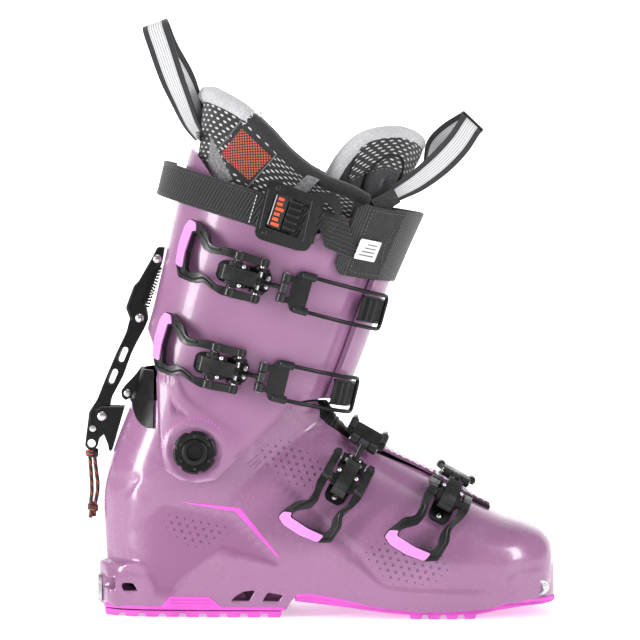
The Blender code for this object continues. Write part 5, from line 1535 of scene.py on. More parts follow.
def round_point(ribs, k, turn, inset=0.0):
    """A point round the leg: turn is degrees from the rear, outer side negative."""
    if turn > 180:
        return rib_point(ribs, k, LATERAL, 270 - turn, inset)
    return rib_point(ribs, k, LATERAL if turn < 0 else MEDIAL, abs(turn) - 90, inset)

def height_on(ribs, turn, line, inset=0.0):
    """The rib number at which the surface crosses a line of z against x in side view."""
    low, high = -1.5, len(ribs) + 1.0
    for _ in range(26):
        mid = (low + high) / 2
        p = round_point(ribs, mid, turn, inset)
        low, high = (mid, high) if p.z < ramp(line, p.x) else (low, mid)
    return (low + high) / 2

def band_grid(ribs, turns, lower, upper, rows, inset_of):
    columns = []
    for turn in turns:
        inset = inset_of(turn)
        low, high = height_on(ribs, turn, lower, inset), height_on(ribs, turn, upper, inset)
        columns.append([round_point(ribs, low + (high - low) * i / rows, turn,
                                    inset) for i in range(rows + 1)])
    return columns

def tuck(turn):
    return FLAP_TUCK * float(smoothstep(-125, -140, turn))

# %% [markdown]
# The cuff's sides carry a raised, rounded frame round the ankle, a deep triangular dent above
# it and a soft groove that sweeps up and back. Its lower edge has a thin bright bead, where
# the mould's parting line was polished. These are heights along the normal, as on the shell.

# %% Cuff skin
CUFF_DENT = ((-12.6, 125.7), (-12.6, 133.8), (0.5, 123.7))
CUFF_PANEL = ((-25, 150), (-7.5, 144.9), (-5.3, 138.8), (-1.5, 133.8), (13.5, 122.7), (22.6, 116.6),
              (27.6, 111.1), (28.6, 104.5),
              (24, 96), (12, 82), (-25, 82))

def cuff_relief(x, z, edge):
    """Height of the relief, given the distance to the cuff's nearest edge."""
    panel = smoothstep(-1.2, 1.6, polygon_depth(x, z, CUFF_PANEL))
    height = 1.3 * panel
    height -= 1.5 * smoothstep(-0.6, 2.2, polygon_depth(x, z, CUFF_DENT))
    ring = np.hypot(x - PIVOT_X, z - PIVOT_Z)
    height += 0.7 * smoothstep(19.5, 17.2, ring) - 1.6 * smoothstep(15.6, 14.0, ring)
    height -= 0.35 * smoothstep(1.4, 0.0, np.abs(edge - 3.4))
    height += 0.25 * smoothstep(2.4, 0.6, edge)
    return height

# %% [markdown]
# The cuff is the band between its two edges, closed by a plainer skin inside.

# %% Cuff body
def build_cuff():
    turns = [CUFF_START + (CUFF_END - CUFF_START) * i / 230 for i in range(231)]
    outer = np.array(band_grid(CUFF_RIBS, turns, CUFF_LOWER, CUFF_UPPER, 96, tuck))
    inner = np.array(band_grid(CUFF_RIBS, turns, CUFF_LOWER, CUFF_UPPER, 96,
                               lambda turn: tuck(turn) + CUFF_WALL))
    normals = grid_normals(outer)
    middle = outer.mean(axis=(0, 1))
    if ((normals * (outer - middle)).sum() < 0):
        normals = -normals
    x, z = outer[..., 0], outer[..., 2]
    low_edge = np.linalg.norm(outer - outer[:, :1], axis=2)
    high_edge = np.linalg.norm(outer - outer[:, -1:], axis=2)
    ends = np.minimum(np.linalg.norm(outer - outer[:1], axis=2),
                      np.linalg.norm(outer - outer[-1:], axis=2))
    edge = np.minimum(np.minimum(low_edge, high_edge), ends)
    side = smoothstep(0.4, 0.8, np.abs(normals[..., 1]))
    moved = outer + normals * (cuff_relief(x, z, edge) * side)[..., None]
    masks = dict(panel=0 * x.ravel(), dimple=0 * x.ravel(), accent=0 * x.ravel())
    # The dent is painted deep lilac: painted shade in the recess.
    masks["panel"] = (smoothstep(-0.4, 1.0, polygon_depth(x, z, CUFF_DENT)) * side).ravel() * 0.8
    return moved, inner, masks

cuff_outer, cuff_inner, cuff_masks = build_cuff()
bm = close_two_skins(cuff_outer, cuff_inner, cuff_masks)
cuff = finish_piece("cuff_body", bm, "cuff", None, None, sharp=50)
holes = []
for side in (LATERAL, MEDIAL):
    bm = add_turned(bmesh.new(), ((6.2, 0), (6.2, 40)), (PIVOT_X, side * 28, PIVOT_Z), (0, side, 0),
                    32)
    outward(bm)
    holes.append(finish_piece("pivot_hole", bm, "black", None, None, sharp=0))
cut_away(cuff, holes)
edge = cuff.modifiers.new("rounded", "BEVEL")
edge.width, edge.segments, edge.limit_method, edge.angle_limit = 0.5 * MM, 2, "ANGLE", math.radians(45)
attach(cuff, "shaft")
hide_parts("cuff")
cuff_tree = tree_of(cuff)
print("cuff faces:", len(cuff.data.polygons))

# %% [markdown]
# ## Ankle pivots
# Each pivot is a black knob with a rim and six finger notches, and a socket for the key
# that sets the cuff's angle. A ring of fine marks round it shows how far it is turned;
# the knob is turned, with its radius dipped at each notch.

# %% Pivots
def notched(angle, radius):
    if radius < 11:
        return 1.0
    dip = max(0.0, math.cos(angle * 6) - 0.72) / 0.28
    return 1 - 0.085 * dip ** 0.7

for side, tag in ((LATERAL, "outer"), (MEDIAL, "inner")):
    axis = (0, side, 0)
    profile = ((5.6, 36.5), (5.6, 50.2), (12.6, 50.2), (13.2, 50.9), (13.2, 52.2), (12.7, 53.0),
               (11.9, 53.3), (11.5, 52.9),
               (8.4, 52.7), (7.9, 53.9), (7.2, 54.5), (5.0, 54.6), (4.6, 54.1), (4.4, 52.2),
               (0.5, 52.0))
    turned_piece(f"pivot_knob_{tag}", profile, (PIVOT_X, 0, PIVOT_Z), axis, "black", "foot",
                 "black", 96,
                 f"pivot_{'lateral' if side < 0 else 'medial'}", notched, sharp=40)
    rim = ((13.5, 50.0), (14.7, 50.0), (14.9, 50.7), (14.5, 51.1), (13.6, 51.0))
    turned_piece(f"pivot_washer_{tag}", ((5.5, 35.0), (8.0, 35.0), (8.0, 36.3), (5.6, 36.4)),
                 (PIVOT_X, 0, PIVOT_Z), axis,
                 "black", "foot", "black", 32, sharp=40)
    spots = []
    for k in range(22):
        if k == 0:
            continue
        angle = math.radians(40 + 6.5 * k)
        x, z = PIVOT_X + 20.6 * math.cos(angle), PIVOT_Z + 20.6 * math.sin(angle)
        y = face_touch(x, z, side, cuff_tree)
        spots.append(((x, y + side * 0.05, z), (math.cos(angle), 0, math.sin(angle))))
    capsules(f"pivot_scale_{tag}", spots, 1.7, 0.28, "accent", "shaft", "shell")
    bm = bmesh.new()
    for k in range(6):
        angle = math.radians(60 * k + 30)
        at = Vector((PIVOT_X + 9.9 * math.cos(angle), side * 52.95,
                     PIVOT_Z + 9.9 * math.sin(angle)))
        add_turned(bm, ((0.3, 0.25), (0.9, 0.2), (1.0, -0.2)), at, axis, 10)
    outward(bm)
    finish_piece(f"pivot_studs_{tag}", bm, "lever", "foot", "black")
print("pivots ready")

# %% [markdown]
# ## Buckles
# Each of the four buckles works the same way. A forked lever hinges on a base that is
# riveted to the boot. A pin through the lever's middle carries a small block with a screw,
# and the screw holds a hinged plate with a wire loop, which drops behind a tooth of a rack.
# The whole chain follows the curve of the boot, so it is drawn flat, as distances along,
# across and out, and a wrapping line then bends it over the skin.

# %% The line a buckle follows
class Wrap:
    """A skin cut by a buckle's mid-plane. s is the distance along from the pin's foot, v
    across and n outwards."""

    def __init__(self, tree, aim, angle, sink, back=62, ahead=118):
        lean = math.radians(angle)
        self.e2 = Vector((math.cos(lean), 0, math.sin(lean)))
        self.v = Vector((-math.sin(lean), 0, math.cos(lean)))
        hit = tree.ray_cast(Vector((aim[0], -200, aim[1])), Vector((0, 1, 0)))[0]
        centre = Vector((hit.x, 0, hit.z)) - self.e2 * sink
        first = math.degrees(math.atan2((hit - centre).dot(self.e2), -(hit - centre).y))
        rays = []
        for i in range(61):
            beta = math.radians(first - back + (back + ahead) * i / 60)
            rays.append(Vector((0, -math.cos(beta), 0)) + self.e2 * math.sin(beta))
        lines = []
        for shift in (-9.0, 0.0, 9.0):
            line = []
            for ray in rays:
                found = tree.ray_cast(centre + self.v * shift + ray * 160, -ray)[0]
                line.append((found - self.v * shift - centre).dot(ray) if found else 0)
            lines.append(line)
        reach = [max(column) for column in zip(*lines)]
        for _ in range(2):
            reach = [(reach[max(i - 1, 0)] + 2 * r + reach[min(i + 1, 60)]) / 4 for i,
                     r in enumerate(reach)]
        self.points = [centre + ray * r for ray, r in zip(rays, reach)]
        self.along = lengths_along(self.points)
        nearest = min(range(61), key=lambda i: (self.points[i] - hit).length)
        self.along = [a - self.along[nearest] for a in self.along]

    def at(self, s):
        i = 0
        while i < 59 and self.along[i + 1] < s:
            i += 1
        f = (s - self.along[i]) / (self.along[i + 1] - self.along[i])
        return self.points[i].lerp(self.points[i + 1], f)

    def frame(self, s):
        tangent = (self.at(s + 3) - self.at(s - 3)).normalized()
        return self.at(s), tangent, self.v.cross(tangent).normalized() * -1

    def point(self, s, v, n):
        foot, _, out = self.frame(s)
        return foot + self.v * v + out * n

# %% [markdown]
# A buckle follows a skin without relief, so a groove beneath it doesn't bend it.

# %% Skins to follow
def plain_skin(kind):
    """A skin without openings or relief, in millimetres, where the buckles lie."""
    if kind == "cuff":
        grid = [[round_point(CUFF_RIBS, k * 0.25, turn) for k in range(-2,
            40)] for turn in range(-180, 181, 4)]
    else:
        grid = []
        for t in [i * 0.2 for i in range(101)]:
            row = []
            for turn in range(-180, 181, 4):
                side = LATERAL if turn < 0 else MEDIAL
                p = rib_point(SHELL_RIBS, t, side, abs(turn) - 90)
                over = 3.8 * float(smoothstep(-18, -11, p.y) * smoothstep(42, 35,
                    p.y) * smoothstep(108, 118, abs(turn))
                                   * smoothstep(3.6, 4.1, t))
                row.append(rib_point(SHELL_RIBS, t, side, abs(turn) - 90, -over))
            grid.append(row)
    width = len(grid[0])
    polys = [(i * width + j, i * width + j + 1, (i + 1) * width + j + 1, (i + 1) * width + j)
             for i in range(len(grid) - 1) for j in range(width - 1)]
    return BVHTree.FromPolygons([p for row in grid for p in row], polys)

skins = {kind: plain_skin(kind) for kind in ("cuff", "shell")}

# %% [markdown]
# The lever is one forged-looking frame: two arms that join in a wide grip. Its outline is
# filled, given thickness and bevelled, then bent to the line. A raised rim follows its edge,
# and the arms end in barrels that the pins pass through. The coloured grip pad is a separate
# softer piece, pressed into the top.

# %% Lever, grip and pins
LEVER_OUTLINE = (
    (3.0, -14.2), (-3.5, -14.2), (-6.5, -13.4), (-9.9, -12.2), (-16.0, -9.6), (-21.4, -12.3),
                 (-32.5, -11.6),
    (-36.4, -4.5), (-38.3, 7.7), (-37.4, 19.5), (-34.8, 24.6), (-30.6, 23.9), (-21.0, 19.3),
                 (-17.6, 13.6),
    (-11.6, 13.0), (-6.2, 14.6), (3.0, 14.2), (17.5, 13.4), (17.5, 9.2), (-9.0, 9.2), (-15.5, 8.0),
                 (-20.5, 9.3),
    (-26.8, 17.0), (-30.6, 17.4), (-31.6, 5.0), (-29.4, -5.6), (-24.8, -7.0), (-20.6, -5.2),
                 (-15.0, -5.6),
    (-9.0, -8.8), (17.5, -9.2), (17.5, -13.4))
GRIP_OUTLINE = ((-30.2, 23.2), (-34.5, 24.0), (-37.0, 19.2), (-37.8, 7.7), (-36.2, -4.2),
                (-31.0, -5.6), (-31.9, 5.0),
                (-31.0, 18.0), (-28.2, 18.2))
LEVER_HALF, HINGE_S, HINGE_N, PIN_HEIGHT = 2.2, 14.0, 5.2, 9.6

def lever_mid(s):
    return ramp(((-40, 4.6), (-30, 5.2), (-18, 8.2), (-5, PIN_HEIGHT), (3, PIN_HEIGHT - 0.4),
                 (14, HINGE_N)), s)

def bar(start, end, radius, count=20, nip=0.35):
    """A rod between two points with chamfered ends, as its own mesh."""
    start, end = Vector(start), Vector(end)
    long = (end - start).length
    bm = add_turned(bmesh.new(), ((radius - nip, 0), (radius, nip), (radius, long - nip),
                                  (radius - nip, long)), start,
                    end - start, count)
    outward(bm)
    return bm

# %% [markdown]
# The lever is a plate that follows its skin, with ribs, a coloured pad and two pins.

# %% Make a lever
def make_lever(name, wrap):
    v = wrap.v
    curved = lambda a, b, c: wrap.point(a, b, lever_mid(a) + c)
    body = f"{name}_lever"
    pin, hinge = wrap.point(0, 0, PIN_HEIGHT), wrap.point(HINGE_S, 0, HINGE_N)
    parts = [plate_mesh(rounded(LEVER_OUTLINE, 1.6, 3), -LEVER_HALF, LEVER_HALF, curved, step=3.0)]
    for side in (LATERAL, MEDIAL):
        parts.append(bar(pin + v * side * 8.9, pin + v * side * 13.9, 3.5))
        parts.append(bar(hinge + v * side * 8.9, hinge + v * side * 13.9, 3.1))
    finish_piece(f"{name}_lever_frame", join_meshes(parts), "lever", body, "black", body,
                 bevel=0.55, segments=3, sharp=40)
    rim = [wrap.point(s, b, lever_mid(s) + LEVER_HALF + 0.1) for s, b in
           rounded([(-8.5, -11.2), (-15.8, -7.0), (-21.6, -10.2), (-31.4, -9.6), (-34.6, -4.0)],
                   2.0, 5)]
    rim_top = [wrap.point(s, b, lever_mid(s) + LEVER_HALF + 0.1) for s, b in
               rounded([(-9.5, 11.4), (-16.5, 10.8), (-22.0, 15.6), (-27.0, 18.6)], 2.0, 5)]
    for tag, line in (("low", rim), ("high", rim_top)):
        tube_piece(f"{name}_lever_rib_{tag}", line, 0.75, "black", body, "black", sides=8, flat=0.8)
    on_top = lambda a, b, c: wrap.point(a, b, lever_mid(a) + LEVER_HALF + c)
    plate_piece(f"{name}_grip_pad", rounded(GRIP_OUTLINE, 1.4), -0.3, 1.2, on_top, "pad", body,
                "pad",
                replaces=f"{name}_grip", step=2.5, bevel=0.5, segments=3)
    spots = []
    for k in range(7):
        b = -2.2 + k * 3.4
        spots.append((on_top(-34.2 - 0.6 * math.sin(k / 2), b, 1.25), wrap.frame(-34)[1]))
    capsules(f"{name}_grip_ribs", spots, 3.2, 0.35, "pad", body, "pad")
    rods = [bar(pin - v * 13.4, pin + v * 13.4, 1.5, nip=0.5)]
    finish_piece(f"{name}_pin_rod", join_meshes(rods), "bronze", body, "bronze", f"{name}_pin",
                 sharp=40)
    spots = [(at + v * side * 13.7, v * side) for side in (LATERAL, MEDIAL) for at in (pin, hinge)]
    rivets(f"{name}_pin_heads", spots, rivet_profile(2.3, 0.8), 20, body, "bronze", "bronze")
    return pin, hinge

# %% [markdown]
# The base is a flat foot with two ears and rivets. The block on the pin is chamfered like a
# small anvil, a fine thread joins it to the swivel, and the wire loop is one bent rod.

# %% Base, adjuster, bail and rack
def make_base(name, wrap, body, hinge):
    v = wrap.v
    low = lambda a, b, c: wrap.point(a, b, c)
    foot = [(-12, -4), (-12, 4), (-9, 6.6), (19, 6.6), (21, 4), (21, -4), (19, -6.6), (-9, -6.6)]
    parts = [plate_mesh(rounded(foot, 1.5), 0.6, 2.9, low, step=3)]
    for side in (LATERAL, MEDIAL):
        ear = [(HINGE_S - 5.0, 1.4), (HINGE_S + 5.0, 1.4), (HINGE_S + 3.2, HINGE_N + 1.6),
               (HINGE_S, HINGE_N + 2.8),
               (HINGE_S - 3.2, HINGE_N + 1.6)]
        parts.append(plate_mesh(rounded(ear, 1.2), side * 5.6, side * 7.9, lambda a, b,
                                c: wrap.point(a, c, b), step=3))
    finish_piece(f"{name}_base_plate", join_meshes(parts), "black", body, "black", f"{name}_base",
                 bevel=0.4, sharp=40)
    finish_piece(f"{name}_hinge_rod", bar(hinge - v * 13.4, hinge + v * 13.4, 1.4), "steel", body,
                 "steel", sharp=40)
    spots = [(wrap.point(s, b, 2.8), wrap.frame(s)[2]) for s,
             b in ((-8.5, 0), (19.0, -2.6), (19.0, 2.6))]
    rivets(f"{name}_base_rivets", spots, rivet_profile(1.7, 0.9), 20, body)

# %% [markdown]
# The adjuster turns on the lever's pin, and its thread ends in a small swivel.

# %% Make an adjuster
def make_adjuster(name, wrap, pin):
    v = wrap.v
    body = f"{name}_bail"
    _, tangent, out = wrap.frame(0)
    at_pin = lambda a, b, c: pin + tangent * a + out * b + v * c
    block = [(-9, -1.2), (-7.6, -2.7), (-2, -2.9), (15, -0.6), (15, 3.4), (9, 4.3), (0, 4.3),
             (-6.6, 3.4), (-9, 1.2)]
    swivel = wrap.point(29, 0, 6.4)
    bore = circle(0, 0, 1.85, 20)
    parts = [plate_mesh(rounded(block, 0.8), -4.4, 4.4, at_pin, holes=[bore], step=3)]
    finish_piece(f"{name}_adjuster_block", join_meshes(parts), "lever", body, "black",
                 f"{name}_adjuster", bevel=0.55,
                 segments=2, sharp=40)
    start = at_pin(12, 1.4, 0)
    long = (swivel - start).length
    profile, at = [(1.1, 0)], 0.6
    while at < long - 1.0:
        profile += [(1.15, at), (1.65, at + 0.45)]
        at += 0.9
    profile.append((1.1, long))
    thread = add_turned(bmesh.new(), profile, start, swivel - start, 20)
    outward(thread)
    finish_piece(f"{name}_thread", join_meshes([thread, bar(swivel - v * 3.2, swivel + v * 3.2,
        2.7)]), "lever", body,
                 "black", sharp=40)
    collars = [bar(at_pin(15.0, 1.4, 0), at_pin(17.4, 1.4, 0), 2.6)]
    for side in (LATERAL, MEDIAL):
        collars.append(bar(at_pin(0, 0, side * 4.6), at_pin(0, 0, side * 8.4), 3.1))
        clamp = [(-4.5, -2.2), (-4.5, 2.4), (3.6, 3.9), (8.6, 2.6), (8.6, -0.8), (2.0, -2.9)]
        collars.append(plate_mesh(rounded(clamp, 0.9), side * 4.7, side * 6.9, at_pin, step=3))
    finish_piece(f"{name}_clamps", join_meshes(collars), "black", body, "black", bevel=0.35,
                 sharp=40)
    spots = [(at_pin(5.2, 3.6, side * 5.8), out) for side in (LATERAL, MEDIAL)]
    rivets(f"{name}_clamp_rivets", spots, rivet_profile(1.35, 0.8), 18, body)
    return swivel

# %% [markdown]
# The wire loop starts at the swivel's plate, and a toothed rack waits beneath its far end.

# %% Make a bail and rack
def make_bail(name, wrap, swivel, reach, base_body):
    v = wrap.v
    body = f"{name}_bail"
    curved = lambda a, b, c: wrap.point(a, b, c)
    plate = [(33.5, -8), (36, -12.6), (44, -12.6), (44, 12.6), (36, 12.6), (33.5, 8)]
    parts = [plate_mesh(rounded(plate, 1.2), 3.8, 6.8, curved, step=3)]
    for side in (LATERAL, MEDIAL):
        parts.append(bar(swivel + v * side * 3.6, swivel + v * side * 9.0, 2.9))
        arm = [(29, side * 4.4), (29, side * 8.4), (36, side * 8.4), (36, side * 4.4)]
        parts.append(plate_mesh(rounded(arm, 0.6), 4.6, 7.2, curved, step=3))
        parts.append(bar(wrap.point(37.5, side * 10.6, 5.6), wrap.point(46.0, side * 10.6, 5.6),
                         2.5))
    finish_piece(f"{name}_bail_plate", join_meshes(parts), "lever", body, "black", body, bevel=0.45,
                 sharp=40)
    spots = [(swivel + v * side * 8.9, v * side) for side in (LATERAL, MEDIAL)]
    rivets(f"{name}_swivel_heads", spots, rivet_profile(1.9, 0.7, 0.4), 20, body)
    corner = [(reach - 1.6, -10.6), (reach + 0.7, -10.1), (reach + 1.9, -8.6), (reach + 2.3, -6.4)]
    flat = [(41 + (reach - 43) * i / 16, -10.6) for i in range(17)] + corner
    flat += [(reach + 2.3, b) for b in (-3.0, 0.0, 3.0)] + [(s, -b) for s, b in reversed(corner)]
    flat += [(41 + (reach - 43) * i / 16, 10.6) for i in range(16, -1, -1)]
    tube_piece(f"{name}_wire", [wrap.point(s, b, 5.6) for s, b in flat], 1.25, "black", body,
               "black", sides=14)
    start = max(reach - 17, 46)
    low = lambda a, b, c: wrap.point(a, c, b)
    teeth = [(start + (reach + 9 - start) * i / 8, 1.0) for i in range(9)] + [(reach + 9, 1.9)]
    for i in range(int((reach + 6.5 - start) / 6) + 1):
        s = reach + 6.5 - 6.0 * i
        teeth += [(s + 0.4, 3.8), (s - 1.0, 3.8), (s - 3.0, 2.0)]
    teeth.append((start, 1.9))
    rack = [plate_mesh(teeth, -6.8, 6.8, low, step=3.5)]
    for side in (LATERAL, MEDIAL):
        cuts = 8
        line = [(start - 0.8 + (reach + 10.4 - start) * i / cuts, 0.8) for i in range(cuts + 1)]
        line += [(s, 2.9) for s, _ in reversed(line)]
        rack.append(plate_mesh(line, side * 6.7, side * 7.9, low, step=6))
    finish_piece(f"{name}_tooth_rack", join_meshes(rack), "black", base_body, "black",
                 f"{name}_rack", bevel=0.3, sharp=35)

# %% [markdown]
# The four buckles differ only in where they sit, what carries them and how far they reach.

# %% Four buckles
BUCKLES = (
    # name, skin, carried by, place of the pin's foot in side view, lean, sink, reach
    ("cuff_upper", "cuff", "shaft", (26.5, 211.3), -15.7, 0, 98),
    ("cuff_lower", "cuff", "shaft", (12.6, 155.8), -13.4, 0, 94),
    ("instep", "shell", "foot", (90.3, 81.7), 60.4, 28, 71),
    ("toe", "shell", "foot", (151.6, 66.8), 61.6, 30, 65),
)
for name, kind, carrier, aim, angle, sink, reach in BUCKLES:
    wrap = Wrap(skins[kind], aim, angle, sink)
    pin, hinge = make_lever(name, wrap)
    make_base(name, wrap, carrier, hinge)
    swivel = make_adjuster(name, wrap, pin)
    make_bail(name, wrap, swivel, reach, carrier)
    print(name, "pin at", [round(c, 1) for c in pin])

# %% [markdown]
# ## The power strap
# A wide strap pulls the cuff and the liner's tongue together. At the rear and outer side it
# is ribbed webbing that runs through a black cam hook, and at the front it is elastic that
# ends in a leatherette patch with a metal badge. Webbing is flat and doesn't swell, so it is
# a thin skin round the cuff's ribs, and its weave follows a map of millimetres along and
# across. Its slack stands off the rear in a loop.

# %% Webbing
STRAP_LEAN, STRAP_MIDDLE_Z, STRAP_HALF = -0.311, 262.7, 11.0
STRAP_SLACK, STRAP_SLACK_TURN = 11.0, 62

def strap_line(shift):
    return ((-60, STRAP_MIDDLE_Z + shift - STRAP_LEAN * 60),
            (160, STRAP_MIDDLE_Z + shift + STRAP_LEAN * 160))

def strap_lift(turn, lift):
    return -lift - STRAP_SLACK * float(smoothstep(STRAP_SLACK_TURN, 10, abs(turn)))

def strap_band(name, first, last, count, low, high, lift, material, body, thick, replaces=(),
               rows=8, slot="webbing", **more):
    """A strip round the cuff between two shifts from the strap's middle line."""
    turns = [first + (last - first) * i / count for i in range(count + 1)]
    grid = band_grid(CUFF_RIBS, turns, strap_line(low), strap_line(high), rows,
                     lambda turn: strap_lift(turn, lift))
    bm = grid_mesh(grid, across=(low, high))
    return finish_piece(name, bm, material, body, slot, replaces, bevel=0.3, thick=thick,
                        offset=0.0, sharp=60, **more)

strap_band("power_strap", -92, 20, 110, -STRAP_HALF, STRAP_HALF, 1.9, "strap", "shaft", 1.9,
           "strap_webbing")
for tag, at in (("high", 9.6), ("low", -9.6)):
    strap_band(f"strap_edge_{tag}", -92, 20, 110, at - 1.0, at + 1.0, 2.75, "dark_cloth", "shaft",
               0.7, rows=2)

# %% [markdown]
# The webbing's free end is doubled, sewn with a pale line of thread, and printed with plain
# orange bars. Then the hook: a frame whose inner edge grips the strap, with a raised rim, a
# folded tab and a cam bar.

# %% Folded end, stitches and print
strap_band("strap_fold", -100, -90.5, 18, -10.6, 10.6, 3.6, "strap", "shaft", 2.4)
def strap_spot(turn, shift, lift):
    k = height_on(CUFF_RIBS, turn, strap_line(shift), strap_lift(turn, lift))
    return round_point(CUFF_RIBS, k, turn, strap_lift(turn, lift))

seam = [strap_spot(-74.5, -9.6 + 19.2 * i / 12, 3.15) for i in range(13)]
capsules("strap_seam", dashes(seam, 1.7, 0.55), 1.7, 0.3, "thread", "shaft", "webbing")
seam = [strap_spot(-78.0, -9.6 + 19.2 * i / 12, 3.15) for i in range(13)]
capsules("strap_seam_b", dashes(seam, 1.7, 0.55), 1.7, 0.3, "dark_thread", "shaft", "webbing")

print("webbing ready")

# %% Hook
HOOK_OUTLINE = ((46, 267.5), (50, 268), (72, 259.5), (80, 260.5), (86.5, 259.5), (90.5, 254),
                (90.5, 247.5), (86.5, 246),
                (85, 252), (81.5, 254.8), (78.5, 253), (73, 230), (69.5, 225.2), (64, 225.5),
                (40.5, 232.5), (38, 236))
HOOK_WINDOW = ((44, 240), (64.5, 233), (71.5, 253), (51, 261))
cuff_face = lambda x, z: face_touch(x, z, LATERAL, skins["cuff"])
on_cuff = lambda a, b, c: Vector((a, cuff_face(a, b) - c, b))
plate_piece("hook_frame", rounded(HOOK_OUTLINE, 2.2), 3.2, 7.0, on_cuff, "lever", "shaft", "black",
            holes=[rounded(HOOK_WINDOW, 1.6)], replaces="strap_hook", bevel=0.8, segments=3, step=4)
for tag, (a, b) in {"rear": ((47.2, 262.6), (41.6, 238.6)),
                    "front": ((73.6, 255.4), (68.0, 231.2))}.items():
    line = [on_cuff(a[0] + (b[0] - a[0]) * i / 8, a[1] + (b[1] - a[1]) * i / 8,
                    7.2) for i in range(9)]
    tube_piece(f"hook_rim_{tag}", line, 0.9, "black", "shaft", "black", sides=8, flat=0.7,
               hold=(1, 0, 0))
def window_spot(along, up, out):
    """A place in the hook's slanted window: shares along and up, and millimetres out."""
    a = 44.6 + 20.2 * along + (6.8 * up)
    b = 240.6 - 6.9 * along + 20.6 * up
    return on_cuff(a, b, out)

def window_plate(name, along, up, out, material, thick=0.4, bevel=0.15, columns=10):
    grid = [[window_spot(a, b, out) for b in np.linspace(*up, 7)] for a in np.linspace(*along,
        columns)]
    return finish_piece(name, grid_mesh(grid, across=(0, 18)), material, "shaft", "webbing",
                        thick=thick, offset=0.0, bevel=bevel)

window_plate("hook_label", (0.02, 0.42), (0.0, 0.98), 4.6, "leather", 1.6, 0.4)
window_plate("hook_label_edge", (0.03, 0.06), (0.05, 0.93), 5.5, "thread", 0.3, 0.1, 3)
for k in range(6):
    low = 0.07 + 0.145 * k
    wide = 0.17 if k % 3 else 0.24
    window_plate(f"hook_label_bar_{k}", (0.12, 0.12 + wide), (low, low + 0.09), 5.5, "orange", 0.3,
                 0.1, 4)
window_plate("hook_cam", (0.46, 0.84), (0.04, 0.98), 4.9, "black", 1.6, 0.4)
for k in range(5):
    up = 0.12 + 0.19 * k
    line = [window_spot(f, up, 5.9) for f in np.linspace(0.47, 0.83, 8)]
    tube_piece(f"hook_cam_rib_{k}", line, 0.8, "lever", "shaft", "black", sides=8)
window_plate("hook_slot", (0.87, 0.99), (0.06, 0.96), 4.2, "black", 0.8, 0.3, 4)

spots = [(on_cuff(x, z, 6.9), (0, -1, 0)) for x, z in ((52.6, 263.4), (44.0, 236.4))]
rivets("hook_rivets", spots, rivet_profile(1.8, 0.9), 20, "shaft", "lever", "black")

# %% [markdown]
# At the front the strap is elastic on the inner side and at the hook, and a stiff leatherette
# patch at the shin. The patch is sewn all round with a fine dashed line and a cross in a box,
# which is how a load-bearing strap end is always sewn.

# %% Elastic and patch
FRONT_UPPER = ((60, 252), (76, 248), (88, 246), (106, 253), (120, 250), (160, 244))
FRONT_LOWER = ((60, 230), (84, 225), (89, 211), (104, 208), (124, 205), (160, 200))
INNER_LOWER = ((-60, 250), (30, 232), (60, 218), (124, 205), (160, 200))
INNER_UPPER = ((-60, 280), (30, 262), (60, 254), (120, 250), (160, 244))

def front_grid(first, last, count, rows, inset, shares=(0, 1)):
    grid = []
    for i in range(count + 1):
        turn = first + (last - first) * i / count
        low = FRONT_LOWER if turn > 181 else INNER_LOWER
        high = FRONT_UPPER if turn > 181 else INNER_UPPER
        k0, k1 = height_on(CUFF_RIBS, turn, low, inset), height_on(CUFF_RIBS, turn, high, inset)
        grid.append([round_point(CUFF_RIBS,
                                 k0 + (k1 - k0) * (shares[0] + (shares[1] - shares[0]) * j / rows),
                                 turn, inset)
                     for j in range(rows + 1)])
    return grid

def front_spot(turn, share, inset):
    return front_grid(turn, turn, 1, 1, inset, (share, share))[0][0]

bm = grid_mesh(front_grid(46, 214.5, 150, 10, -1.8), across=(-19, 19))
finish_piece("strap_elastic", bm, "elastic", "shaft", "webbing", "strap_front", bevel=0.4,
             thick=1.7, offset=0.0, sharp=60)
bm = grid_mesh(front_grid(214, 245.5, 50, 12, -2.0), across=(-19, 19))
finish_piece("strap_patch", bm, "leather", "shaft", "webbing", bevel=0.6, segments=3, thick=2.2,
             offset=0.0, sharp=60)
bm = grid_mesh(front_grid(238.8, 246.2, 12, 12, -2.2), across=(-19, 19))
finish_piece("strap_patch_end", bm, "elastic", "shaft", "webbing", bevel=0.5, thick=2.4, offset=0.0,
             sharp=60)

def hook_strip(name, ends, lift, material, thick, ribs=0, **more):
    """A strip over the cuff between two upright ends in side view: (x, low z, high z)."""
    (xa, la, ha), (xb, lb, hb) = ends
    grid = []
    for i in range(21):
        f = i / 20
        x, low, high = xa + (xb - xa) * f, la + (lb - la) * f, ha + (hb - ha) * f
        grid.append([on_cuff(x - 0.28 * (z - low), z,
                             lift + (0.55 * math.sin(2 * math.pi * ribs * (z - low) / (high - low)) if ribs else 0))
                     for z in np.linspace(low, high, 49)])
    return finish_piece(name, grid_mesh(grid, across=(-11, 11)), material, "shaft", "webbing",
                        thick=thick, offset=0.0, bevel=0.3,
                        **more)

hook_strip("hook_elastic", ((80.5, 228, 251), (101, 219, 245)), 3.4, "dark_cloth", 1.5, ribs=8)

def patch_line(corners, closed=True):
    points = []
    ends = corners + corners[:1] if closed else corners
    for (ta, sa), (tb, sb) in zip(ends, ends[1:]):
        points += [front_spot(ta + (tb - ta) * k / 8, sa + (sb - sa) * k / 8,
                              -3.25) for k in range(8)]
    return points + [front_spot(*ends[-1], -3.25)]

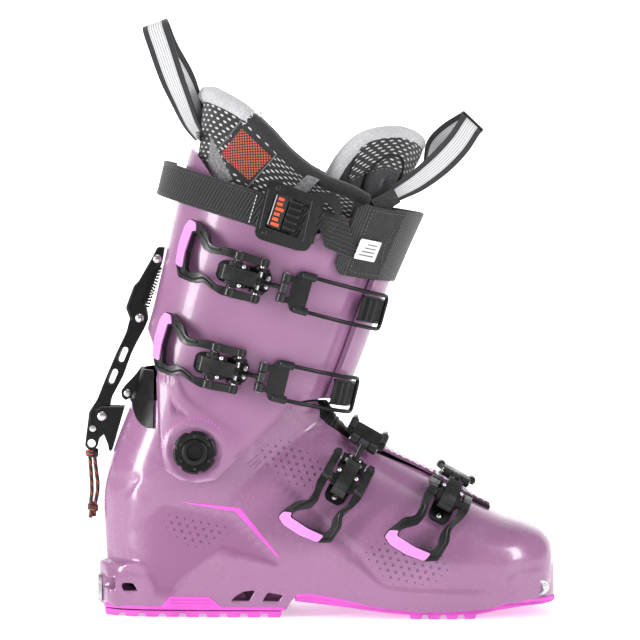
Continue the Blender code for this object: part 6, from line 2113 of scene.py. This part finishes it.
capsules("patch_stitches", dashes(patch_line([(215.6, 0.06), (237.4, 0.06), (237.4, 0.94), (215.6,
    0.94)]), 1.6, 1.0), 1.6,
         0.24, "dark_thread", "shaft", "webbing")
capsules("patch_cross", dashes(patch_line([(216.4, 0.12), (221.6, 0.5), (216.4, 0.88)], False), 1.4,
                               0.9), 1.4, 0.22,
         "dark_thread", "shaft", "webbing")

# %% Badge
k = height_on(CUFF_RIBS, -128, ((0, 226.5), (160, 226.5)))
badge_at = round_point(CUFF_RIBS, k, -128)
badge_across = (round_point(CUFF_RIBS, k, -134) - round_point(CUFF_RIBS, k, -122)).normalized()
badge_up = (round_point(CUFF_RIBS, k + 0.2, -128) - round_point(CUFF_RIBS, k - 0.2,
    -128)).normalized()
badge_out = badge_across.cross(badge_up).normalized()
badge_out = -badge_out if badge_out.y > 0 else badge_out
on_badge = lambda a, b, c: badge_at + badge_across * a + badge_up * b + badge_out * c
square = rounded([(-7.5, -6.5), (7.5, -6.5), (7.5, 6.5), (-7.5, 6.5)], 0.9)
plate_piece("badge_plate", square, 3.6, 5.1, on_badge, "steel", "shaft", "steel",
            replaces="strap_badge", bevel=0.3)
for k, b in enumerate((-3.4, -1.1, 1.2, 3.5)):
    groove = [(-5.2 + 1.2 * k, b - 0.35), (5.2, b - 0.35), (5.2, b + 0.35),
              (-5.2 + 1.2 * k, b + 0.35)]
    plate_piece(f"badge_ridge_{k}", groove, 4.9, 5.3, on_badge, "dark_thread", "shaft", "steel",
                bevel=0.1)
print("strap ready")

# %% [markdown]
# ## The liner
# The liner is a padded boot of its own. Its shaft stands out of the cuff: black leatherette
# below, a dotted mesh panel above, and a fat padded collar along its rim, grey at the heel
# and black at the sides. The rim is high at the calf and falls towards the tongue. The body
# is a skin through ribs, cut to the rim's line in side view.

# %% Liner shaft
LINER_RIBS = (
    (-26.5, 150, 80.0, 140, 41.0, 41.0, 0.50, 2.4, 2.3, 0.0),
    (-18.6, 185, 92.0, 160, 44.0, 44.0, 0.50, 2.4, 2.3, 0.0),
    (-10.7, 220, 104.0, 186, 47.0, 47.0, 0.50, 2.4, 2.3, 0.0),
    (-3.0, 252, 115.0, 212, 50.0, 50.0, 0.50, 2.4, 2.3, 0.0),
    (2.2, 282, 121.0, 236, 51.0, 51.0, 0.50, 2.4, 2.3, 0.0),
    (4.2, 305, 126.0, 254, 50.0, 50.0, 0.50, 2.4, 2.3, 0.0),
    (7.2, 330, 132.0, 272, 48.0, 48.0, 0.50, 2.4, 2.3, 0.0),
)
RIM_LINE = ((-10, 319), (5, 321), (12, 320.5), (20, 316.5), (27, 312.5), (34.5, 307), (46, 296),
            (55.4, 285.5), (68.4, 274.5),
            (80, 268), (97, 261.5), (112, 253), (130, 248))
LINER_LOWER = ((-40, 174), (-24, 171), (-8, 162), (4, 154), (40, 146), (90, 141))
LINER_REACH = 136

turns = [-LINER_REACH + 2 * LINER_REACH * i / 150 for i in range(151)]
outer = band_grid(LINER_RIBS, turns, LINER_LOWER, RIM_LINE, 40, lambda turn: 0.5)
inner = band_grid(LINER_RIBS, turns, LINER_LOWER, RIM_LINE, 40, lambda turn: 6.2)
liner = finish_piece("liner_upper", between_skins(outer, inner), "leather", "shaft", "liner",
                     "liner_shaft", bevel=1.2, segments=3)
liner_tree = tree_of(liner)

def liner_patch(name, corners, material, lift, thick, side=LATERAL, rows=16, columns=16, bevel=0.25,
                **more):
    """A sewn-on patch over the liner, from four corners in side view."""
    a, b, c, d = [Vector(p) for p in corners]
    grid = []
    for i in range(rows + 1):
        u = i / rows
        line = []
        for j in range(columns + 1):
            v = j / columns
            p = a.lerp(b, u).lerp(d.lerp(c, u), v)
            line.append(Vector((p.x, face_touch(p.x, p.y, side, liner_tree) + side * lift, p.y)))
        grid.append(line)
    half = (a - d).length / 2
    return finish_piece(name, grid_mesh(grid, across=(-half, half)), material, "shaft", "liner",
                        thick=thick, offset=0.0,
                        bevel=bevel, **more)

# %% [markdown]
# The mesh panel is a second thin skin a millimetre proud, so its edge casts a fine shadow
# like a real overlay. Thin grey piping bounds an orange dotted square, and brushed grey
# trim strips run down from the rim.

# %% Mesh panels, trim and the dotted square
MESH_LOWER = ((-20, 262), (13, 262), (22, 254), (60, 244), (90, 232), (130, 222))
for side, tag in ((LATERAL, "outer"), (MEDIAL, "inner")):
    spans = [side * (14 + 108 * i / 70) for i in range(71)]
    mesh_top = tuple((x, z - 5.5) for x, z in RIM_LINE)
    grid = band_grid(LINER_RIBS, spans, MESH_LOWER, mesh_top, 30, lambda turn: -0.5)
    finish_piece(f"liner_mesh_{tag}", grid_mesh(grid, across=(-30, 30)), "mesh", "shaft", "liner",
                 bevel=0.3, thick=1.3, offset=0.0)
    liner_patch(f"dotted_ground_{tag}", ((30, 303), (50.8, 282.6), (34.5, 264), (13.6, 283)),
                "dark_cloth", 1.5, 0.8, side)
    liner_patch(f"dotted_square_{tag}", ((30.2, 299.2), (48.4, 281.6), (34.6, 267.6), (17.2, 283)),
                "orange_mesh", 2.1, 0.4, side)
    for k, (a, b) in enumerate((((30, 304), (13.0, 283.2)), ((51.6, 283.8), (33.6, 263.2)))):
        line = []
        for i in range(15):
            x, z = a[0] + (b[0] - a[0]) * i / 14, a[1] + (b[1] - a[1]) * i / 14
            line.append(Vector((x, face_touch(x, z, side, liner_tree) + side * 2.1, z)))
        tube_piece(f"piping_{tag}_{k}", line, 0.5, "dark_thread", "shaft", "liner", sides=8)
    liner_patch(f"trim_rear_{tag}", ((1.6, 297), (10.6, 296), (24.6, 268), (15.0, 264)),
                "heather_trim", 1.9, 1.2, side)
    liner_patch(f"trim_front_{tag}", ((70, 271), (77.6, 268.4), (61, 252), (53, 256)),
                "heather_trim", 1.9, 1.2, side)
print("liner panels ready")

# %% [markdown]
# ## Padding blown up with cloth simulation
# A padded collar isn't a plain tube: the foam pushes the cover out between the places that
# hold it. A rough closed form is remeshed evenly, then given Blender's cloth with pressure
# inside and no gravity for twenty frames. How far a point may move is capped, and the result
# is kept as a plain mesh, one subdivision finer.

# %% Inflate a closed form
def inflate(obj, cap, voxel=2.4, pressure=4.0, frames=20):
    grid = obj.modifiers.new("even", "REMESH")
    grid.mode, grid.voxel_size = "VOXEL", voxel * MM
    apply_modifiers(obj)
    start = [v.co.copy() for v in obj.data.vertices]
    cloth = obj.modifiers.new("cloth", "CLOTH")
    settings = cloth.settings
    settings.quality, settings.mass = 6, 0.15
    settings.tension_stiffness = settings.compression_stiffness = 18
    settings.use_pressure, settings.uniform_pressure_force = True, pressure
    settings.effector_weights.gravity = 0.0
    scene = bpy.context.scene
    for frame_number in range(1, frames + 1):
        scene.frame_set(frame_number)
    shape = obj.evaluated_get(bpy.context.evaluated_depsgraph_get()).to_mesh()
    moved = [v.co.copy() for v in shape.vertices]
    obj.evaluated_get(bpy.context.evaluated_depsgraph_get()).to_mesh_clear()
    obj.modifiers.clear()
    for v, a, b in zip(obj.data.vertices, start, moved):
        step = b - a
        if step.length > cap * MM:
            step *= cap * MM / step.length
        v.co = a + step
    scene.frame_set(1)
    obj.data.shade_smooth()
    smooth = obj.modifiers.new("smooth", "SUBSURF")
    smooth.levels = smooth.render_levels = 1
    return obj

def rim_spot(turn, inset=2.4, sink=1.2):
    line = tuple((x, z - sink) for x, z in RIM_LINE)
    return round_point(LINER_RIBS, height_on(LINER_RIBS, turn, line, inset), turn, inset)

# %% Padded collar
def padded_tube(name, points, radius, material, slot, body="shaft", flat=1.0, hold=None,
                cap=1.6):
    obj = tube_piece(name, points, radius, material, None, slot, sides=18, flat=flat, hold=hold,
                     sharp=0)
    inflate(obj, cap)
    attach(obj, body)
    return obj

JOINT_TURN = 62
collar_path = [rim_spot(-JOINT_TURN + 2 * JOINT_TURN * i / 60) for i in range(61)]
padded_tube("heel_collar", collar_path, lambda f: 5.3 + 0.7 * math.sin(math.pi * f), "collar",
            "collar")
for side, tag in ((LATERAL, "outer"), (MEDIAL, "inner")):
    path = [rim_spot(side * (JOINT_TURN - 2.5 + (LINER_REACH + 1.5 - JOINT_TURN) * i / 50)) for i in range(51)]
    padded_tube(f"side_collar_{tag}", path, lambda f: 5.2 * min(1.0, 0.78 + 4 * f) * (1 - 0.12 * f),
                "dark_cloth", "liner")
    joint = []
    at = rim_spot(side * JOINT_TURN)
    ahead = (rim_spot(side * (JOINT_TURN + 1)) - rim_spot(side * (JOINT_TURN - 1))).normalized()
    away = Vector((0, side, 0)) - ahead * ahead.y * side
    away.normalize()
    over = ahead.cross(away)
    for k in range(16):
        angle = 2 * math.pi * k / 16
        zig = 1.3 if k % 2 else -1.3
        joint.append((at + (away * math.cos(angle) + over * math.sin(angle)) * 6.5 + ahead * 0.4,
                      ahead + 0.55 * zig *
                      (over * math.cos(angle) - away * math.sin(angle))))
    capsules(f"collar_zigzag_{tag}", joint, 2.6, 0.27, "thread", "shaft", "liner")
lining = band_grid(LINER_RIBS, [-120 + 240 * i / 90 for i in range(91)],
                   ((-20, 262), (60, 244), (130, 222)), RIM_LINE, 20, lambda turn: 7.0)
finish_piece("liner_lining", grid_mesh(lining, across=(-30, 30)), "heather_dark", "shaft", "liner",
             bevel=0.3, thick=1.2, offset=0.0)
print("collar ready")

# %% [markdown]
# ## The tongue
# The tongue guards the shin. It is an arched pad that wraps the front of the leg, with the
# same fat grey rim over its top and the dotted mesh below. Its top line in side view is an
# arch, so each column of its skin is cut where it meets that line.

# %% Tongue
TONGUE_ROWS = ((84.0, 152, 28, 26), (93.0, 178, 32, 32), (104.0, 208, 35, 36), (117.0, 238, 37, 40),
               (130.0, 265, 38, 46),
               (140.0, 285, 36, 48), (139.0, 297, 30, 40))
TONGUE_TOP = ((78, 255), (84, 268), (91, 281), (98, 289), (106, 293.5), (115, 295.5), (125, 296),
              (134, 293), (141, 286.5), (146, 280))

def tongue_point(t, angle, inset):
    x, z, half, depth = catmull(TONGUE_ROWS, t)
    turn = math.radians(angle)
    along = (depth - inset * 0.3) * (1 - math.cos(turn)) + inset
    return Vector((x - along, (half - inset) * math.sin(turn), z + 0.28 * along))

def tongue_height(angle, inset, down=0.0):
    low, high = 1.5, 6.6
    for _ in range(22):
        mid = (low + high) / 2
        p = tongue_point(mid, angle, inset)
        low, high = (mid, high) if p.z < ramp(TONGUE_TOP, p.x) - down else (low, mid)
    return (low + high) / 2

def tongue_skin(angles, rows, inset, from_t=0.0, down=0.0):
    grid = []
    for angle in angles:
        top = tongue_height(angle, inset, down)
        start = top + from_t if from_t < 0 else from_t
        grid.append([tongue_point(start + (top - start) * i / rows, angle,
                                  inset) for i in range(rows + 1)])
    return grid

angles = [-84 + 168 * i / 64 for i in range(65)]
finish_piece("tongue_pad", between_skins(tongue_skin(angles, 60, 0.3), tongue_skin(angles, 60,
    5.7)), "leather", "shaft", "liner",
             "tongue", bevel=1.4, segments=3)
angles = [-74 + 148 * i / 64 for i in range(65)]
finish_piece("tongue_mesh", grid_mesh(tongue_skin(angles, 20, -0.3, -1.15), across=(-16, 16)),
             "mesh", "shaft", "liner",
             bevel=0.3, thick=1.2, offset=0.0)
finish_piece("tongue_lining", grid_mesh(tongue_skin(angles, 24, 6.1, -2.6), across=(-30, 30)),
             "heather_dark", "shaft", "liner",
             bevel=0.3, thick=1.0, offset=0.0)
rim = []
edge_low = [(t, -84) for t in np.linspace(3.2, tongue_height(-84, 3), 9)[:-1]]
for t, angle in edge_low:
    rim.append(tongue_point(t, angle, 3.0))
rim += [tongue_point(tongue_height(a, 3.0), a, 3.0) for a in np.linspace(-84, 84, 54)]
rim += [tongue_point(t, 84, 3.0) for t, _ in reversed(edge_low)]
for _ in range(3):
    rim = [rim[0]] + [(a + 2 * b + c) / 4 for a, b, c in zip(rim, rim[1:], rim[2:])] + [rim[-1]]
padded_tube("tongue_rim", rim, lambda f: 4.3 + 1.5 * math.sin(math.pi * f) ** 0.6, "collar",
            "collar")
seam = [tongue_point(tongue_height(a, -0.9) - 1.22, a, -0.9) for a in np.linspace(-72, 72, 60)]
capsules("tongue_seam", dashes(seam, 2.2, 1.1), 2.2, 0.3, "dark_thread", "shaft", "liner")
window = [tongue_point(3.9 + 0.75 * math.sin(a), -44 + 17 * math.cos(a),
                       -0.7) for a in np.linspace(0, 2 * math.pi, 41)[:-1]]
tube_piece("tongue_vent_rim", window, 1.0, "rubber", "shaft", "liner", sides=8, closed=True)
grid = [[tongue_point(3.9 + 0.72 * s * math.sin(a), -44 + 16.5 * s * math.cos(a),
                      0.0) for s in (0.05, 0.35, 0.7, 1.0)]
        for a in np.linspace(0, 2 * math.pi, 33)]
finish_piece("tongue_vent", grid_mesh(grid, across=(0, 9)), "heather_dark", "shaft", "liner",
             thick=0.8, offset=0.0)
print("tongue ready")

# %% [markdown]
# ## Pull loops
# Two loops of striped webbing help the foot in. Webbing bends one way and barely the other,
# so each strand keeps its width direction, and turns slowly from flat at the tip to edge-on
# at the seam. A folded black end caps the tongue's loop at its tip.

# %% Loops
def loop_strand(stations, count=48):
    """Middle line and width directions from (point, direction, width) stations."""
    rows = [(*p, *Vector(way).normalized(), w) for p, way, w in stations]
    middle, lean, width = [], [], []
    for i in range(count + 1):
        r = catmull(rows, (len(rows) - 1) * i / count)
        middle.append(Vector(r[:3]))
        lean.append(Vector(r[3:6]))
        width.append(r[6])
    return middle, lean, width

def webbing_loop(name, stations, node, tip, tip_at, count=70):
    middle, lean, width = loop_strand(stations, count)
    ribbon_piece(f"{name}_webbing", middle, width, lean, "loop", "shaft", "webbing", thick=1.5,
                 replaces=node, bevel=0.35)
    if tip:
        fold = [i for i in range(count + 1) if abs(i / count - tip_at) < 0.055]
        first, last = fold[0], fold[-1]
        ribbon_piece(f"{name}_tip", middle[first:last + 1],
                     [w + 0.8 for w in width[first:last + 1]], lean[first:last + 1],
                     "rubber", "shaft", "webbing", thick=2.9, bevel=0.7)

wide = (0.94, -0.10, 0.33)
webbing_loop("heel_pull", (
    ((4.4, -16, 293), (0.75, -0.6, 0.28), 9), ((-1.5, -16.5, 302), (0.8, -0.55, 0.3), 12),
                           ((-7.5, -17.5, 316), (0.88, -0.4, 0.3), 14),
    ((-13.5, -19, 331), (0.92, -0.25, 0.33), 15.6), ((-19.5, -20.5, 349), wide, 16),
                           ((-23.0, -20.0, 359.5), wide, 16),
    ((-23.6, -14, 363.2), wide, 16), ((-22.2, -8.4, 360.0), wide, 16),
                           ((-17.5, -5.5, 348), wide, 16),
    ((-9.0, -2.5, 333), (0.92, 0.1, 0.33), 15.6), ((-2.2, 0.5, 320), (0.75, 0.5, 0.4), 13),
                           ((2.2, 2, 309), (0.5, 0.85, 0.2), 12),
    ((3.0, 3, 298), (0.2, 0.98, 0), 11)), "heel_loop", False, 0.5)
lean = (0.72, -0.12, -0.68)
webbing_loop("tongue_pull", (
    ((116, -33, 254), (0.45, 0.35, -0.8), 9), ((124, -31, 259.5), (0.5, 0.25, -0.8), 10.5),
                             ((137, -27, 267), (0.6, 0.0, -0.78), 13.5),
    ((151, -22, 278), lean, 15.6), ((162, -18, 289.5), lean, 16), ((169.0, -15, 299.8), lean, 16),
                             ((171.2, -10, 303.2), lean, 16),
    ((168.2, -5.4, 302.2), lean, 16), ((158, -3.5, 295.5), lean, 16),
                             ((148.5, -2.5, 287), (0.6, 0.2, -0.75), 14),
    ((143.5, -1.5, 277), (0.3, 0.9, -0.2), 12), ((138.6, -1, 268), (0.1, 0.99, -0.1), 11)),
             "tongue_loop", True, 0.545)
ribbon_piece("tongue_pull_tab", [Vector((110, -36.5, 251)), Vector((117, -33.6, 254.5)),
                                 Vector((124, -31.0, 258.8))], 11,
             (0.45, 0.3, -0.84), "leather", "shaft", "webbing", thick=2.6, bevel=0.5)
print("loops ready")

# %% [markdown]
# ## The walk lock
# A black channel on the cuff's spine holds a lever whose lower end drops onto a pin in the
# shell. A bronze coil spring keeps it shut. All of it is stamped or moulded plate with
# through rivets, so it is built from outlines in side view with bevelled edges, raised rims
# and domed heads.

# %% Channel, lever and bracket
RIVET_SPOTS = {"top": (-22.9, 218.6), "pivot": (-34.0, 182.0), "catch": (-57.5, 121.2),
               "lever": (-63.4, 113.3), "ring": (-64.3, 104.0)}
CHEEK = ((-23.0, 225.8), (-18.6, 225.8), (-19.6, 219), (-21.0, 213.8), (-25.6, 211.5), (-29.8, 201),
         (-32.6, 192.5),
         (-29.9, 187.5), (-28.8, 182), (-30.5, 178), (-35, 176.6), (-39.5, 180), (-42.6, 188.5),
         (-37.6, 202),
         (-34.6, 205), (-26.5, 219))
LEVER_SIDE = ((-38.8, 184.5), (-36.5, 186.6), (-33, 187.2), (-29.8, 185.2), (-28.8, 181.5),
              (-31, 176), (-36.5, 166),
              (-40, 158.5), (-44.5, 146), (-51.5, 133), (-53.4, 124), (-54.0, 117), (-56.1, 110.2),
              (-59.7, 106.7),
              (-60.4, 102.6), (-62.4, 100.2), (-66.2, 100.2), (-68.3, 102.7), (-67.0, 112.7),
              (-65.6, 123.8),
              (-60.8, 131), (-54.8, 146), (-48.8, 160), (-42.5, 173), (-40.4, 181))
WING = ((-57.8, 127.2), (-43.6, 127.6), (-51.6, 99.6), (-53.2, 99.6), (-53.8, 103.5),
        (-56.2, 109.5), (-61.7, 117.2),
        (-62.5, 121), (-61.1, 125.5))

# %% [markdown]
# Raised rims stiffen the stamped plates, so each gets a fine tube along its edge.

# %% Rims on the lock
def rim_line(name, points, y, radius, material, body, closed=False):
    tube_piece(name, [Vector((x, y, z)) for x, z in points], radius, material, body, "black",
               sides=8, closed=closed)

cheeks = [plate_mesh(rounded(CHEEK, 1.0), side * 3.75, side * 5.7, side_place,
                     holes=[circle(*RIVET_SPOTS["top"], 1.95, 20)], step=4)
          for side in (LATERAL, MEDIAL)]
web = rounded([(-21.6, 213), (-19.6, 219), (-18.9, 225.4), (-20.4, 225.4), (-23.0, 218),
               (-29.5, 203), (-33.6, 192.4), (-31.4, 190)], 0.6)
cheeks.append(plate_mesh(web, -4.2, 4.2, side_place, step=4))
finish_piece("lock_channel", join_meshes(cheeks), "black", "shaft", "black", "lock_plate",
             bevel=0.45, sharp=40)
for side, tag in ((LATERAL, "outer"), (MEDIAL, "inner")):
    rim_line(f"lock_channel_rim_{tag}", [(-24.4, 221.6), (-27.2, 216.4), (-34.0, 204.6), (-36.6,
        202), (-41.4, 188.8), (-38.8, 181)],
             side * 5.75, 0.55, "lever", "shaft")
holes = [circle(*RIVET_SPOTS["pivot"], 1.95, 20), circle(*RIVET_SPOTS["ring"], 2.6, 20),
         stadium(-43.1, 162.2, -45.6, 156.2, 1.7), stadium(-49.4, 148.6, -51.8, 142.8, 1.7)]
lever_parts = [plate_mesh(rounded(LEVER_SIDE, 1.2), -3.0, 3.0, side_place, holes=holes, step=4)]
x, z = RIVET_SPOTS["lever"]
for side in (LATERAL, MEDIAL):
    lever_parts.append(bar((x, side * 2.6, z), (x, side * 3.5, z), 2.6, 24))
finish_piece("lock_arm", join_meshes(lever_parts), "black", "lock", "black", "lock_lever",
             bevel=0.55, segments=3, sharp=40)
for side, tag in ((LATERAL, "outer"), (MEDIAL, "inner")):
    rim_line(f"lock_arm_rim_{tag}", [(-41.2, 175), (-48.0, 160), (-54.0, 146), (-60.0, 131.6),
                                     (-64.4, 124), (-65.6, 113)],
             side * 3.0, 0.5, "lever", "lock")
    rim_line(f"lock_arm_slot_{tag}_a", stadium(-43.1, 162.2, -45.6, 156.2, 2.15), side * 3.0, 0.4,
             "lever", "lock", True)
    rim_line(f"lock_arm_slot_{tag}_b", stadium(-49.4, 148.6, -51.8, 142.8, 2.15), side * 3.0, 0.4,
             "lever", "lock", True)
spots = [((x, side * 3.4, z), (0, side, 0)) for side in (LATERAL, MEDIAL)]
rivets("lock_arm_rivet", spots, rivet_profile(2.2, 0.26), 24, "lock")

wings = [plate_mesh(rounded(WING, 1.0), side * 3.75, side * 5.75, side_place,
                    step=4) for side in (LATERAL, MEDIAL)]
wings.append(plate_mesh(rounded([(-46.6, 127.3), (-43.9, 127.4), (-51.8, 100.2), (-53.0, 100.2)],
                                0.4), -4.0, 4.0, side_place, step=4))
finish_piece("lock_catch_bracket", join_meshes(wings), "black", "foot", "black", "lock_bracket",
             bevel=0.45, sharp=40)
for side, tag in ((LATERAL, "outer"), (MEDIAL, "inner")):
    rim_line(f"lock_catch_rim_{tag}", [(-61.4, 124.6), (-57.8, 126.8), (-44.6, 127.0)], side * 5.7,
             0.5, "lever", "foot")
x, z = RIVET_SPOTS["catch"]
spots = [((x, side * 5.7, z), (0, side, 0)) for side in (LATERAL, MEDIAL)]
rivets("lock_catch_rivet", spots, rivet_profile(3.1, 1.2), 28, "foot")

# %% [markdown]
# The two long rivets are turned in one piece with both heads. The spring is one wire wound
# round the line between its seats, with flat closed turns at the ends, and behind it a
# toothed black rubber backing keeps ice out.

# %% Rivets and spring
for tag, node in (("top", "lock_rivet_top"), ("pivot", "lock_rivet_pivot")):
    x, z = RIVET_SPOTS[tag]
    half = 5.8
    profile = [(0.5, -half - 1.75), (1.6, -half - 1.55), (2.5, -half - 1.05), (3.0, -half - 0.2),
               (3.0, -half + 0.05), (1.6, -half + 0.06)]
    profile += [(r, -d) for r, d in reversed(profile)]
    turned_piece(f"lock_pin_{tag}", profile, (x, 0, z), (0, 1, 0), "steel", "shaft", "steel", 32,
                 node, sharp=50)
start, end = Vector((-23.6, 0, 214.2)), Vector((-32.0, 0, 188.9))
axis = (end - start).normalized()
side_way = Vector((0, 1, 0))
up = axis.cross(side_way)
coil, turns, steps = [], 15, 16
for i in range(turns * steps + 1):
    f = i / (turns * steps)
    pace = 0.03 * min(1, f / 0.08) + 0.94 * float(np.clip((f - 0.04) / 0.92, 0,
                                                          1)) + 0.03 * max(0.0, (f - 0.92) / 0.08)
    angle = 2 * math.pi * i / steps
    coil.append(start.lerp(end, pace) + (side_way * math.cos(angle) + up * math.sin(angle)) * 2.25)
tube_piece("lock_coil", coil, 0.5, "spring", "shaft", "steel", sides=8, replaces="lock_spring",
           sharp=0)
teeth = []
for k in range(13):
    p = start.lerp(end, (k + 0.5) / 13) + up * (3.0 if up.x > 0 else -3.0)
    teeth.append((p, side_way))
capsules("lock_backing_teeth", teeth, 6.2, 0.75, "rubber", "shaft", "black")

# %% [markdown]
# ## The spine
# A black moulded spine fills the gap between the shell's rear rim and the cuff. It is a
# skin a little outside the shell's, with a rear tab where the lock's rivet sits.

# %% Spine
GUSSET_EDGE_X, GUSSET_TOP_Z = -24.3, 151.0

def spine_point(z, w, outset):
    line = ((-100, z), (100, z))
    low, high = 0.0, 90.0
    for _ in range(16):
        turn = (low + high) / 2
        p = round_point(SHELL_RIBS, height_on(SHELL_RIBS, turn, line, -outset), turn, -outset)
        low, high = (low, turn) if p.x > GUSSET_EDGE_X else (turn, high)
    turn = w * low
    return round_point(SHELL_RIBS, height_on(SHELL_RIBS, turn, line, -outset), turn, -outset)

grids = []
for outset in (1.8, 0.5):
    grid = []
    for i in range(17):
        row = []
        for j in range(-10, 11):
            w = j / 10
            low = 131 - 15 * float(smoothstep(0.25, 0.95, abs(w)))
            row.append(spine_point(low + (GUSSET_TOP_Z - low) * i / 16, w, outset))
        grid.append(row)
    grids.append(grid)
finish_piece("spine_skin", between_skins(*grids), "black", "foot", "black", "rear_gusset",
             bevel=0.35)
EAR = ((-43.0, 131), (-45.2, 133), (-45.6, 137.0), (-43.2, 140.2), (-37.2, 146.5), (-33.0, 152),
       (-31.4, 151), (-34.2, 144),
       (-37.4, 137.5), (-39.4, 132.5))
plate_piece("spine_tab", rounded(EAR, 0.9), -5.2, 5.2, side_place, "black", "foot", "black",
            bevel=0.6, step=4)
spots = [((-41.6, side * 5.0, 135.4), (0, side, 0)) for side in (LATERAL, MEDIAL)]
rivets("spine_rivets", spots, rivet_profile(2.6, 1.1), 24, "foot")

# %% [markdown]
# ## The pull cord
# A short loop of braided cord, black with orange flecks, lifts the lock's lever. It has two
# strands between an upper and a lower knot, and it hangs. Each strand's length along its
# path is printed. A knot is drawn as one overhand turn: a tube that
# winds round the strands and tucks under itself.

# %% Cord and knots
CORD_A = ((-65.4, 0.2, 95.4), (-64.9, 0.2, 88), (-64.4, 0.1, 80), (-64.3, 0, 73), (-64.9, 0, 67.6))
CORD_B = ((-62.5, -0.2, 95.4), (-61.4, -0.2, 86), (-60.6, -0.2, 79), (-60.9, -0.1, 73),
          (-62.1, 0, 67.6))
CORD_RADIUS = 1.2
strands = []
for name, points, head, tail in (
        ("a", CORD_A, ((-64.9, 1.2, 101.2), (-65.3, 0.7, 98.2)),
         ((-64.6, -0.4, 64.2), (-64.9, -0.6, 60.4), (-65.2, -0.6, 57.6))),
        ("b", CORD_B, ((-63.4, -1.2, 101.2), (-62.8, -0.7, 98.2)),
         ((-62.9, 0.4, 64.2), (-62.9, 0.6, 60.6), (-62.7, 0.6, 58.3)))):
    path = smooth_path((*head, *points, *tail), 40)
    strand = tube_piece(f"cord_strand_{name}", path, CORD_RADIUS, "cord", "pull", "cord", sides=14,
                        replaces=f"pull_cord_{name}", sharp=0)
    strands.append((strand, path))

def knot_path(centre, radius, height, turns=2.2, count=56, phase=0.0):
    points = []
    for i in range(count + 1):
        f = i / count
        angle = 2 * math.pi * turns * f + phase
        r = radius * (1 + 0.12 * math.sin(3 * angle))
        points.append(Vector(centre) + Vector((r * math.cos(angle), r * 0.85 * math.sin(angle),
                                               height * (0.5 - f) + 0.5 * math.sin(2 * angle))))
    return points

high = tube_piece("cord_knot_high", knot_path((-64.2, 0, 97.7), 2.7, 3.0), 1.3, "cord", "pull",
                  "cord", sides=12,
                  replaces="pull_knot_high", sharp=0)
low = tube_piece("cord_knot_low", knot_path((-63.7, 0, 64.0), 2.1, 4.0, phase=1.2), 1.25, "cord",
                 "pull", "cord", sides=12,
                 replaces="pull_knot_low", sharp=0)
for (strand, path), with_pieces in zip(strands, ([high], [low])):
    long = sum((b - a).length for a, b in zip(path, path[1:])) * MM
    [tuple(p * MM) for p in path]
    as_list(with_pieces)
    print(strand.name, "length in mm:", round(long / MM, 1))
